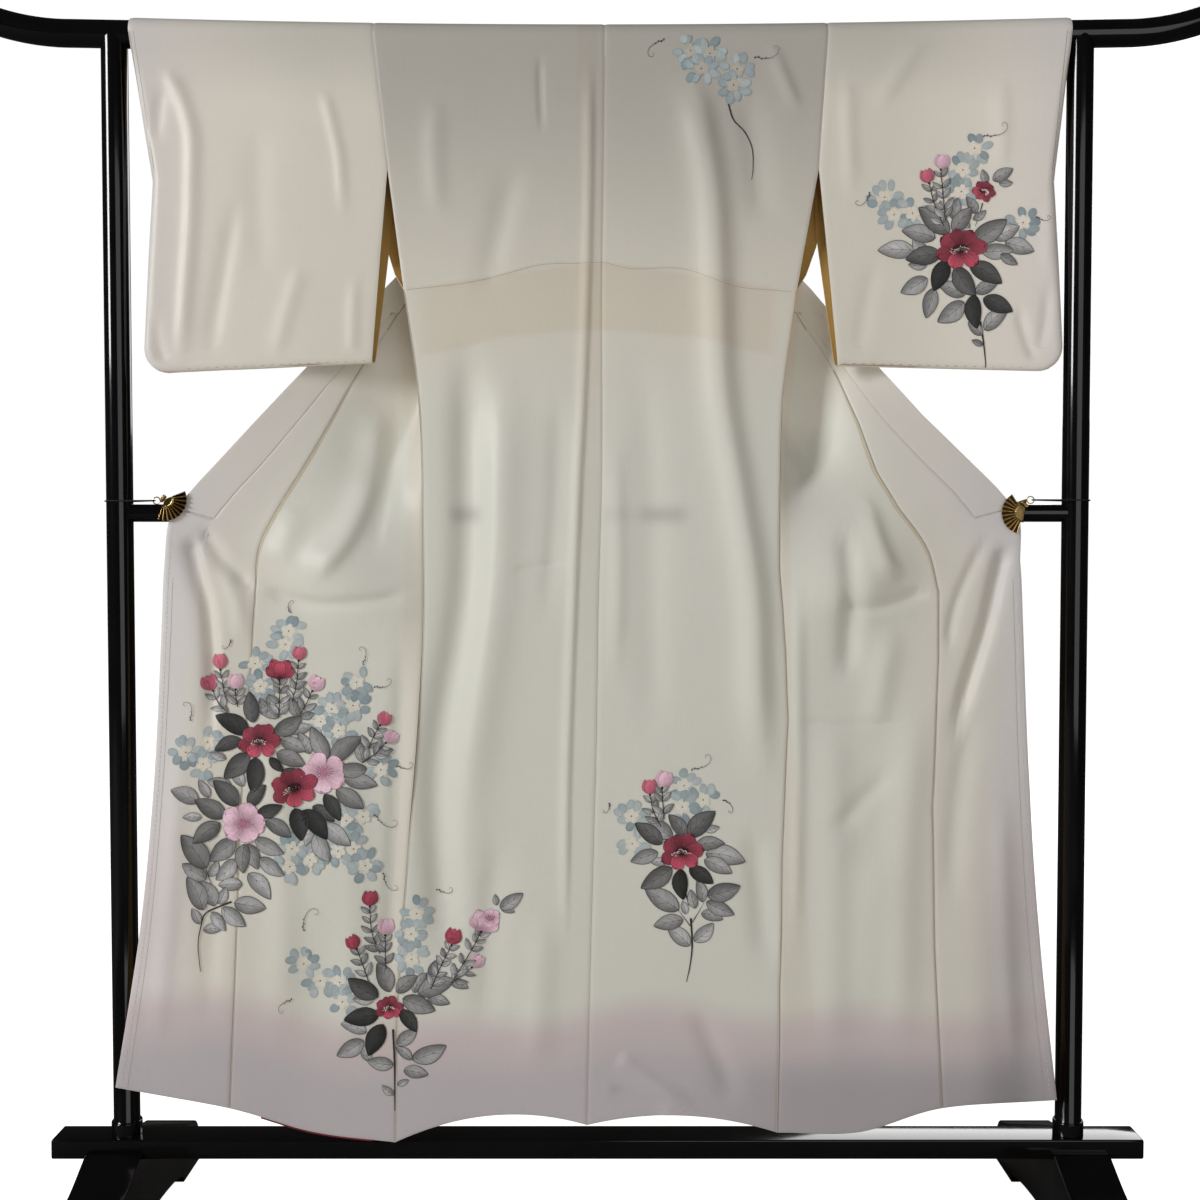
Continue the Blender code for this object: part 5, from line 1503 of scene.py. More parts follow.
    def leaf(self, base: Array, tip: Array, tone: float, plump: float = 0.52) -> None:
        """Leaf in grey ink: one half darker, a darker tip and edge, a midrib and side veins.

        Args:
            base: where the stalk meets it.
            tip: its point.
            tone: 0 for black to 1 for the palest wash.
            plump: width over length.
        """
        length = float(np.linalg.norm(tip - base))
        grey = 0.028 + 0.60 * tone ** 1.35
        tint = grey * np.array((1.0, 0.995, 1.01))
        bow = self.vary(-0.07, 0.07)
        width = length * plump * self.vary(0.92, 1.08)
        grid, s, t = self.blade(base, tip, width, 0.82, 0.78, bow)
        side = 1 if bow > 0 else -1
        shade = (1.05 + 0.26 * np.tanh(4.0 * t) * side + 0.45 * (1 - np.abs(t)) ** 1.5 * np.sin(math.pi * s)
                 - 0.35 * s ** 4 - 0.30 * (1 - s) ** 5 - 0.16 * np.abs(t) ** 5)
        self.stroke(grid, tint * shade[..., None], 0.06)
        line = np.array((1.0, 1.0, 1.02)) * (0.008 + 0.24 * grey)
        for edge in (0, -1):
            self.ribbon(grid[:, edge], 0.35 + 0.012 * length, line)
        middle = (grid[:, grid.shape[1] // 2] + grid[:, (grid.shape[1] - 1) // 2]) / 2
        self.ribbon(middle[:-2], np.linspace(0.8, 0.35, len(middle) - 2), line)
        if length < 20.0:
            return
        for row in (2, 4, 6):
            for edge in (0, -1):
                start, end = middle[row], grid[row + 2, edge]
                bend = (start + end) / 2 + 0.12 * (middle[row + 2] - start)
                vein = np.array([start, bend, end * 0.85 + start * 0.15])
                self.ribbon(vein, np.array((0.45, 0.35, 0.2)), line)

    def oval(self, middle: Array, angle: float, length: float, width: float, colour: Colour,
             edge: float = 1.0) -> None:
        """Rounded dab of colour with a darker rim: edge is the rim's share of the colour."""
        reach = heading(angle) * length / 2
        grid, s, t = self.blade(middle - reach, middle + reach, width, 1.0, 0.52, rows=7, columns=4)
        rim = np.maximum(np.abs(t), np.abs(2 * s - 1)) ** 4
        shade = 1 - (1 - edge) * 0.6 * rim + 0.10 * (0.5 - s)
        self.stroke(grid, np.array(colour) * shade[..., None], 0.03)
        if edge < 0.95:
            for side in (0, -1):
                self.ribbon(grid[1:-1, side], 0.32, np.array(colour) * edge)

    def petal(self, middle: Array, angle: float, reach: float, width: float, colours: tuple, light: float,
              squash: float) -> None:
        """Broad petal with a dented, ruffled end: tip moved by reach (0.05 sin 7t + 0.03 sin 15t) s^4.

        Args:
            middle: where it starts.
            angle: its direction.
            reach: its length.
            width: its full width.
            colours: petal, edge and heart colours.
            light: brightness of this petal.
            squash: height over width of the whole flower.
        """
        petal, edge, heart = colours
        tip = reach * np.array([math.cos(angle), squash * math.sin(angle)])
        grid, s, t = self.blade(middle, middle + tip, width, 1.85, 0.5, notch=0.13, rows=12, columns=12)
        phase = self.vary(0.0, 6.0)
        ruffle = (0.050 * np.sin(t * 7.0 + phase) + 0.030 * np.sin(t * 15.0 + phase)) * s ** 4
        grid = grid + ruffle[..., None] * tip
        shade = light * (0.72 + 0.45 * smooth(0.2, 0.85, s)
                         - 0.12 * np.abs(np.sin(t * 6.0 + phase)) * (1 - s) + 0.10 * np.sin(t * 2.5 + phase))
        blend = smooth(0.42, 0.12, s)[..., None]
        self.stroke(grid, petal * shade[..., None] * (1 - blend) + heart * blend, 0.06)
        outline = np.concatenate([grid[3:, 0], grid[-1, 1:-1], grid[3:, -1][::-1]])
        self.ribbon(outline, 0.6, edge)
        self.ribbon(middle + (outline - middle) * 0.95, 0.35, np.minimum(petal * light * 1.5 + 0.03, 1.0))
        vein = edge * 0.6 + petal * 0.4
        for share in (0.25, 0.42, 0.58, 0.75):
            column = int(share * (grid.shape[1] - 1))
            self.ribbon(grid[3:-2, column], np.linspace(0.4, 0.15, len(grid) - 5), vein)

    def camellia(self, kind: Bloom, middle: Array, radius: float, turn: float) -> None:
        """Open flower seen from the side and above: back petals, pale front petals and a fan of stamens.

        Pink ones face the viewer and have five equal petals.

        Args:
            kind: its colours.
            middle: its centre.
            radius: reach of the petals.
            turn: direction that it faces away from, in degrees.
        """
        petal, edge, heart, stamen = (np.array(c) for c in kind.value)
        if kind is Bloom.PINK:
            petals, fan, count, centre = self.facing, 180.0, 13, middle
            open_share = 12 / 13
        else:
            petals, fan, count, centre = self.leaning, 84.0, 17, middle - (0.0, 0.14 * radius)
            open_share = 1.0
        for angle, reach, width, light in petals:
            toward = math.radians(turn + angle + self.vary(-6, 6))
            self.petal(middle, toward, radius * reach * self.vary(0.95, 1.05), radius * width,
                       (petal, edge, heart), light, 0.86)
        if kind is not Bloom.PINK:
            self.oval(middle + (0.0, 0.04 * radius), 0.1, 0.66 * radius, 0.36 * radius, heart)
        for k in range(count):
            angle = math.radians(turn + fan * (2.0 * k / (count - 1) - 1.0) * open_share)
            direction = heading(angle) * (1.0, 0.62)
            outer = radius * self.vary(0.26, 0.46)
            self.ribbon(centre + direction * np.linspace(0.5, 1.0, 3)[:, None] * outer, 0.35, stamen * 0.45)
            self.oval(centre + direction * outer, angle + self.vary(-0.8, 0.8), 2.2, 1.1, stamen)

    def bud(self, kind: Bloom, top: Array, calyx: Array) -> None:
        """Closed flower: side petals behind a middle one, on a dark calyx; a long one has opened wider."""
        petal, edge = np.array(kind.value[0]), np.array(kind.value[1])
        along = top - calyx
        size = float(np.linalg.norm(along))
        aside = np.array([-along[1], along[0]])
        petal = petal * (1.3 if kind is Bloom.RED else 1.0)
        if size > self.open_size:
            axis = math.degrees(bearing(along))
            for turn, reach, light in self.opening:
                self.petal(calyx + along * 0.04, math.radians(axis + turn), size * reach, size * 0.52,
                           (petal, edge, edge), light, 1.0)
        else:
            for lean, reach, width in self.closed:
                grid, s, t = self.blade(calyx + along * 0.05, calyx + along * reach + aside * lean,
                                        size * width, 0.92, 0.74, bow=lean * 0.45, rows=9, columns=5)
                light = 1.0 if lean else 1.25
                self.stroke(grid, petal * light * (0.70 + 0.42 * s + 0.16 * t)[..., None], 0.05)
                for side in (0, -1):
                    self.ribbon(grid[1:, side], 0.4, edge * 0.8 + petal * 0.2)
                self.ribbon(grid[2:-2, 2], np.linspace(0.5, 0.2, len(grid) - 4), edge * 0.4 + petal * 0.6)
        self.oval(calyx + along * 0.02, bearing(along), 3.8, 3.4, self.ink)

    def twig(self, kind: Bloom, top: tuple, calyx: tuple, *stalk: tuple) -> None:
        """Bud on a stalk with small leaves to both sides, the lowest being the largest."""
        path = drawn(np.array([calyx, *stalk], float), 17)
        length = float(np.linalg.norm(np.diff(path, axis=0), axis=1).sum())
        steps = max(2, int(length / 13.0))
        for k in range(steps):
            s = (k + 0.75) / steps
            spot = path[int(s * 16)]
            forward = bearing(path[max(int(s * 16) - 1, 0)] - path[min(int(s * 16) + 1, 16)])
            for side in (-1, 1):
                direction = heading(forward + side * math.radians(self.vary(34, 52)))
                size = 13.0 + 6.0 * s + self.vary(-2, 2)
                start = spot + 1.5 * direction
                self.leaf(start, start + size * direction, self.vary(0.48, 0.75), 0.46)
        self.ribbon(path, np.linspace(1.1, 1.5, 17), np.array(self.ink) * 2.0)
        self.bud(kind, np.array(top, float), np.array(calyx, float))

    def floret(self, panel: Panel, middle: Array, others: Array) -> None:
        """Cream flower with a red-brown heart, and blue petals scattered round it.

        Args:
            panel: the cloth that it is painted on, whose colour it takes up.
            middle: its centre.
            others: centres of the other flowers, which its blue petals keep clear of.
        """
        half = Half.RIGHT if middle[0] >= 0 else Half.LEFT
        ground = self.dye.ground(panel, self.cut, half, np.array([abs(middle[0])]), middle[1:])[0]
        cream = ground * (1.04, 1.03, 1.00)
        for k in range(9):
            angle = k * math.pi / 4.5 + self.vary(0.0, 0.5)
            ring = self.vary(14.0, 20.0)
            spot = middle + ring * heading(angle)
            if (np.linalg.norm(others - spot, axis=1) < 9.5).any() or self.rng.random() < 0.14:
                continue
            deep = self.vary(0.0, 1.0) ** 1.3
            colour = np.array(self.blue) * deep + np.array(self.pale_blue) * (1 - deep)
            self.oval(spot, angle + self.vary(-0.6, 0.6), self.vary(14.0, 18.5), self.vary(10.0, 12.5),
                      colour, 0.80)
        for k in range(5):
            angle = k * 2 * math.pi / 5 + self.vary(-0.15, 0.15) + middle[0]
            self.oval(middle + heading(angle) * 6.0, angle, 10.5, 8.6, cream, 0.95)
        for k in range(7):
            angle = k * 2 * math.pi / 7 + self.vary(-0.2, 0.2)
            self.oval(middle + self.vary(2.4, 4.6) * heading(angle), angle, 0.9, 0.8, (0.48, 0.36, 0.20))
        self.oval(middle, 0.6, 2.6, 1.9, (0.22, 0.06, 0.05))

    def tendril(self, start: Array, end: Array, bow: float) -> None:
        """Curling line that thins out to a small spiral, with dark beads at its start."""
        along = end - start
        s = np.linspace(0.0, 1.0, 44)
        turn = math.copysign(1.0, bow) * (0.7 - 1.1 * s - 4.6 * s ** 3.5)
        step = np.stack([np.cos(turn), np.sin(turn)], axis=-1) * (1.0 - 0.45 * s)[:, None]
        curl = np.cumsum(step, axis=0) - step[0]
        far = curl[np.linalg.norm(curl, axis=1).argmax()]
        scale = np.linalg.norm(along) / np.linalg.norm(far)
        ahead = heading(bearing(along) - bearing(far))
        spin = np.array([ahead, [-ahead[1], ahead[0]]])
        curl = start + curl @ spin * scale
        self.ribbon(curl, np.linspace(0.9, 0.4, len(curl)), np.array(self.ink) * 5.0)
        for k, place in enumerate((0, 3, 6, 10)):
            aside = (curl[place + 1] - curl[place])[::-1] * (-1.0, 1.0) * (0.8 if k % 2 else -0.8)
            self.oval(curl[place] + aside, bearing(along) + 0.6, 3.0 - 0.3 * k, 1.7 - 0.2 * k, self.ink)

    def stem(self, width: float, *points: tuple) -> None:
        """Main stem: dark at its top and paler and thinner to its foot."""
        path = drawn(np.array(points, float), 33)
        self.ribbon(path, np.linspace(width, width * 0.35, 33), np.array(self.ink) * 2.6)
        self.ribbon(path[:18], np.linspace(width * 0.5, 0.3, 18), self.ink)

    def lay(self, name: str, panel: Panel | None, finish: str, lift: float) -> None:
        """Lay the collected strokes on the cloth as one object.

        Args:
            name: piece name.
            panel: SLEEVE, or None for the body.
            finish: name of its material.
            lift: height of the lowest layer above the cloth's wall middle, mm.
        """
        flat = np.concatenate(self.points)
        deep = self.cut.near_depth(panel, flat[:, 0], flat[:, 1])
        deep -= lift + self.layer_lift * np.sqrt(np.concatenate(self.levels))
        verts = np.column_stack([flat[:, 0], deep, flat[:, 1]]) * MM
        thing = make_object(name, verts, [np.concatenate(self.faces)], [self.finishes.made[finish]])
        paint_points(thing, "paint", np.concatenate(self.colours))
        lay_uv(thing, flat * MM)
        log.info("%s: %d strokes, %d faces", name, len(self.points), len(thing.data.polygons))

    def paint(self, spray: Spray, seed: int) -> None:
        """Paint a whole spray with its own seed and lay it on the cloth."""
        self.clear(seed)
        centres = np.array([*spray.florets, *[c[1:3] for c in spray.camellias]], float).reshape(-1, 2)
        for middle in spray.florets:
            others = centres[np.abs(centres - middle).sum(axis=1) > 0.1]
            self.floret(spray.panel or Panel.BACK, np.array(middle, float), others)
        for row in spray.stems:
            self.stem(*row)
        for x0, z0, x1, z1, tone in sorted(spray.leaves, key=lambda row: -row[4]):
            base, tip = np.array([x0, z0], float), np.array([x1, z1], float)
            self.leaf(base, base + (tip - base) * self.leaf_growth, tone / 100.0)
        for row in spray.twigs:
            self.twig(*row)
        for kind, x, high, radius, turn in spray.camellias:
            self.camellia(kind, np.array([x, high], float), radius, turn)
        for x0, z0, x1, z1, bow in spray.tendrils:
            self.tendril(np.array([x0, z0], float), np.array([x1, z1], float), bow / 100.0)
        if spray.panel is None:
            for points in self.points:
                points[:, 1] = np.minimum(points[:, 1], self.cut.rail_high - 1.0)
        self.lay(spray.name, spray.panel, "painted silk", self.lift)


# ---------------------------------------------------------------------------- sewing
@dataclass
class Sewing(Painter):
    """Seam lines, running stitches and lining edges, laid on the cloth as painting is, but as thread."""

    silk_thread: Colour = (0.74, 0.70, 0.62)
    shadow: Colour = (0.30, 0.245, 0.19)
    gold: Colour = (0.66, 0.59, 0.46)
    wine: Colour = (0.20, 0.020, 0.030)
    # layer that stitches start from, and how many layers a stitch's dome rises, as a root
    stitch_level: float = 4.0
    dome_rise: float = 14.0
    # how much nearer to the cloth thread lies than painting, mm
    sunk: float = 0.12
    # knots of the tuck across the back, (x, high)
    tuck: tuple = ((-268, 1358), (-169, 1370), (-128, 1380), (-83, 1392), (-22, 1395), (8, 1396),
                   (36, 1389), (131, 1384), (167, 1369), (272, 1355))

    def stitches(self, path: Array, colour: Colour, pitch: float = 8.5, length: float = 3.0,
                 width: float = 1.0) -> None:
        """Running stitches: each is a low dome, lift h sqrt((1 - t^2)(1 - s^2)) over its length and width.

        Args:
            path: the sewn line, mm.
            colour: thread colour.
            pitch: from one stitch to the next.
            length: length of a stitch.
            width: width of a stitch.
        """
        run = np.concatenate([[0.0], np.cumsum(np.linalg.norm(np.diff(path, axis=0), axis=1))])
        places = np.arange(pitch / 2, run[-1], pitch)
        places = places + self.rng.uniform(-0.6, 0.6, len(places))
        middle = np.stack([np.interp(places, run, path[:, k]) for k in (0, 1)], axis=-1)
        ahead = np.stack([np.interp(places + 1.0, run, path[:, k]) for k in (0, 1)], axis=-1) - middle
        ahead /= np.maximum(np.linalg.norm(ahead, axis=1, keepdims=True), 1e-9)
        aside = np.stack([-ahead[:, 1], ahead[:, 0]], axis=-1)
        t, s = np.meshgrid(np.linspace(-1, 1, 5), np.linspace(-1, 1, 4), indexing="ij")
        dome = np.sqrt((1 - t ** 2) * (1 - s ** 2))
        for k in range(len(places)):
            grid = middle[k] + t[..., None] * ahead[k] * length / 2 + s[..., None] * aside[k] * width / 2
            self.stroke(grid, colour, 0.03)
            self.levels[-1] = self.stitch_level + (dome.ravel() * self.dome_rise) ** 2
            self.layer -= 1

    @staticmethod
    def flat_line(half: Half, points: Array) -> Array:
        """(x, high) of out/deep/high points."""
        return np.column_stack([points[:, 0] * half.sign, points[:, 2]])

    def front_line(self, half: Half, across: float, drops: Array) -> Array:
        """(x, high) along a line of constant `across` on the open front."""
        return self.flat_line(half, self.cut.front(half, np.full(len(drops), across), drops))

    def sew_front(self, half: Half) -> None:
        """Okumi seam with its pressed fold, collar seam and the running stitches of the front edge."""
        seam = self.front_line(half, 1.0, np.linspace(436.0, 1598.0, 200))
        toward = np.array([-half.sign, 0.0])
        upper = self.front_line(half, 1.0, np.linspace(500.0, 900.0, 80))
        share = np.linspace(0, 1, 80)[:, None]
        fold = toward * (6.0 * smooth(0.0, 0.5, share) * smooth(1.0, 0.7, share))
        self.stroke(np.stack([upper, upper + fold / 2, upper + fold], axis=1), self.gold, 0.02)
        self.ribbon(seam, 0.5, self.shadow)
        self.ribbon(seam + toward * 0.8, 0.7, (0.60, 0.52, 0.40))
        self.stitches(self.front_line(half, 0.055, np.linspace(830.0, 1596.0, 120)), self.silk_thread, 7.0)
        self.ribbon(self.front_line(half, 0.105, np.linspace(900.0, 1596.0, 100)), 0.5, (0.50, 0.46, 0.44))

    def sew_back(self) -> None:
        """Centre and side seams, the tuck across the back with its stitches, and tacks above the hem."""
        cut = self.cut
        for half in Half:
            drops = np.linspace(375.0, 1598.0, 200)
            line = self.flat_line(half, cut.side_edge(half, cut.back_slit, drops))
            self.ribbon(line, 0.6, (0.30, 0.23, 0.16))
            self.ribbon(line - np.array([half.sign * 1.1, 0.0]), 0.9, (0.70, 0.64, 0.54))
        drops = np.linspace(30.0, 1598.0, 220)
        centre = cut.back(Half.RIGHT, np.ones(220), drops)
        self.ribbon(self.flat_line(Half.RIGHT, centre), 0.5, (0.42, 0.37, 0.28))
        tuck = np.array(self.tuck, float)
        path = through(tuck[:, 0], tuck, np.linspace(tuck[0, 0], tuck[-1, 0], 120))
        self.ribbon(path, 0.6, (0.50, 0.42, 0.32))
        self.stitches(path + (0.0, 2.4), self.silk_thread, 8.0)
        for half in Half:
            hem = cut.back(half, np.linspace(0.03, 0.97, 60), np.full(60, 1590.0))
            self.stitches(self.flat_line(half, hem), (0.50, 0.45, 0.45), 17.0, 2.2, 0.8)

    def sew_sleeve(self, half: Half) -> None:
        """Cuff stitches and the dark line of the bottom seam."""
        cut = self.cut
        inner, cuff, (low_in, low_out) = cut.sleeves[half]
        high = np.linspace(low_out + 40.0, cut.rail_high - 3.0, 120)
        edge = cut.cuff_edge(half, high, low_out) * half.sign

        def beside(inset: float, first: int) -> Array:
            """Line that far in from the cuff edge, from one of its points on."""
            return np.column_stack([edge - half.sign * inset, high])[first:]

        self.stitches(beside(4.5, 60), self.silk_thread, 6.5)
        self.ribbon(beside(7.5, 66), 0.8, (0.48, 0.44, 0.43))
        self.ribbon(beside(1.6, 60), 1.0, (0.50, 0.46, 0.44))
        out = np.linspace(inner + 4.0, cuff[1] - 42.0, 80)
        bottom = low_in + (low_out - low_in) * (out - inner) / (cuff[1] - inner)
        self.ribbon(np.column_stack([out * half.sign, bottom + 1.2]), 0.9, (0.42, 0.26, 0.20))
        self.stitches(np.column_stack([out * half.sign, bottom + 3.0]), (0.52, 0.44, 0.38), 13.0, 5.0, 0.7)

    def build_piping(self) -> None:
        """Wine-red lining that shows below the hem of the left front: a thin roll along the hem line."""
        across = np.linspace(1.35, 2.72, 90)
        hem = self.cut.front(Half.LEFT, across, np.full(90, self.cut.hem_drop))
        path = (hem + (0.0, 0.4, -1.1)) * (-MM, MM, MM)
        verts, faces = tube(path, 1.15 * MM, 8, UP, rounding=0.8 * MM)
        thing = make_object("hem_lining_edge", verts, faces, [self.finishes.made["thread"]])
        paint_points(thing, "paint", np.broadcast_to(self.wine, (len(verts), 3)))
        lay_uv(thing, verts[:, (0, 2)])

    def build(self) -> None:
        """Sew everything."""
        self.clear(5)
        for half in Half:
            self.sew_front(half)
        self.sew_back()
        self.lay("body_seams", None, "thread", self.lift - self.sunk)
        self.clear(6)
        for half in Half:
            self.sew_sleeve(half)
        self.lay("sleeve_seams", Panel.SLEEVE, "thread", self.lift - self.sunk)
        self.build_piping()


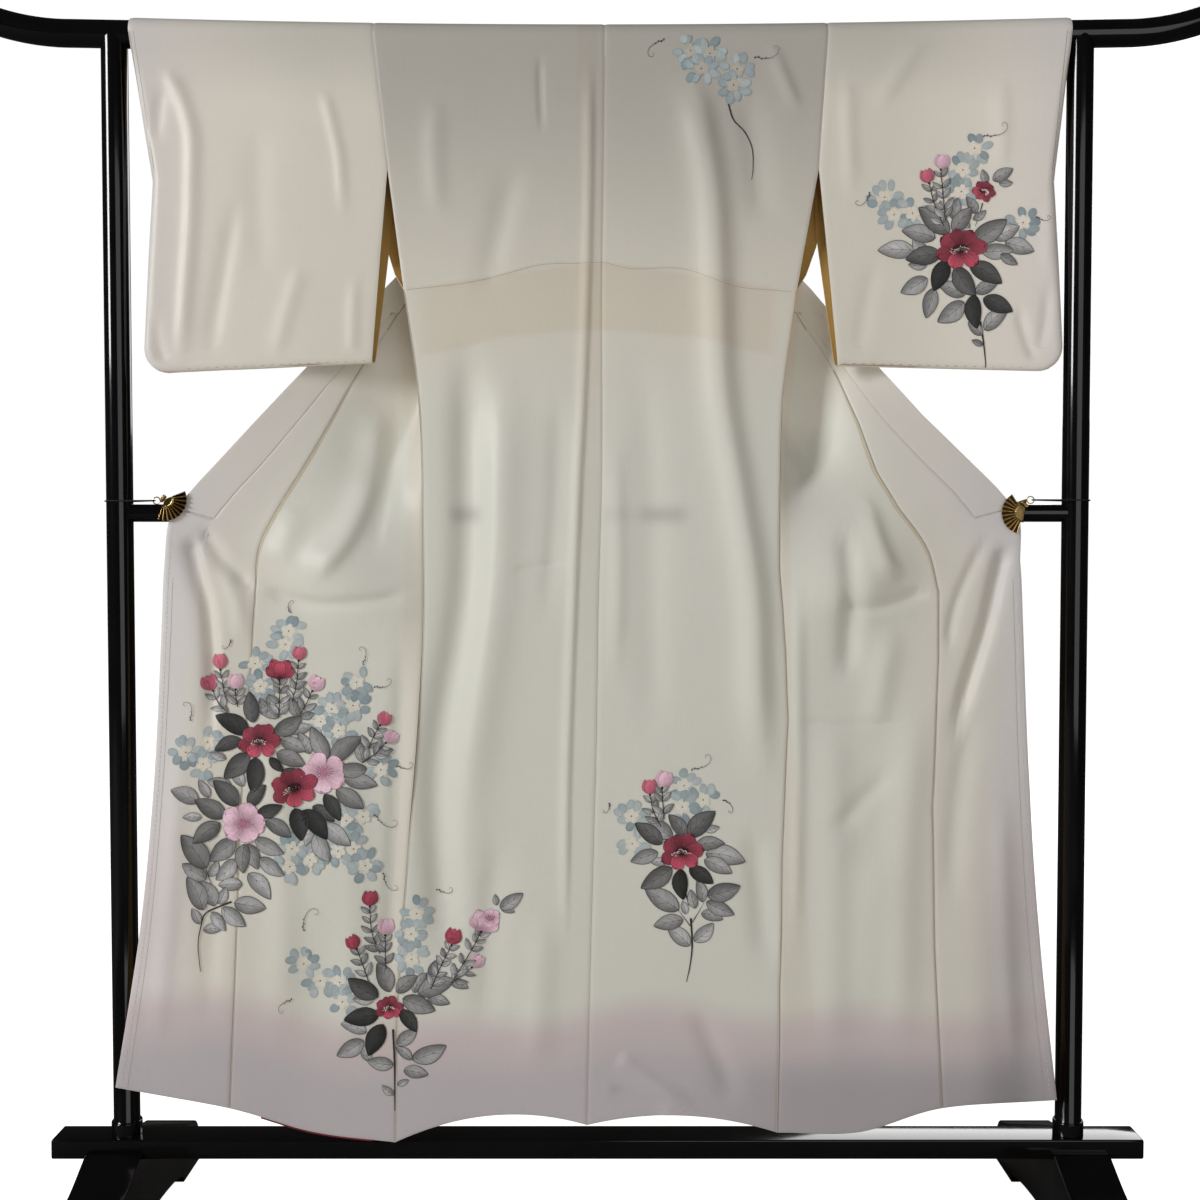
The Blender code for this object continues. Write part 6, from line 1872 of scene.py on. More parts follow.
SPRAYS: tuple[Spray, ...] = (
    Spray(
        "painted_shoulder", None,
        florets=(
            (130, 1699), (157, 1695), (145, 1674), (195, 1673), (190, 1651),
        ),
        tendrils=(
            (93, 1714, 72, 1692, -45), (220, 1690, 253, 1700, -40),
        ),
        stems=(
            (2.2, (183, 1624), (190, 1602), (207, 1584), (217, 1560), (218, 1532), (216, 1516)),
        ),
    ),
    Spray(
        "painted_sleeve", Panel.SLEEVE,
        leaves=(
            (492, 1437, 454, 1470, 42), (498, 1439, 521, 1470, 48), (526, 1426, 568, 1453, 46),
            (554, 1430, 587, 1445, 75), (539, 1411, 578, 1414, 64), (571, 1424, 607, 1413, 68),
            (565, 1408, 586, 1395, 50), (473, 1431, 431, 1440, 60), (444, 1413, 398, 1413, 74),
            (481, 1408, 437, 1401, 26), (489, 1399, 473, 1361, 2), (461, 1392, 438, 1393, 60),
            (501, 1390, 527, 1354, 24), (522, 1394, 562, 1370, 18), (462, 1374, 429, 1356, 64),
            (471, 1360, 462, 1323, 54), (515, 1351, 482, 1364, 58), (530, 1354, 558, 1367, 54),
            (514, 1341, 481, 1316, 60), (527, 1351, 532, 1309, 6), (541, 1346, 578, 1330, 12),
            (543, 1302, 572, 1328, 66), (540, 1295, 522, 1311, 58), (541, 1281, 527, 1287, 45),
            (553, 1512, 578, 1526, 60), (562, 1507, 579, 1508, 60), (530, 1465, 518, 1486, 54),
            (544, 1507, 539, 1525, 62), (464, 1399, 444, 1426, 72), (496, 1458, 503, 1484, 60),
            (526, 1456, 542, 1468, 62), (521, 1445, 509, 1458, 70),
        ),
        twigs=(
            (Bloom.ROSE, (458, 1529), (464, 1508), (472, 1477), (485, 1447)),
            (Bloom.PINK, (483, 1550), (480, 1527), (484, 1486), (487, 1456)),
        ),
        camellias=(
            (Bloom.RED, 508, 1414, 35, 100), (Bloom.RED, 540, 1497, 17, 25),
        ),
        florets=(
            (402, 1489), (415, 1464), (441, 1466), (511, 1527), (527, 1557), (509, 1496), (596, 1452),
        ),
        tendrils=(
            (381, 1495, 362, 1479, 35), (540, 1575, 572, 1589, -45), (615, 1460, 633, 1458, -40),
        ),
        stems=(
            (3.2, (537, 1314), (542, 1284), (546, 1248)), (1.6, (539, 1480), (535, 1465), (529, 1447)),
        ),
    ),
    Spray(
        "painted_front", None,
        leaves=(
            (-492, 735, -535, 757, 6), (-486, 750, -491, 789, 26), (-503, 726, -537, 712, 18),
            (-493, 706, -524, 675, 24), (-482, 701, -487, 655, 8), (-462, 701, -445, 683, 8),
            (-456, 735, -422, 756, 38), (-451, 757, -474, 779, 54), (-433, 735, -406, 743, 64),
            (-447, 726, -416, 711, 58), (-406, 706, -421, 733, 60), (-381, 699, -402, 739, 52),
            (-376, 696, -337, 726, 42), (-326, 684, -365, 686, 48), (-355, 669, -316, 662, 58),
            (-452, 708, -418, 691, 48), (-445, 682, -411, 669, 28), (-423, 757, -432, 782, 48),
            (-420, 758, -402, 762, 50), (-316, 704, -292, 711, 50), (-331, 694, -338, 721, 60),
            (-518, 662, -548, 667, 74), (-501, 660, -516, 686, 74), (-525, 699, -545, 706, 70),
            (-462, 760, -464, 787, 62), (-440, 767, -437, 782, 60), (-522, 765, -534, 777, 55),
            (-471, 760, -476, 782, 50), (-564, 638, -598, 653, 60), (-549, 644, -562, 666, 64),
            (-508, 633, -539, 664, 24), (-527, 616, -564, 638, 34), (-560, 616, -583, 616, 80),
            (-535, 607, -568, 582, 38), (-512, 584, -546, 556, 46), (-493, 631, -471, 659, 18),
            (-481, 620, -448, 632, 12), (-468, 612, -436, 591, 38), (-427, 629, -419, 588, 8),
            (-416, 626, -385, 590, 3), (-402, 632, -374, 613, 18), (-385, 649, -365, 616, 10),
            (-368, 656, -334, 632, 48), (-387, 607, -352, 580, 68), (-398, 593, -380, 558, 68),
            (-404, 602, -411, 578, 74), (-484, 585, -447, 568, 58), (-499, 578, -501, 541, 46),
            (-495, 578, -482, 546, 50), (-478, 558, -446, 537, 60), (-512, 556, -538, 529, 68),
            (-554, 543, -584, 586, 42), (-554, 528, -583, 548, 60), (-550, 531, -540, 551, 68),
            (-503, 521, -534, 519, 68), (-494, 536, -466, 504, 68), (-559, 484, -578, 526, 52),
            (-543, 489, -559, 521, 58), (-537, 492, -527, 514, 64), (-514, 494, -474, 488, 62),
            (-532, 487, -502, 464, 68), (-564, 464, -573, 484, 68), (-559, 455, -535, 457, 70),
            (-547, 480, -529, 457, 68),
        ),
        twigs=(
            (Bloom.ROSE, (-535, 848), (-533, 824), (-528, 801), (-525, 779)),
            (Bloom.ROSE, (-553, 817), (-545, 794), (-537, 779), (-525, 767)),
            (Bloom.PINK, (-511, 820), (-511, 796), (-510, 784), (-508, 772)),
            (Bloom.ROSE, (-420, 858), (-422, 837), (-425, 806), (-431, 779)),
            (Bloom.PINK, (-392, 816), (-403, 794), (-410, 779), (-418, 763)),
            (Bloom.ROSE, (-295, 764), (-307, 746), (-316, 730), (-325, 708)),
            (Bloom.PINK, (-285, 737), (-299, 721), (-314, 706), (-332, 693)),
            (Bloom.RED, (-448, 840), (-449, 810), (-449, 787), (-450, 757)),
        ),
        camellias=(
            (Bloom.RED, -477, 723, 31, 95), (Bloom.PINK, -386, 680, 33, 40),
            (Bloom.RED, -428, 657, 33, 120),
            (Bloom.PINK, -501, 607, 33, 75),
        ),
        florets=(
            (-436, 879), (-441, 860), (-484, 833), (-476, 801), (-551, 722), (-581, 708), (-557, 691),
            (-375, 769), (-391, 751), (-365, 739), (-345, 774), (-340, 807), (-306, 683), (-354, 612),
            (-331, 617), (-344, 572), (-366, 569), (-328, 548), (-406, 556), (-434, 547), (-431, 572),
        ),
        tendrils=(
            (-434, 906, -431, 922, 60), (-517, 866, -529, 855, 50), (-575, 754, -581, 779, -35),
            (-331, 833, -332, 857, -50), (-314, 801, -291, 810, -40), (-283, 688, -261, 691, -20),
            (-314, 620, -284, 605, -35), (-302, 536, -285, 512, -40),
        ),
        stems=(
            (2.6, (-518, 496), (-537, 488), (-556, 478), (-562, 460), (-566, 433), (-563, 396)),
            (1.4, (-554, 541), (-549, 524), (-544, 509)),
        ),
    ),
    Spray(
        "painted_side", None,
        leaves=(
            (-311, 360, -348, 385, 18), (-295, 367, -310, 404, 44), (-285, 367, -258, 388, 48),
            (-254, 365, -208, 383, 54), (-276, 358, -235, 343, 48), (-241, 360, -213, 352, 58),
            (-310, 335, -354, 329, 8), (-304, 321, -323, 281, 4), (-279, 342, -259, 314, 10),
            (-328, 310, -360, 321, 74), (-332, 298, -366, 278, 58), (-284, 292, -259, 312, 58),
            (-263, 271, -220, 289, 58), (-264, 271, -284, 287, 58), (-290, 263, -323, 268, 58),
            (-275, 255, -244, 250, 58), (-284, 234, -270, 241, 64), (-290, 220, -304, 232, 64),
            (-323, 268, -334, 289, 66), (-209, 383, -186, 374, 60), (-138, 486, -109, 506, 58),
            (-137, 486, -119, 482, 60), (-143, 490, -145, 504, 58), (-237, 389, -230, 410, 44),
            (-261, 367, -244, 392, 58), (-315, 360, -343, 358, 72),
        ),
        twigs=(
            (Bloom.RED, (-321, 513), (-322, 489), (-319, 452), (-308, 422)),
            (Bloom.RED, (-351, 449), (-340, 430), (-333, 410), (-324, 383)),
            (Bloom.PINK, (-299, 472), (-301, 447), (-301, 426), (-300, 399)),
            (Bloom.RED, (-202, 458), (-207, 433), (-222, 404), (-236, 372)),
            (Bloom.PINK, (-165, 420), (-178, 402), (-193, 390), (-207, 381)),
            (Bloom.PINK, (-156, 482), (-165, 452), (-179, 426), (-204, 385)),
        ),
        camellias=(
            (Bloom.RED, -295, 344, 20, 110), (Bloom.PINK, -152, 472, 15, 30),
        ),
        florets=(
            (-416, 408), (-393, 383), (-365, 382), (-361, 354), (-256, 479), (-264, 450), (-263, 414),
        ),
        tendrils=(
            (-416, 456, -397, 486, 30), (-433, 357, -450, 339, -30), (-228, 511, -206, 511, -45),
        ),
        stems=(
            (3.0, (-290, 314), (-288, 266), (-288, 232), (-288, 197)),
        ),
    ),
    Spray(
        "painted_back", None,
        leaves=(
            (91, 579, 57, 605, 26), (85, 567, 51, 555, 58), (124, 589, 103, 617, 34),
            (128, 589, 162, 621, 28),
            (138, 576, 175, 579, 48), (153, 565, 203, 554, 68), (151, 556, 186, 539, 64),
            (105, 545, 66, 519, 34), (117, 543, 121, 504, 3), (130, 545, 160, 525, 8),
            (105, 587, 78, 614, 58),
            (138, 487, 132, 511, 64), (149, 496, 142, 525, 58), (155, 505, 197, 517, 42),
            (154, 496, 189, 480, 54), (147, 480, 174, 472, 60), (115, 485, 72, 513, 58),
            (121, 471, 84, 463, 58), (131, 434, 102, 460, 74), (137, 440, 161, 463, 74),
            (125, 479, 121, 496, 74), (151, 598, 170, 602, 70), (98, 553, 77, 553, 78),
        ),
        twigs=(
            (Bloom.ROSE, (73, 671), (74, 648), (79, 625), (90, 603)),
            (Bloom.PINK, (97, 683), (91, 658), (92, 641), (94, 614)),
        ),
        camellias=(
            (Bloom.RED, 119, 567, 32, 105),
        ),
        florets=(
            (122, 661), (149, 641), (120, 631), (48, 618), (49, 579),
        ),
        tendrils=(
            (133, 685, 159, 703, -45), (178, 641, 189, 623, 50), (17, 636, 9, 623, 35),
        ),
        stems=(
            (2.6, (124, 510), (127, 500), (129, 491)), (2.8, (132, 473), (134, 435), (131, 406),
            (126, 382)),
            (1.2, (131, 462), (123, 473), (114, 485)), (1.2, (134, 467), (142, 480), (151, 496)),
        ),
    ),
)


# ---------------------------------------------------------------------------- stand
@dataclass
class Stand:
    """Black lacquered stand: swept top rail, posts, mid rail, plank and arched feet, in metres."""

    finishes: Finishes
    rail_radius: float = 0.019
    rail_high: float = 1.721
    rail_straight: float = 0.740
    bend_radius: float = 0.350
    bend_angle: float = math.radians(26.0)
    rail_edge: float = 0.003
    post_radius: float = 0.0185
    post_x: float = 0.681
    socket_radius: float = 0.0215
    socket_high: float = 0.020
    socket_chamfer: float = 0.002
    mid_radius: float = 0.0125
    mid_high: float = 1.046
    plank_size: tuple[float, float, float] = (1.564, 0.052, 0.028)
    plank_top: float = 0.150
    plank_edge: float = 0.0025
    foot_x: float = 0.690
    foot_width: float = 0.080
    foot_edge: float = 0.002
    foot_reach: float = 0.260
    pad_start: float = 0.170
    arch_high: float = 0.028
    seat_rise: float = 0.011
    toe: float = 0.006
    foot_top: tuple = ((0.0343, 0.1327), (0.106, 0.1005), (0.160, 0.090), (0.215, 0.077), (0.246, 0.062),
                       (0.260, 0.036))
    gap: float = 0.0003

    def lacquered(self, name: str, verts: Array, faces: list, node: str) -> bpy.types.Object:
        """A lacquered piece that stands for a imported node."""
        thing = make_object(name, verts, faces, [self.finishes.made["black lacquer"]])
        thing.data.set_sharp_from_angle(angle=math.radians(40.0))
        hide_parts(node)
        log.info("%s: %d faces", name, len(thing.data.polygons))
        return thing

    def build_top_rail(self) -> bpy.types.Object:
        """Round rail: straight, then an upward arc at each end: x = s + R sin a, z = h + R (1 - cos a)."""
        turn = np.linspace(0.0, self.bend_angle, 32)
        arc = np.stack([self.rail_straight + self.bend_radius * np.sin(turn), 0.0 * turn,
                        self.rail_high + self.bend_radius * (1 - np.cos(turn))], axis=-1)
        straight = np.linspace(-self.rail_straight, self.rail_straight, 9)[1:-1]
        middle = np.stack([straight, 0.0 * straight, 0.0 * straight + self.rail_high], axis=-1)
        path = np.concatenate([arc[::-1] * (-1, 1, 1), middle, arc])
        verts, faces = tube(path, self.rail_radius, 64, AWAY, rounding=self.rail_edge)
        return self.lacquered("rail_swept", verts, faces, "top_rail")

    def build_post(self, half: Half) -> bpy.types.Object:
        """Turned post whose top is cupped to the rail: z = rail - sqrt((R + gap)^2 - (r sin a)^2)."""
        low = self.plank_top + self.gap
        shoulder = low + self.socket_high
        edge = self.socket_chamfer
        turn = np.linspace(0.0, math.pi / 2, 6)
        radii = [0.0, self.socket_radius - 0.0006, self.socket_radius, *(self.socket_radius - edge
                 * (1 - np.cos(turn))), self.post_radius + 0.0006, self.post_radius]
        levels = [low, low, low + 0.0006, *(shoulder - edge + edge * np.sin(turn)), shoulder + 0.0008,
                  shoulder + 0.0016]
        angle = np.linspace(0.0, 2 * math.pi, 64, endpoint=False)
        ring = np.stack([np.cos(angle), np.sin(angle)], axis=-1)
        seat = self.rail_radius + self.gap

        def cup(radius: Array | float) -> Array:
            """Height of the cupped top at each angle."""
            return self.rail_high - np.sqrt(seat ** 2 - (radius * ring[:, 1]) ** 2)

        rows = [np.column_stack([ring * max(r, 1e-5), np.full(64, z)]) for r, z in zip(radii[1:], levels[1:])]
        start, top = levels[-1], cup(self.post_radius)
        rows += [np.column_stack([ring * self.post_radius, start + (top - start) * s])
                 for s in (0.25, 0.5, 0.75, 0.99, 1.0)]
        rows += [np.column_stack([ring * r, cup(r)]) for r in self.post_radius * np.array((0.97, 0.7, 0.35))]
        verts, faces = ring_mesh(np.array(rows))
        verts[:, 0] += self.post_x * half.sign
        return self.lacquered(f"post_{half.value}_turned", verts, faces, f"post_{half.value}")

    def build_mid_rail(self) -> bpy.types.Object:
        """Thinner rail whose ends are cupped to the posts: x = post - sqrt((R + gap)^2 - (r sin a)^2)."""
        angle = np.linspace(0.0, 2 * math.pi, 48, endpoint=False)
        seat = self.post_radius + self.gap
        rows = []
        shares = (0.3, 0.7, 0.96, 1.0)
        for side, share in [(-1, s) for s in shares] + [(1, s) for s in shares[::-1]]:
            across = self.mid_radius * share * np.cos(angle)
            end = self.post_x - np.sqrt(seat ** 2 - across ** 2)
            up = self.mid_high + self.mid_radius * share * np.sin(angle)
            rows.append(np.column_stack([side * end, across, up]))
        verts, faces = ring_mesh(np.array(rows))
        return self.lacquered("mid_rail_round", verts, faces, "mid_rail")

    def rounded_outline(self, width: float, low: Array, high: Array, edge: Array, corner: int = 5) -> Array:
        """Rounded rectangles in a plane: corners are quarter circles of radius edge.

        Args:
            width: full width.
            low: lower side of each rectangle.
            high: upper side of each.
            edge: corner radius of each.
            corner: points a corner.
        Returns:
            Across and up of every outline, rectangles by points by 2.
        """
        turn = np.linspace(0.0, math.pi / 2, corner)
        low, high, edge = (np.broadcast_to(v, np.shape(high))[:, None] for v in (low, high, edge))
        parts = []
        for quarter, (sx, sz) in enumerate(((1, 1), (-1, 1), (-1, -1), (1, -1))):
            a = turn + quarter * math.pi / 2
            across = sx * (width / 2 - edge) + edge * np.cos(a)
            up = (high - edge if sz > 0 else low + edge) + edge * np.sin(a)
            parts.append(np.stack([np.broadcast_to(across, up.shape), up], axis=-1))
        return np.concatenate(parts, axis=1)

    def build_plank(self) -> bpy.types.Object:
        """Long board with softened edges: one rounded rectangle carried along X, drawn in at both ends."""
        length, depth, thick = self.plank_size
        turn = np.linspace(0.0, math.pi / 2, 5)
        inset = self.plank_edge * (1 - np.sin(turn))
        ends = length / 2 - self.plank_edge * (1 - np.cos(turn))
        stations = np.concatenate([-ends, np.linspace(-0.74, 0.74, 3), ends[::-1]])
        inset = np.concatenate([inset, np.zeros(3), inset[::-1]])
        middle = self.plank_top - thick / 2
        half = np.full(len(stations), thick / 2)
        outline = self.rounded_outline(depth, -half, half, np.full(len(stations), self.plank_edge))
        outline *= (1 - inset / (thick / 2))[:, None, None] ** np.array((0.5, 1.0))
        rings = np.stack([np.broadcast_to(stations[:, None], outline.shape[:2]), outline[..., 0],
                          outline[..., 1] + middle], axis=-1)
        verts, faces = ring_mesh(rings)
        return self.lacquered("plank_board", verts, faces, "plank")

    def build_foot(self, half: Half) -> bpy.types.Object:
        """Arched foot: rounded rectangles carried along Y between its top line and its arched underside.

        The arch's height is H sin(acos(y / pad))^0.8; the top falls from the plank's seat to the toe.
        """
        seat = self.plank_top - self.plank_size[2] - self.gap
        half_seat = self.plank_size[1] / 2 + self.gap
        rim = seat + self.seat_rise
        knots = np.array([row[0] for row in self.foot_top])
        tops = np.array([rim] + [row[1] for row in self.foot_top[1:]])
        y = np.concatenate([np.linspace(0.0, half_seat - 1e-5, 4), [half_seat, half_seat + 0.0008],
                            np.linspace(half_seat + 0.002, 0.1695, 60), np.linspace(0.1701, 0.252, 30),
                            self.foot_reach - self.toe * (1 - np.sin(np.linspace(0.15, math.pi / 2, 9)))])
        top = np.where(y < half_seat, seat, np.where(y < half_seat + 0.0007, rim - 0.0008,
                                                     through(knots, tops, np.maximum(y, knots[0]))))
        top = np.where((y >= half_seat + 0.0007) & (y < knots[0]), rim, top)
        inside = np.clip(y / self.pad_start, 0.0, 1.0)
        arch = self.arch_high * np.sqrt(1.0 - inside ** 2) ** 0.8
        lift = np.clip(y - (self.foot_reach - self.toe), 0.0, None)
        rounded = self.toe - np.sqrt(np.maximum(self.toe ** 2 - lift ** 2, 0.0))
        low = np.where(y < self.pad_start, arch, rounded)
        y = np.concatenate([-y[::-1], y[1:]])
        top, low = (np.concatenate([v[::-1], v[1:]]) for v in (top, low))
        outline = self.rounded_outline(self.foot_width, low, top, np.full(len(y), self.foot_edge))
        rings = np.stack([outline[..., 0] + self.foot_x * half.sign,
                          np.broadcast_to(y[:, None], outline.shape[:2]), outline[..., 1]], axis=-1)
        verts, faces = ring_mesh(rings)
        faces = [f[:, ::-1] for f in faces]
        return self.lacquered(f"foot_{half.value}_arched", verts, faces, f"foot_{half.value}")

    def build(self) -> None:
        """Build every part of the stand."""
        self.build_top_rail()
        self.build_mid_rail()
        self.build_plank()
        for half in Half:
            self.build_post(half)
            self.build_foot(half)


# ---------------------------------------------------------------------------- clips
@dataclass
class FanClip:
    """Gilt spring clip in the shape of a folding fan, with its elastic loop round the post, millimetres."""

    half: Half
    finishes: Finishes
    out: float
    high: float
    dip: float
    jaw_deep: float
    fan: tuple[float, float, float]
    spring: tuple[float, float]
    ring: tuple[float, float]
    fan_deep: float = -24.3
    fan_radius: float = 31.0
    fan_spread: float = 65.0
    jaw_radius: float = 34.0
    heel: float = 0.5
    spread: float = 32.0
    pleats: int = 10
    pleat_height: float = 3.4
    ridge: float = 0.17
    hub: float = 10.5
    plate: float = 0.9
    barrel: float = 11.0
    coil_wire: float = 0.55
    coil_turns: int = 8
    ring_radius: float = 5.0
    ring_wire: float = 0.8
    cord_radius: float = 1.0
    post_x: float = 681.0
    post_radius: float = 18.5
    cord_wrap: tuple[float, float] = (-100.0, 125.0)
    cord_hook: tuple = ((4.0, 4.5), (1.0, 2.5), (0.0, 0.0), (1.0, -2.5), (4.0, -4.5))
    cord_inset: float = 2.4

    def place(self, points: Array) -> Array:
        """Turn out/deep/high millimetres into metres."""
        return points * (self.half.sign * MM, MM, MM)

    def piece(self, thing: bpy.types.Object, node: str) -> None:
        """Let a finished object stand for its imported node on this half."""
        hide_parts(f"{node}_{self.half.value}")
        log.info("%s: %d faces", thing.name, len(thing.data.polygons))

    def plated(self, name: str, grid: Array, hollow: Array, node: str) -> None:
        """Thin gilt plate on a grid of points in mm, with painted shade where hollow nears 1."""
        thing = Sheet(self.place(grid), self.plate * MM, None, self.half is Half.LEFT).build(
            f"{name}_{self.half.value}", [self.finishes.made["gilt"]])
        shade = np.broadcast_to(hollow, grid.shape[:2]).reshape(-1, 1)
        paint_points(thing, "recess_shade", np.tile(shade, (2, 3)))
        self.piece(thing, node)

    @staticmethod
    def polar(pivot: tuple, radius: Array, angle: Array, deep: Array) -> Array:
        """Points round a pivot (out, high, dip) at radii, degrees from its middle line and depths."""
        a = np.radians(angle + pivot[2])
        return np.stack([pivot[0] - radius * np.cos(a), deep, pivot[1] - radius * np.sin(a)], axis=-1)

    def build_fan(self) -> None:
        """Front plate: narrow bright ridges and wide hollows with painted shade beyond a hub with a raised
        rim; the hub inside its rim has painted shade too.
        """
        columns = self.pleats * 16
        angle = np.linspace(-self.fan_spread, self.fan_spread, columns + 1)[None, :]
        radius = np.concatenate([np.linspace(self.heel, self.hub - 2.0, 8),
                                 np.linspace(self.hub - 1.6, self.hub + 2.4, 14),
                                 np.linspace(self.hub + 3.0, self.fan_radius, 14)])[:, None]
        turns = np.linspace(0.0, self.pleats, columns + 1)[None, :]
        fold = np.exp(-((turns - np.round(turns)) / self.ridge) ** 2)
        grown = smooth(self.hub - 0.3, self.hub + 2.5, radius) * (0.6 + 0.4 * radius / self.fan_radius)
        rim = (0.7 * np.exp(-((radius - self.hub) / 0.6) ** 2)
               + 0.3 * smooth(self.hub, self.hub - 2.0, radius))
        deep = self.fan_deep + (0.5 - fold) * grown * self.pleat_height - rim
        edge = smooth(self.fan_radius - 4.0, self.fan_radius, radius)
        grid = self.polar(self.fan, radius + 1.1 * (fold - 1.0) * edge, angle, deep)
        # painted shade in the pleat hollows and on the hub inside its rim
        hollow = (1.0 - fold) * smooth(self.hub + 0.3, self.hub + 1.6, radius)
        hollow = hollow + 0.75 * smooth(self.hub - 0.5, self.hub - 1.5, radius)
        self.plated("fan", grid, hollow, "clip_fan")

    def build_jaw(self) -> None:
        """Back plate: a plain fan with painted shade all over."""
        angle = np.linspace(-self.spread, self.spread, 25)[None, :]
        radius = np.linspace(self.heel, self.jaw_radius, 14)[:, None]
        deep = self.jaw_deep + 0.0 * radius * angle
        grid = self.polar((self.out, self.high, self.dip), radius, angle, deep)
        # painted shade over the whole back plate
        self.plated("jaw", grid, np.array(0.85), "clip_jaw")

    def build_spring(self) -> None:
        """Coil between the plates on its pin: a helix r (cos t u + sin t v) + t pitch / 2 pi w."""
        radius = (self.jaw_deep - self.fan_deep - 1.0) / 2 - 0.3
        middle = np.array([self.spring[0], (self.fan_deep + self.jaw_deep) / 2, self.spring[1]])
        turn = math.radians(self.dip)
        axis = np.array([math.sin(turn), 0.0, -math.cos(turn)])
        first, second = np.array([math.cos(turn), 0.0, math.sin(turn)]), AWAY
        wire = self.coil_wire
        t = np.linspace(0.0, 1.0, self.coil_turns * 20 + 1)[:, None]
        a = t * self.coil_turns * 2 * math.pi
        coil = (middle + (radius - wire) * (np.cos(a) * first + np.sin(a) * second)
                + axis * (t - 0.5) * (self.barrel - 2 * wire))
        parts = [tube(self.place(coil), wire * MM, 8, axis * (self.half.sign, 1, 1))]
        pin = middle + axis * np.linspace(-0.5, 0.5, 7)[:, None] * self.barrel
        parts.append(tube(self.place(pin), (radius - 2 * wire - 0.05) * MM, 20, AWAY,
                          rounding=0.4 * MM))
        verts, faces, start = [], [], 0
        for points, lists in parts:
            verts.append(points)
            faces += [f + start for f in lists]
            start += len(points)
        thing = make_object(f"spring_{self.half.value}", np.concatenate(verts), faces,
                            [self.finishes.made["gilt"]])
        self.piece(thing, "clip_barrel")

    def ring_centre(self) -> Array:
        """Middle of the ring, halfway between the plates."""
        return np.array([self.ring[0], (self.fan_deep + self.jaw_deep) / 2, self.ring[1]])

    def build_ring(self) -> None:
        """Wire ring for the cord."""
        a = np.linspace(0.0, 2 * math.pi, 40, endpoint=False)
        circle = self.ring_centre() + self.ring_radius * np.stack([np.cos(a), 0.0 * a, np.sin(a)], axis=-1)
        verts, faces = tube(self.place(circle), self.ring_wire * MM, 12, AWAY, cyclic=True)
        thing = make_object(f"ring_{self.half.value}", verts, faces, [self.finishes.made["gilt"]])
        self.piece(thing, "clip_ring")

    def build_cord(self) -> None:
        """Elastic loop: an arc behind the post, two straight runs and a bight in the ring."""
        wrap = self.post_radius + 0.3 + self.cord_radius
        a = np.radians(np.linspace(*self.cord_wrap, 40))
        centre = self.ring_centre()
        near = centre[0] + self.cord_inset
        around = np.stack([self.post_x + wrap * np.cos(a), wrap * np.sin(a)], axis=-1)
        hook = np.array([(near + out, centre[1] + deep) for out, deep in self.cord_hook])
        share = np.linspace(0.0, 1.0, 10)[1:-1, None]
        bight = drawn(hook, 17)
        route = np.concatenate([around, around[-1] * (1 - share) + hook[0] * share, bight,
                                hook[-1] * (1 - share) + around[0] * share])
        path = np.column_stack([route, np.full(len(route), centre[2])])
        verts, faces = tube(self.place(path), self.cord_radius * MM, 12, UP, cyclic=True)
        thing = make_object(f"loop_{self.half.value}", verts, faces, [self.finishes.made["elastic"]])
        self.piece(thing, "clip_cord")

    def build(self) -> None:
        """Build the whole clip."""
        self.build_fan()
        self.build_jaw()
        self.build_spring()
        self.build_ring()
        self.build_cord()


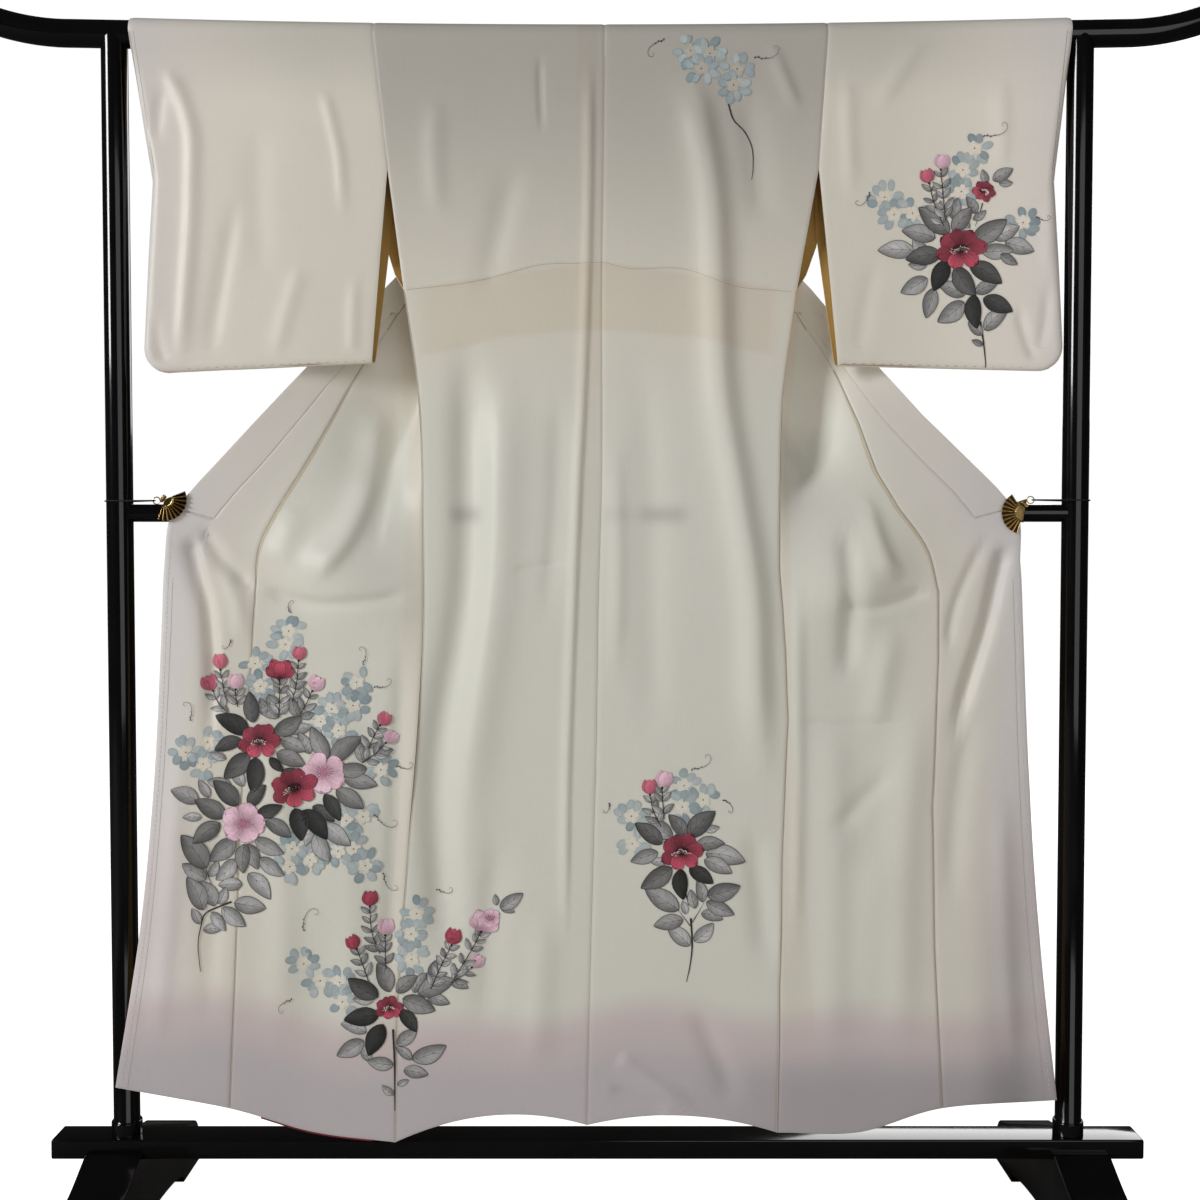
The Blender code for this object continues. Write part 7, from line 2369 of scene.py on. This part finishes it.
# ---------------------------------------------------------------------------- studio
@dataclass
class Studio:
    """Pale floor, soft light and the camera, metres."""

    eye: tuple[float, float, float] = (0.0036, -2.003, 0.992)
    pitch: float = -2.0
    focal: float = 42.07
    sensor: float = 36.0
    floor_colour: Colour = (0.92, 0.885, 0.82)
    bounce: Colour = (1.0, 0.95, 0.87)
    # name, place, aim, width and height, power, colour
    lights: tuple = (
        ("left window", (-5.4, -3.7, 3.2), (0.0, 0.0, 1.1), (1.8, 2.4), 238.0, (0.985, 1.0, 1.0)),
        ("room", (1.2, -3.2, 1.4), (0.0, 0.0, 1.0), (2.4, 2.2), 16.0, (1.0, 1.0, 1.0)),
        ("rear window", (2.2, 4.5, 2.8), (0.0, 0.0, 1.0), (2.5, 2.5), 70.0, (1.0, 1.0, 1.0)),
    )

    def build_camera(self) -> None:
        """Camera square to the kimono's back, tilted slightly down."""
        data = bpy.data.cameras.new("camera")
        data.lens, data.sensor_width, data.sensor_fit = self.focal, self.sensor, "HORIZONTAL"
        data.clip_end = 60.0
        camera = bpy.data.objects.new("camera", data)
        camera.location = self.eye
        camera.rotation_euler = (math.radians(90.0 + self.pitch), 0.0, 0.0)
        bpy.context.scene.collection.objects.link(camera)
        bpy.context.scene.camera = camera

    def build_floor(self) -> None:
        """Large plain floor that stays white to the camera but takes a soft shadow."""
        mesh = bpy.data.meshes.new("floor")
        mesh.from_pydata([(-12, -8, 0), (12, -8, 0), (12, 16, 0), (-12, 16, 0)], [], [(0, 1, 2, 3)])
        floor = bpy.data.objects.new("floor", mesh)
        bpy.context.scene.collection.objects.link(floor)
        finish = bpy.data.materials.new("paper floor")
        finish.use_nodes = True
        shader = finish.node_tree.nodes["Principled BSDF"]
        shader.inputs["Roughness"].default_value = 0.9
        shader.inputs["Emission Color"].default_value = (1.0, 1.0, 1.0, 1.0)
        nodes = Nodes(finish.node_tree)
        path = nodes.add("ShaderNodeLightPath")
        glow = nodes.math("MULTIPLY", path.outputs["Is Camera Ray"], 0.96)
        nodes.feed(shader.inputs["Emission Strength"], glow)
        base = nodes.mix(path.outputs["Is Glossy Ray"], (*self.floor_colour, 1.0), (0.06, 0.06, 0.06, 1.0))
        nodes.feed(shader.inputs["Base Color"], base)
        mesh.materials.append(finish)

    def build_world(self, seen: float, lit: float, mirrored: float) -> None:
        """White surroundings: one strength for the camera, one as light and a dim one for reflections."""
        world = bpy.data.worlds.new("studio")
        bpy.context.scene.world = world
        world.use_nodes = True
        nodes = Nodes(world.node_tree)
        background = world.node_tree.nodes["Background"]
        path = nodes.add("ShaderNodeLightPath")
        nodes.feed(background.inputs["Color"], nodes.mix(path.outputs["Is Camera Ray"], (*self.bounce, 1.0),
                                                         (1.0, 1.0, 1.0, 1.0)))
        base = nodes.math("MULTIPLY", path.outputs["Is Camera Ray"], seen - lit)
        dim = nodes.math("MULTIPLY", path.outputs["Is Glossy Ray"], mirrored - lit)
        nodes.feed(background.inputs["Strength"], nodes.math("ADD", nodes.math("ADD", base, dim), lit))

    def build_light(self, name: str, where: tuple, at: tuple, size: tuple, power: float,
                    colour: Colour) -> None:
        """Rectangular soft light aimed at a point."""
        data = bpy.data.lights.new(name, "AREA")
        data.shape, data.size, data.size_y, data.energy, data.color = "RECTANGLE", *size, power, colour
        light = bpy.data.objects.new(name, data)
        light.location = where
        light.rotation_euler = (Vector(at) - Vector(where)).to_track_quat("-Z", "Y").to_euler()
        bpy.context.scene.collection.objects.link(light)

    def build(self) -> None:
        """Camera, floor, surroundings and lights."""
        self.build_camera()
        self.build_floor()
        self.build_world(1.02, 0.15, 0.02)
        for row in self.lights:
            self.build_light(*row)
        view = bpy.context.scene.view_settings
        view.view_transform, view.look, view.exposure, view.gamma = "Standard", "None", 0.0, 1.0


def main() -> None:
    """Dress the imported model: stand, cloth, clips, then the studio."""
    logging.basicConfig(level=logging.INFO, format="%(name)s %(message)s")
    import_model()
    studio = Studio()
    studio.build()
    finishes = Finishes()
    finishes.build()
    Stand(finishes).build()
    cut = KimonoCut(creases=CREASES)
    dye = Dye()
    Kimono(cut, dye, finishes).build()
    Sewing(cut, finishes, dye).build()
    painter = Painter(cut, finishes, dye)
    for seed, spray in enumerate(SPRAYS):
        painter.paint(spray, seed + 11)
    FanClip(Half.LEFT, finishes, out=613.0, high=1066.0, dip=38.0, jaw_deep=-16.3,
            fan=(609.0, 1065.0, 44.0), spring=(613.0, 1066.0), ring=(622.0, 1063.0)).build()
    FanClip(Half.RIGHT, finishes, out=607.0, high=1066.0, dip=50.0, jaw_deep=-17.3,
            fan=(600.0, 1046.0, 8.0), spring=(603.0, 1058.0), ring=(611.0, 1064.0)).build()
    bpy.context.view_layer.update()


if __name__ == "__main__":
    main()
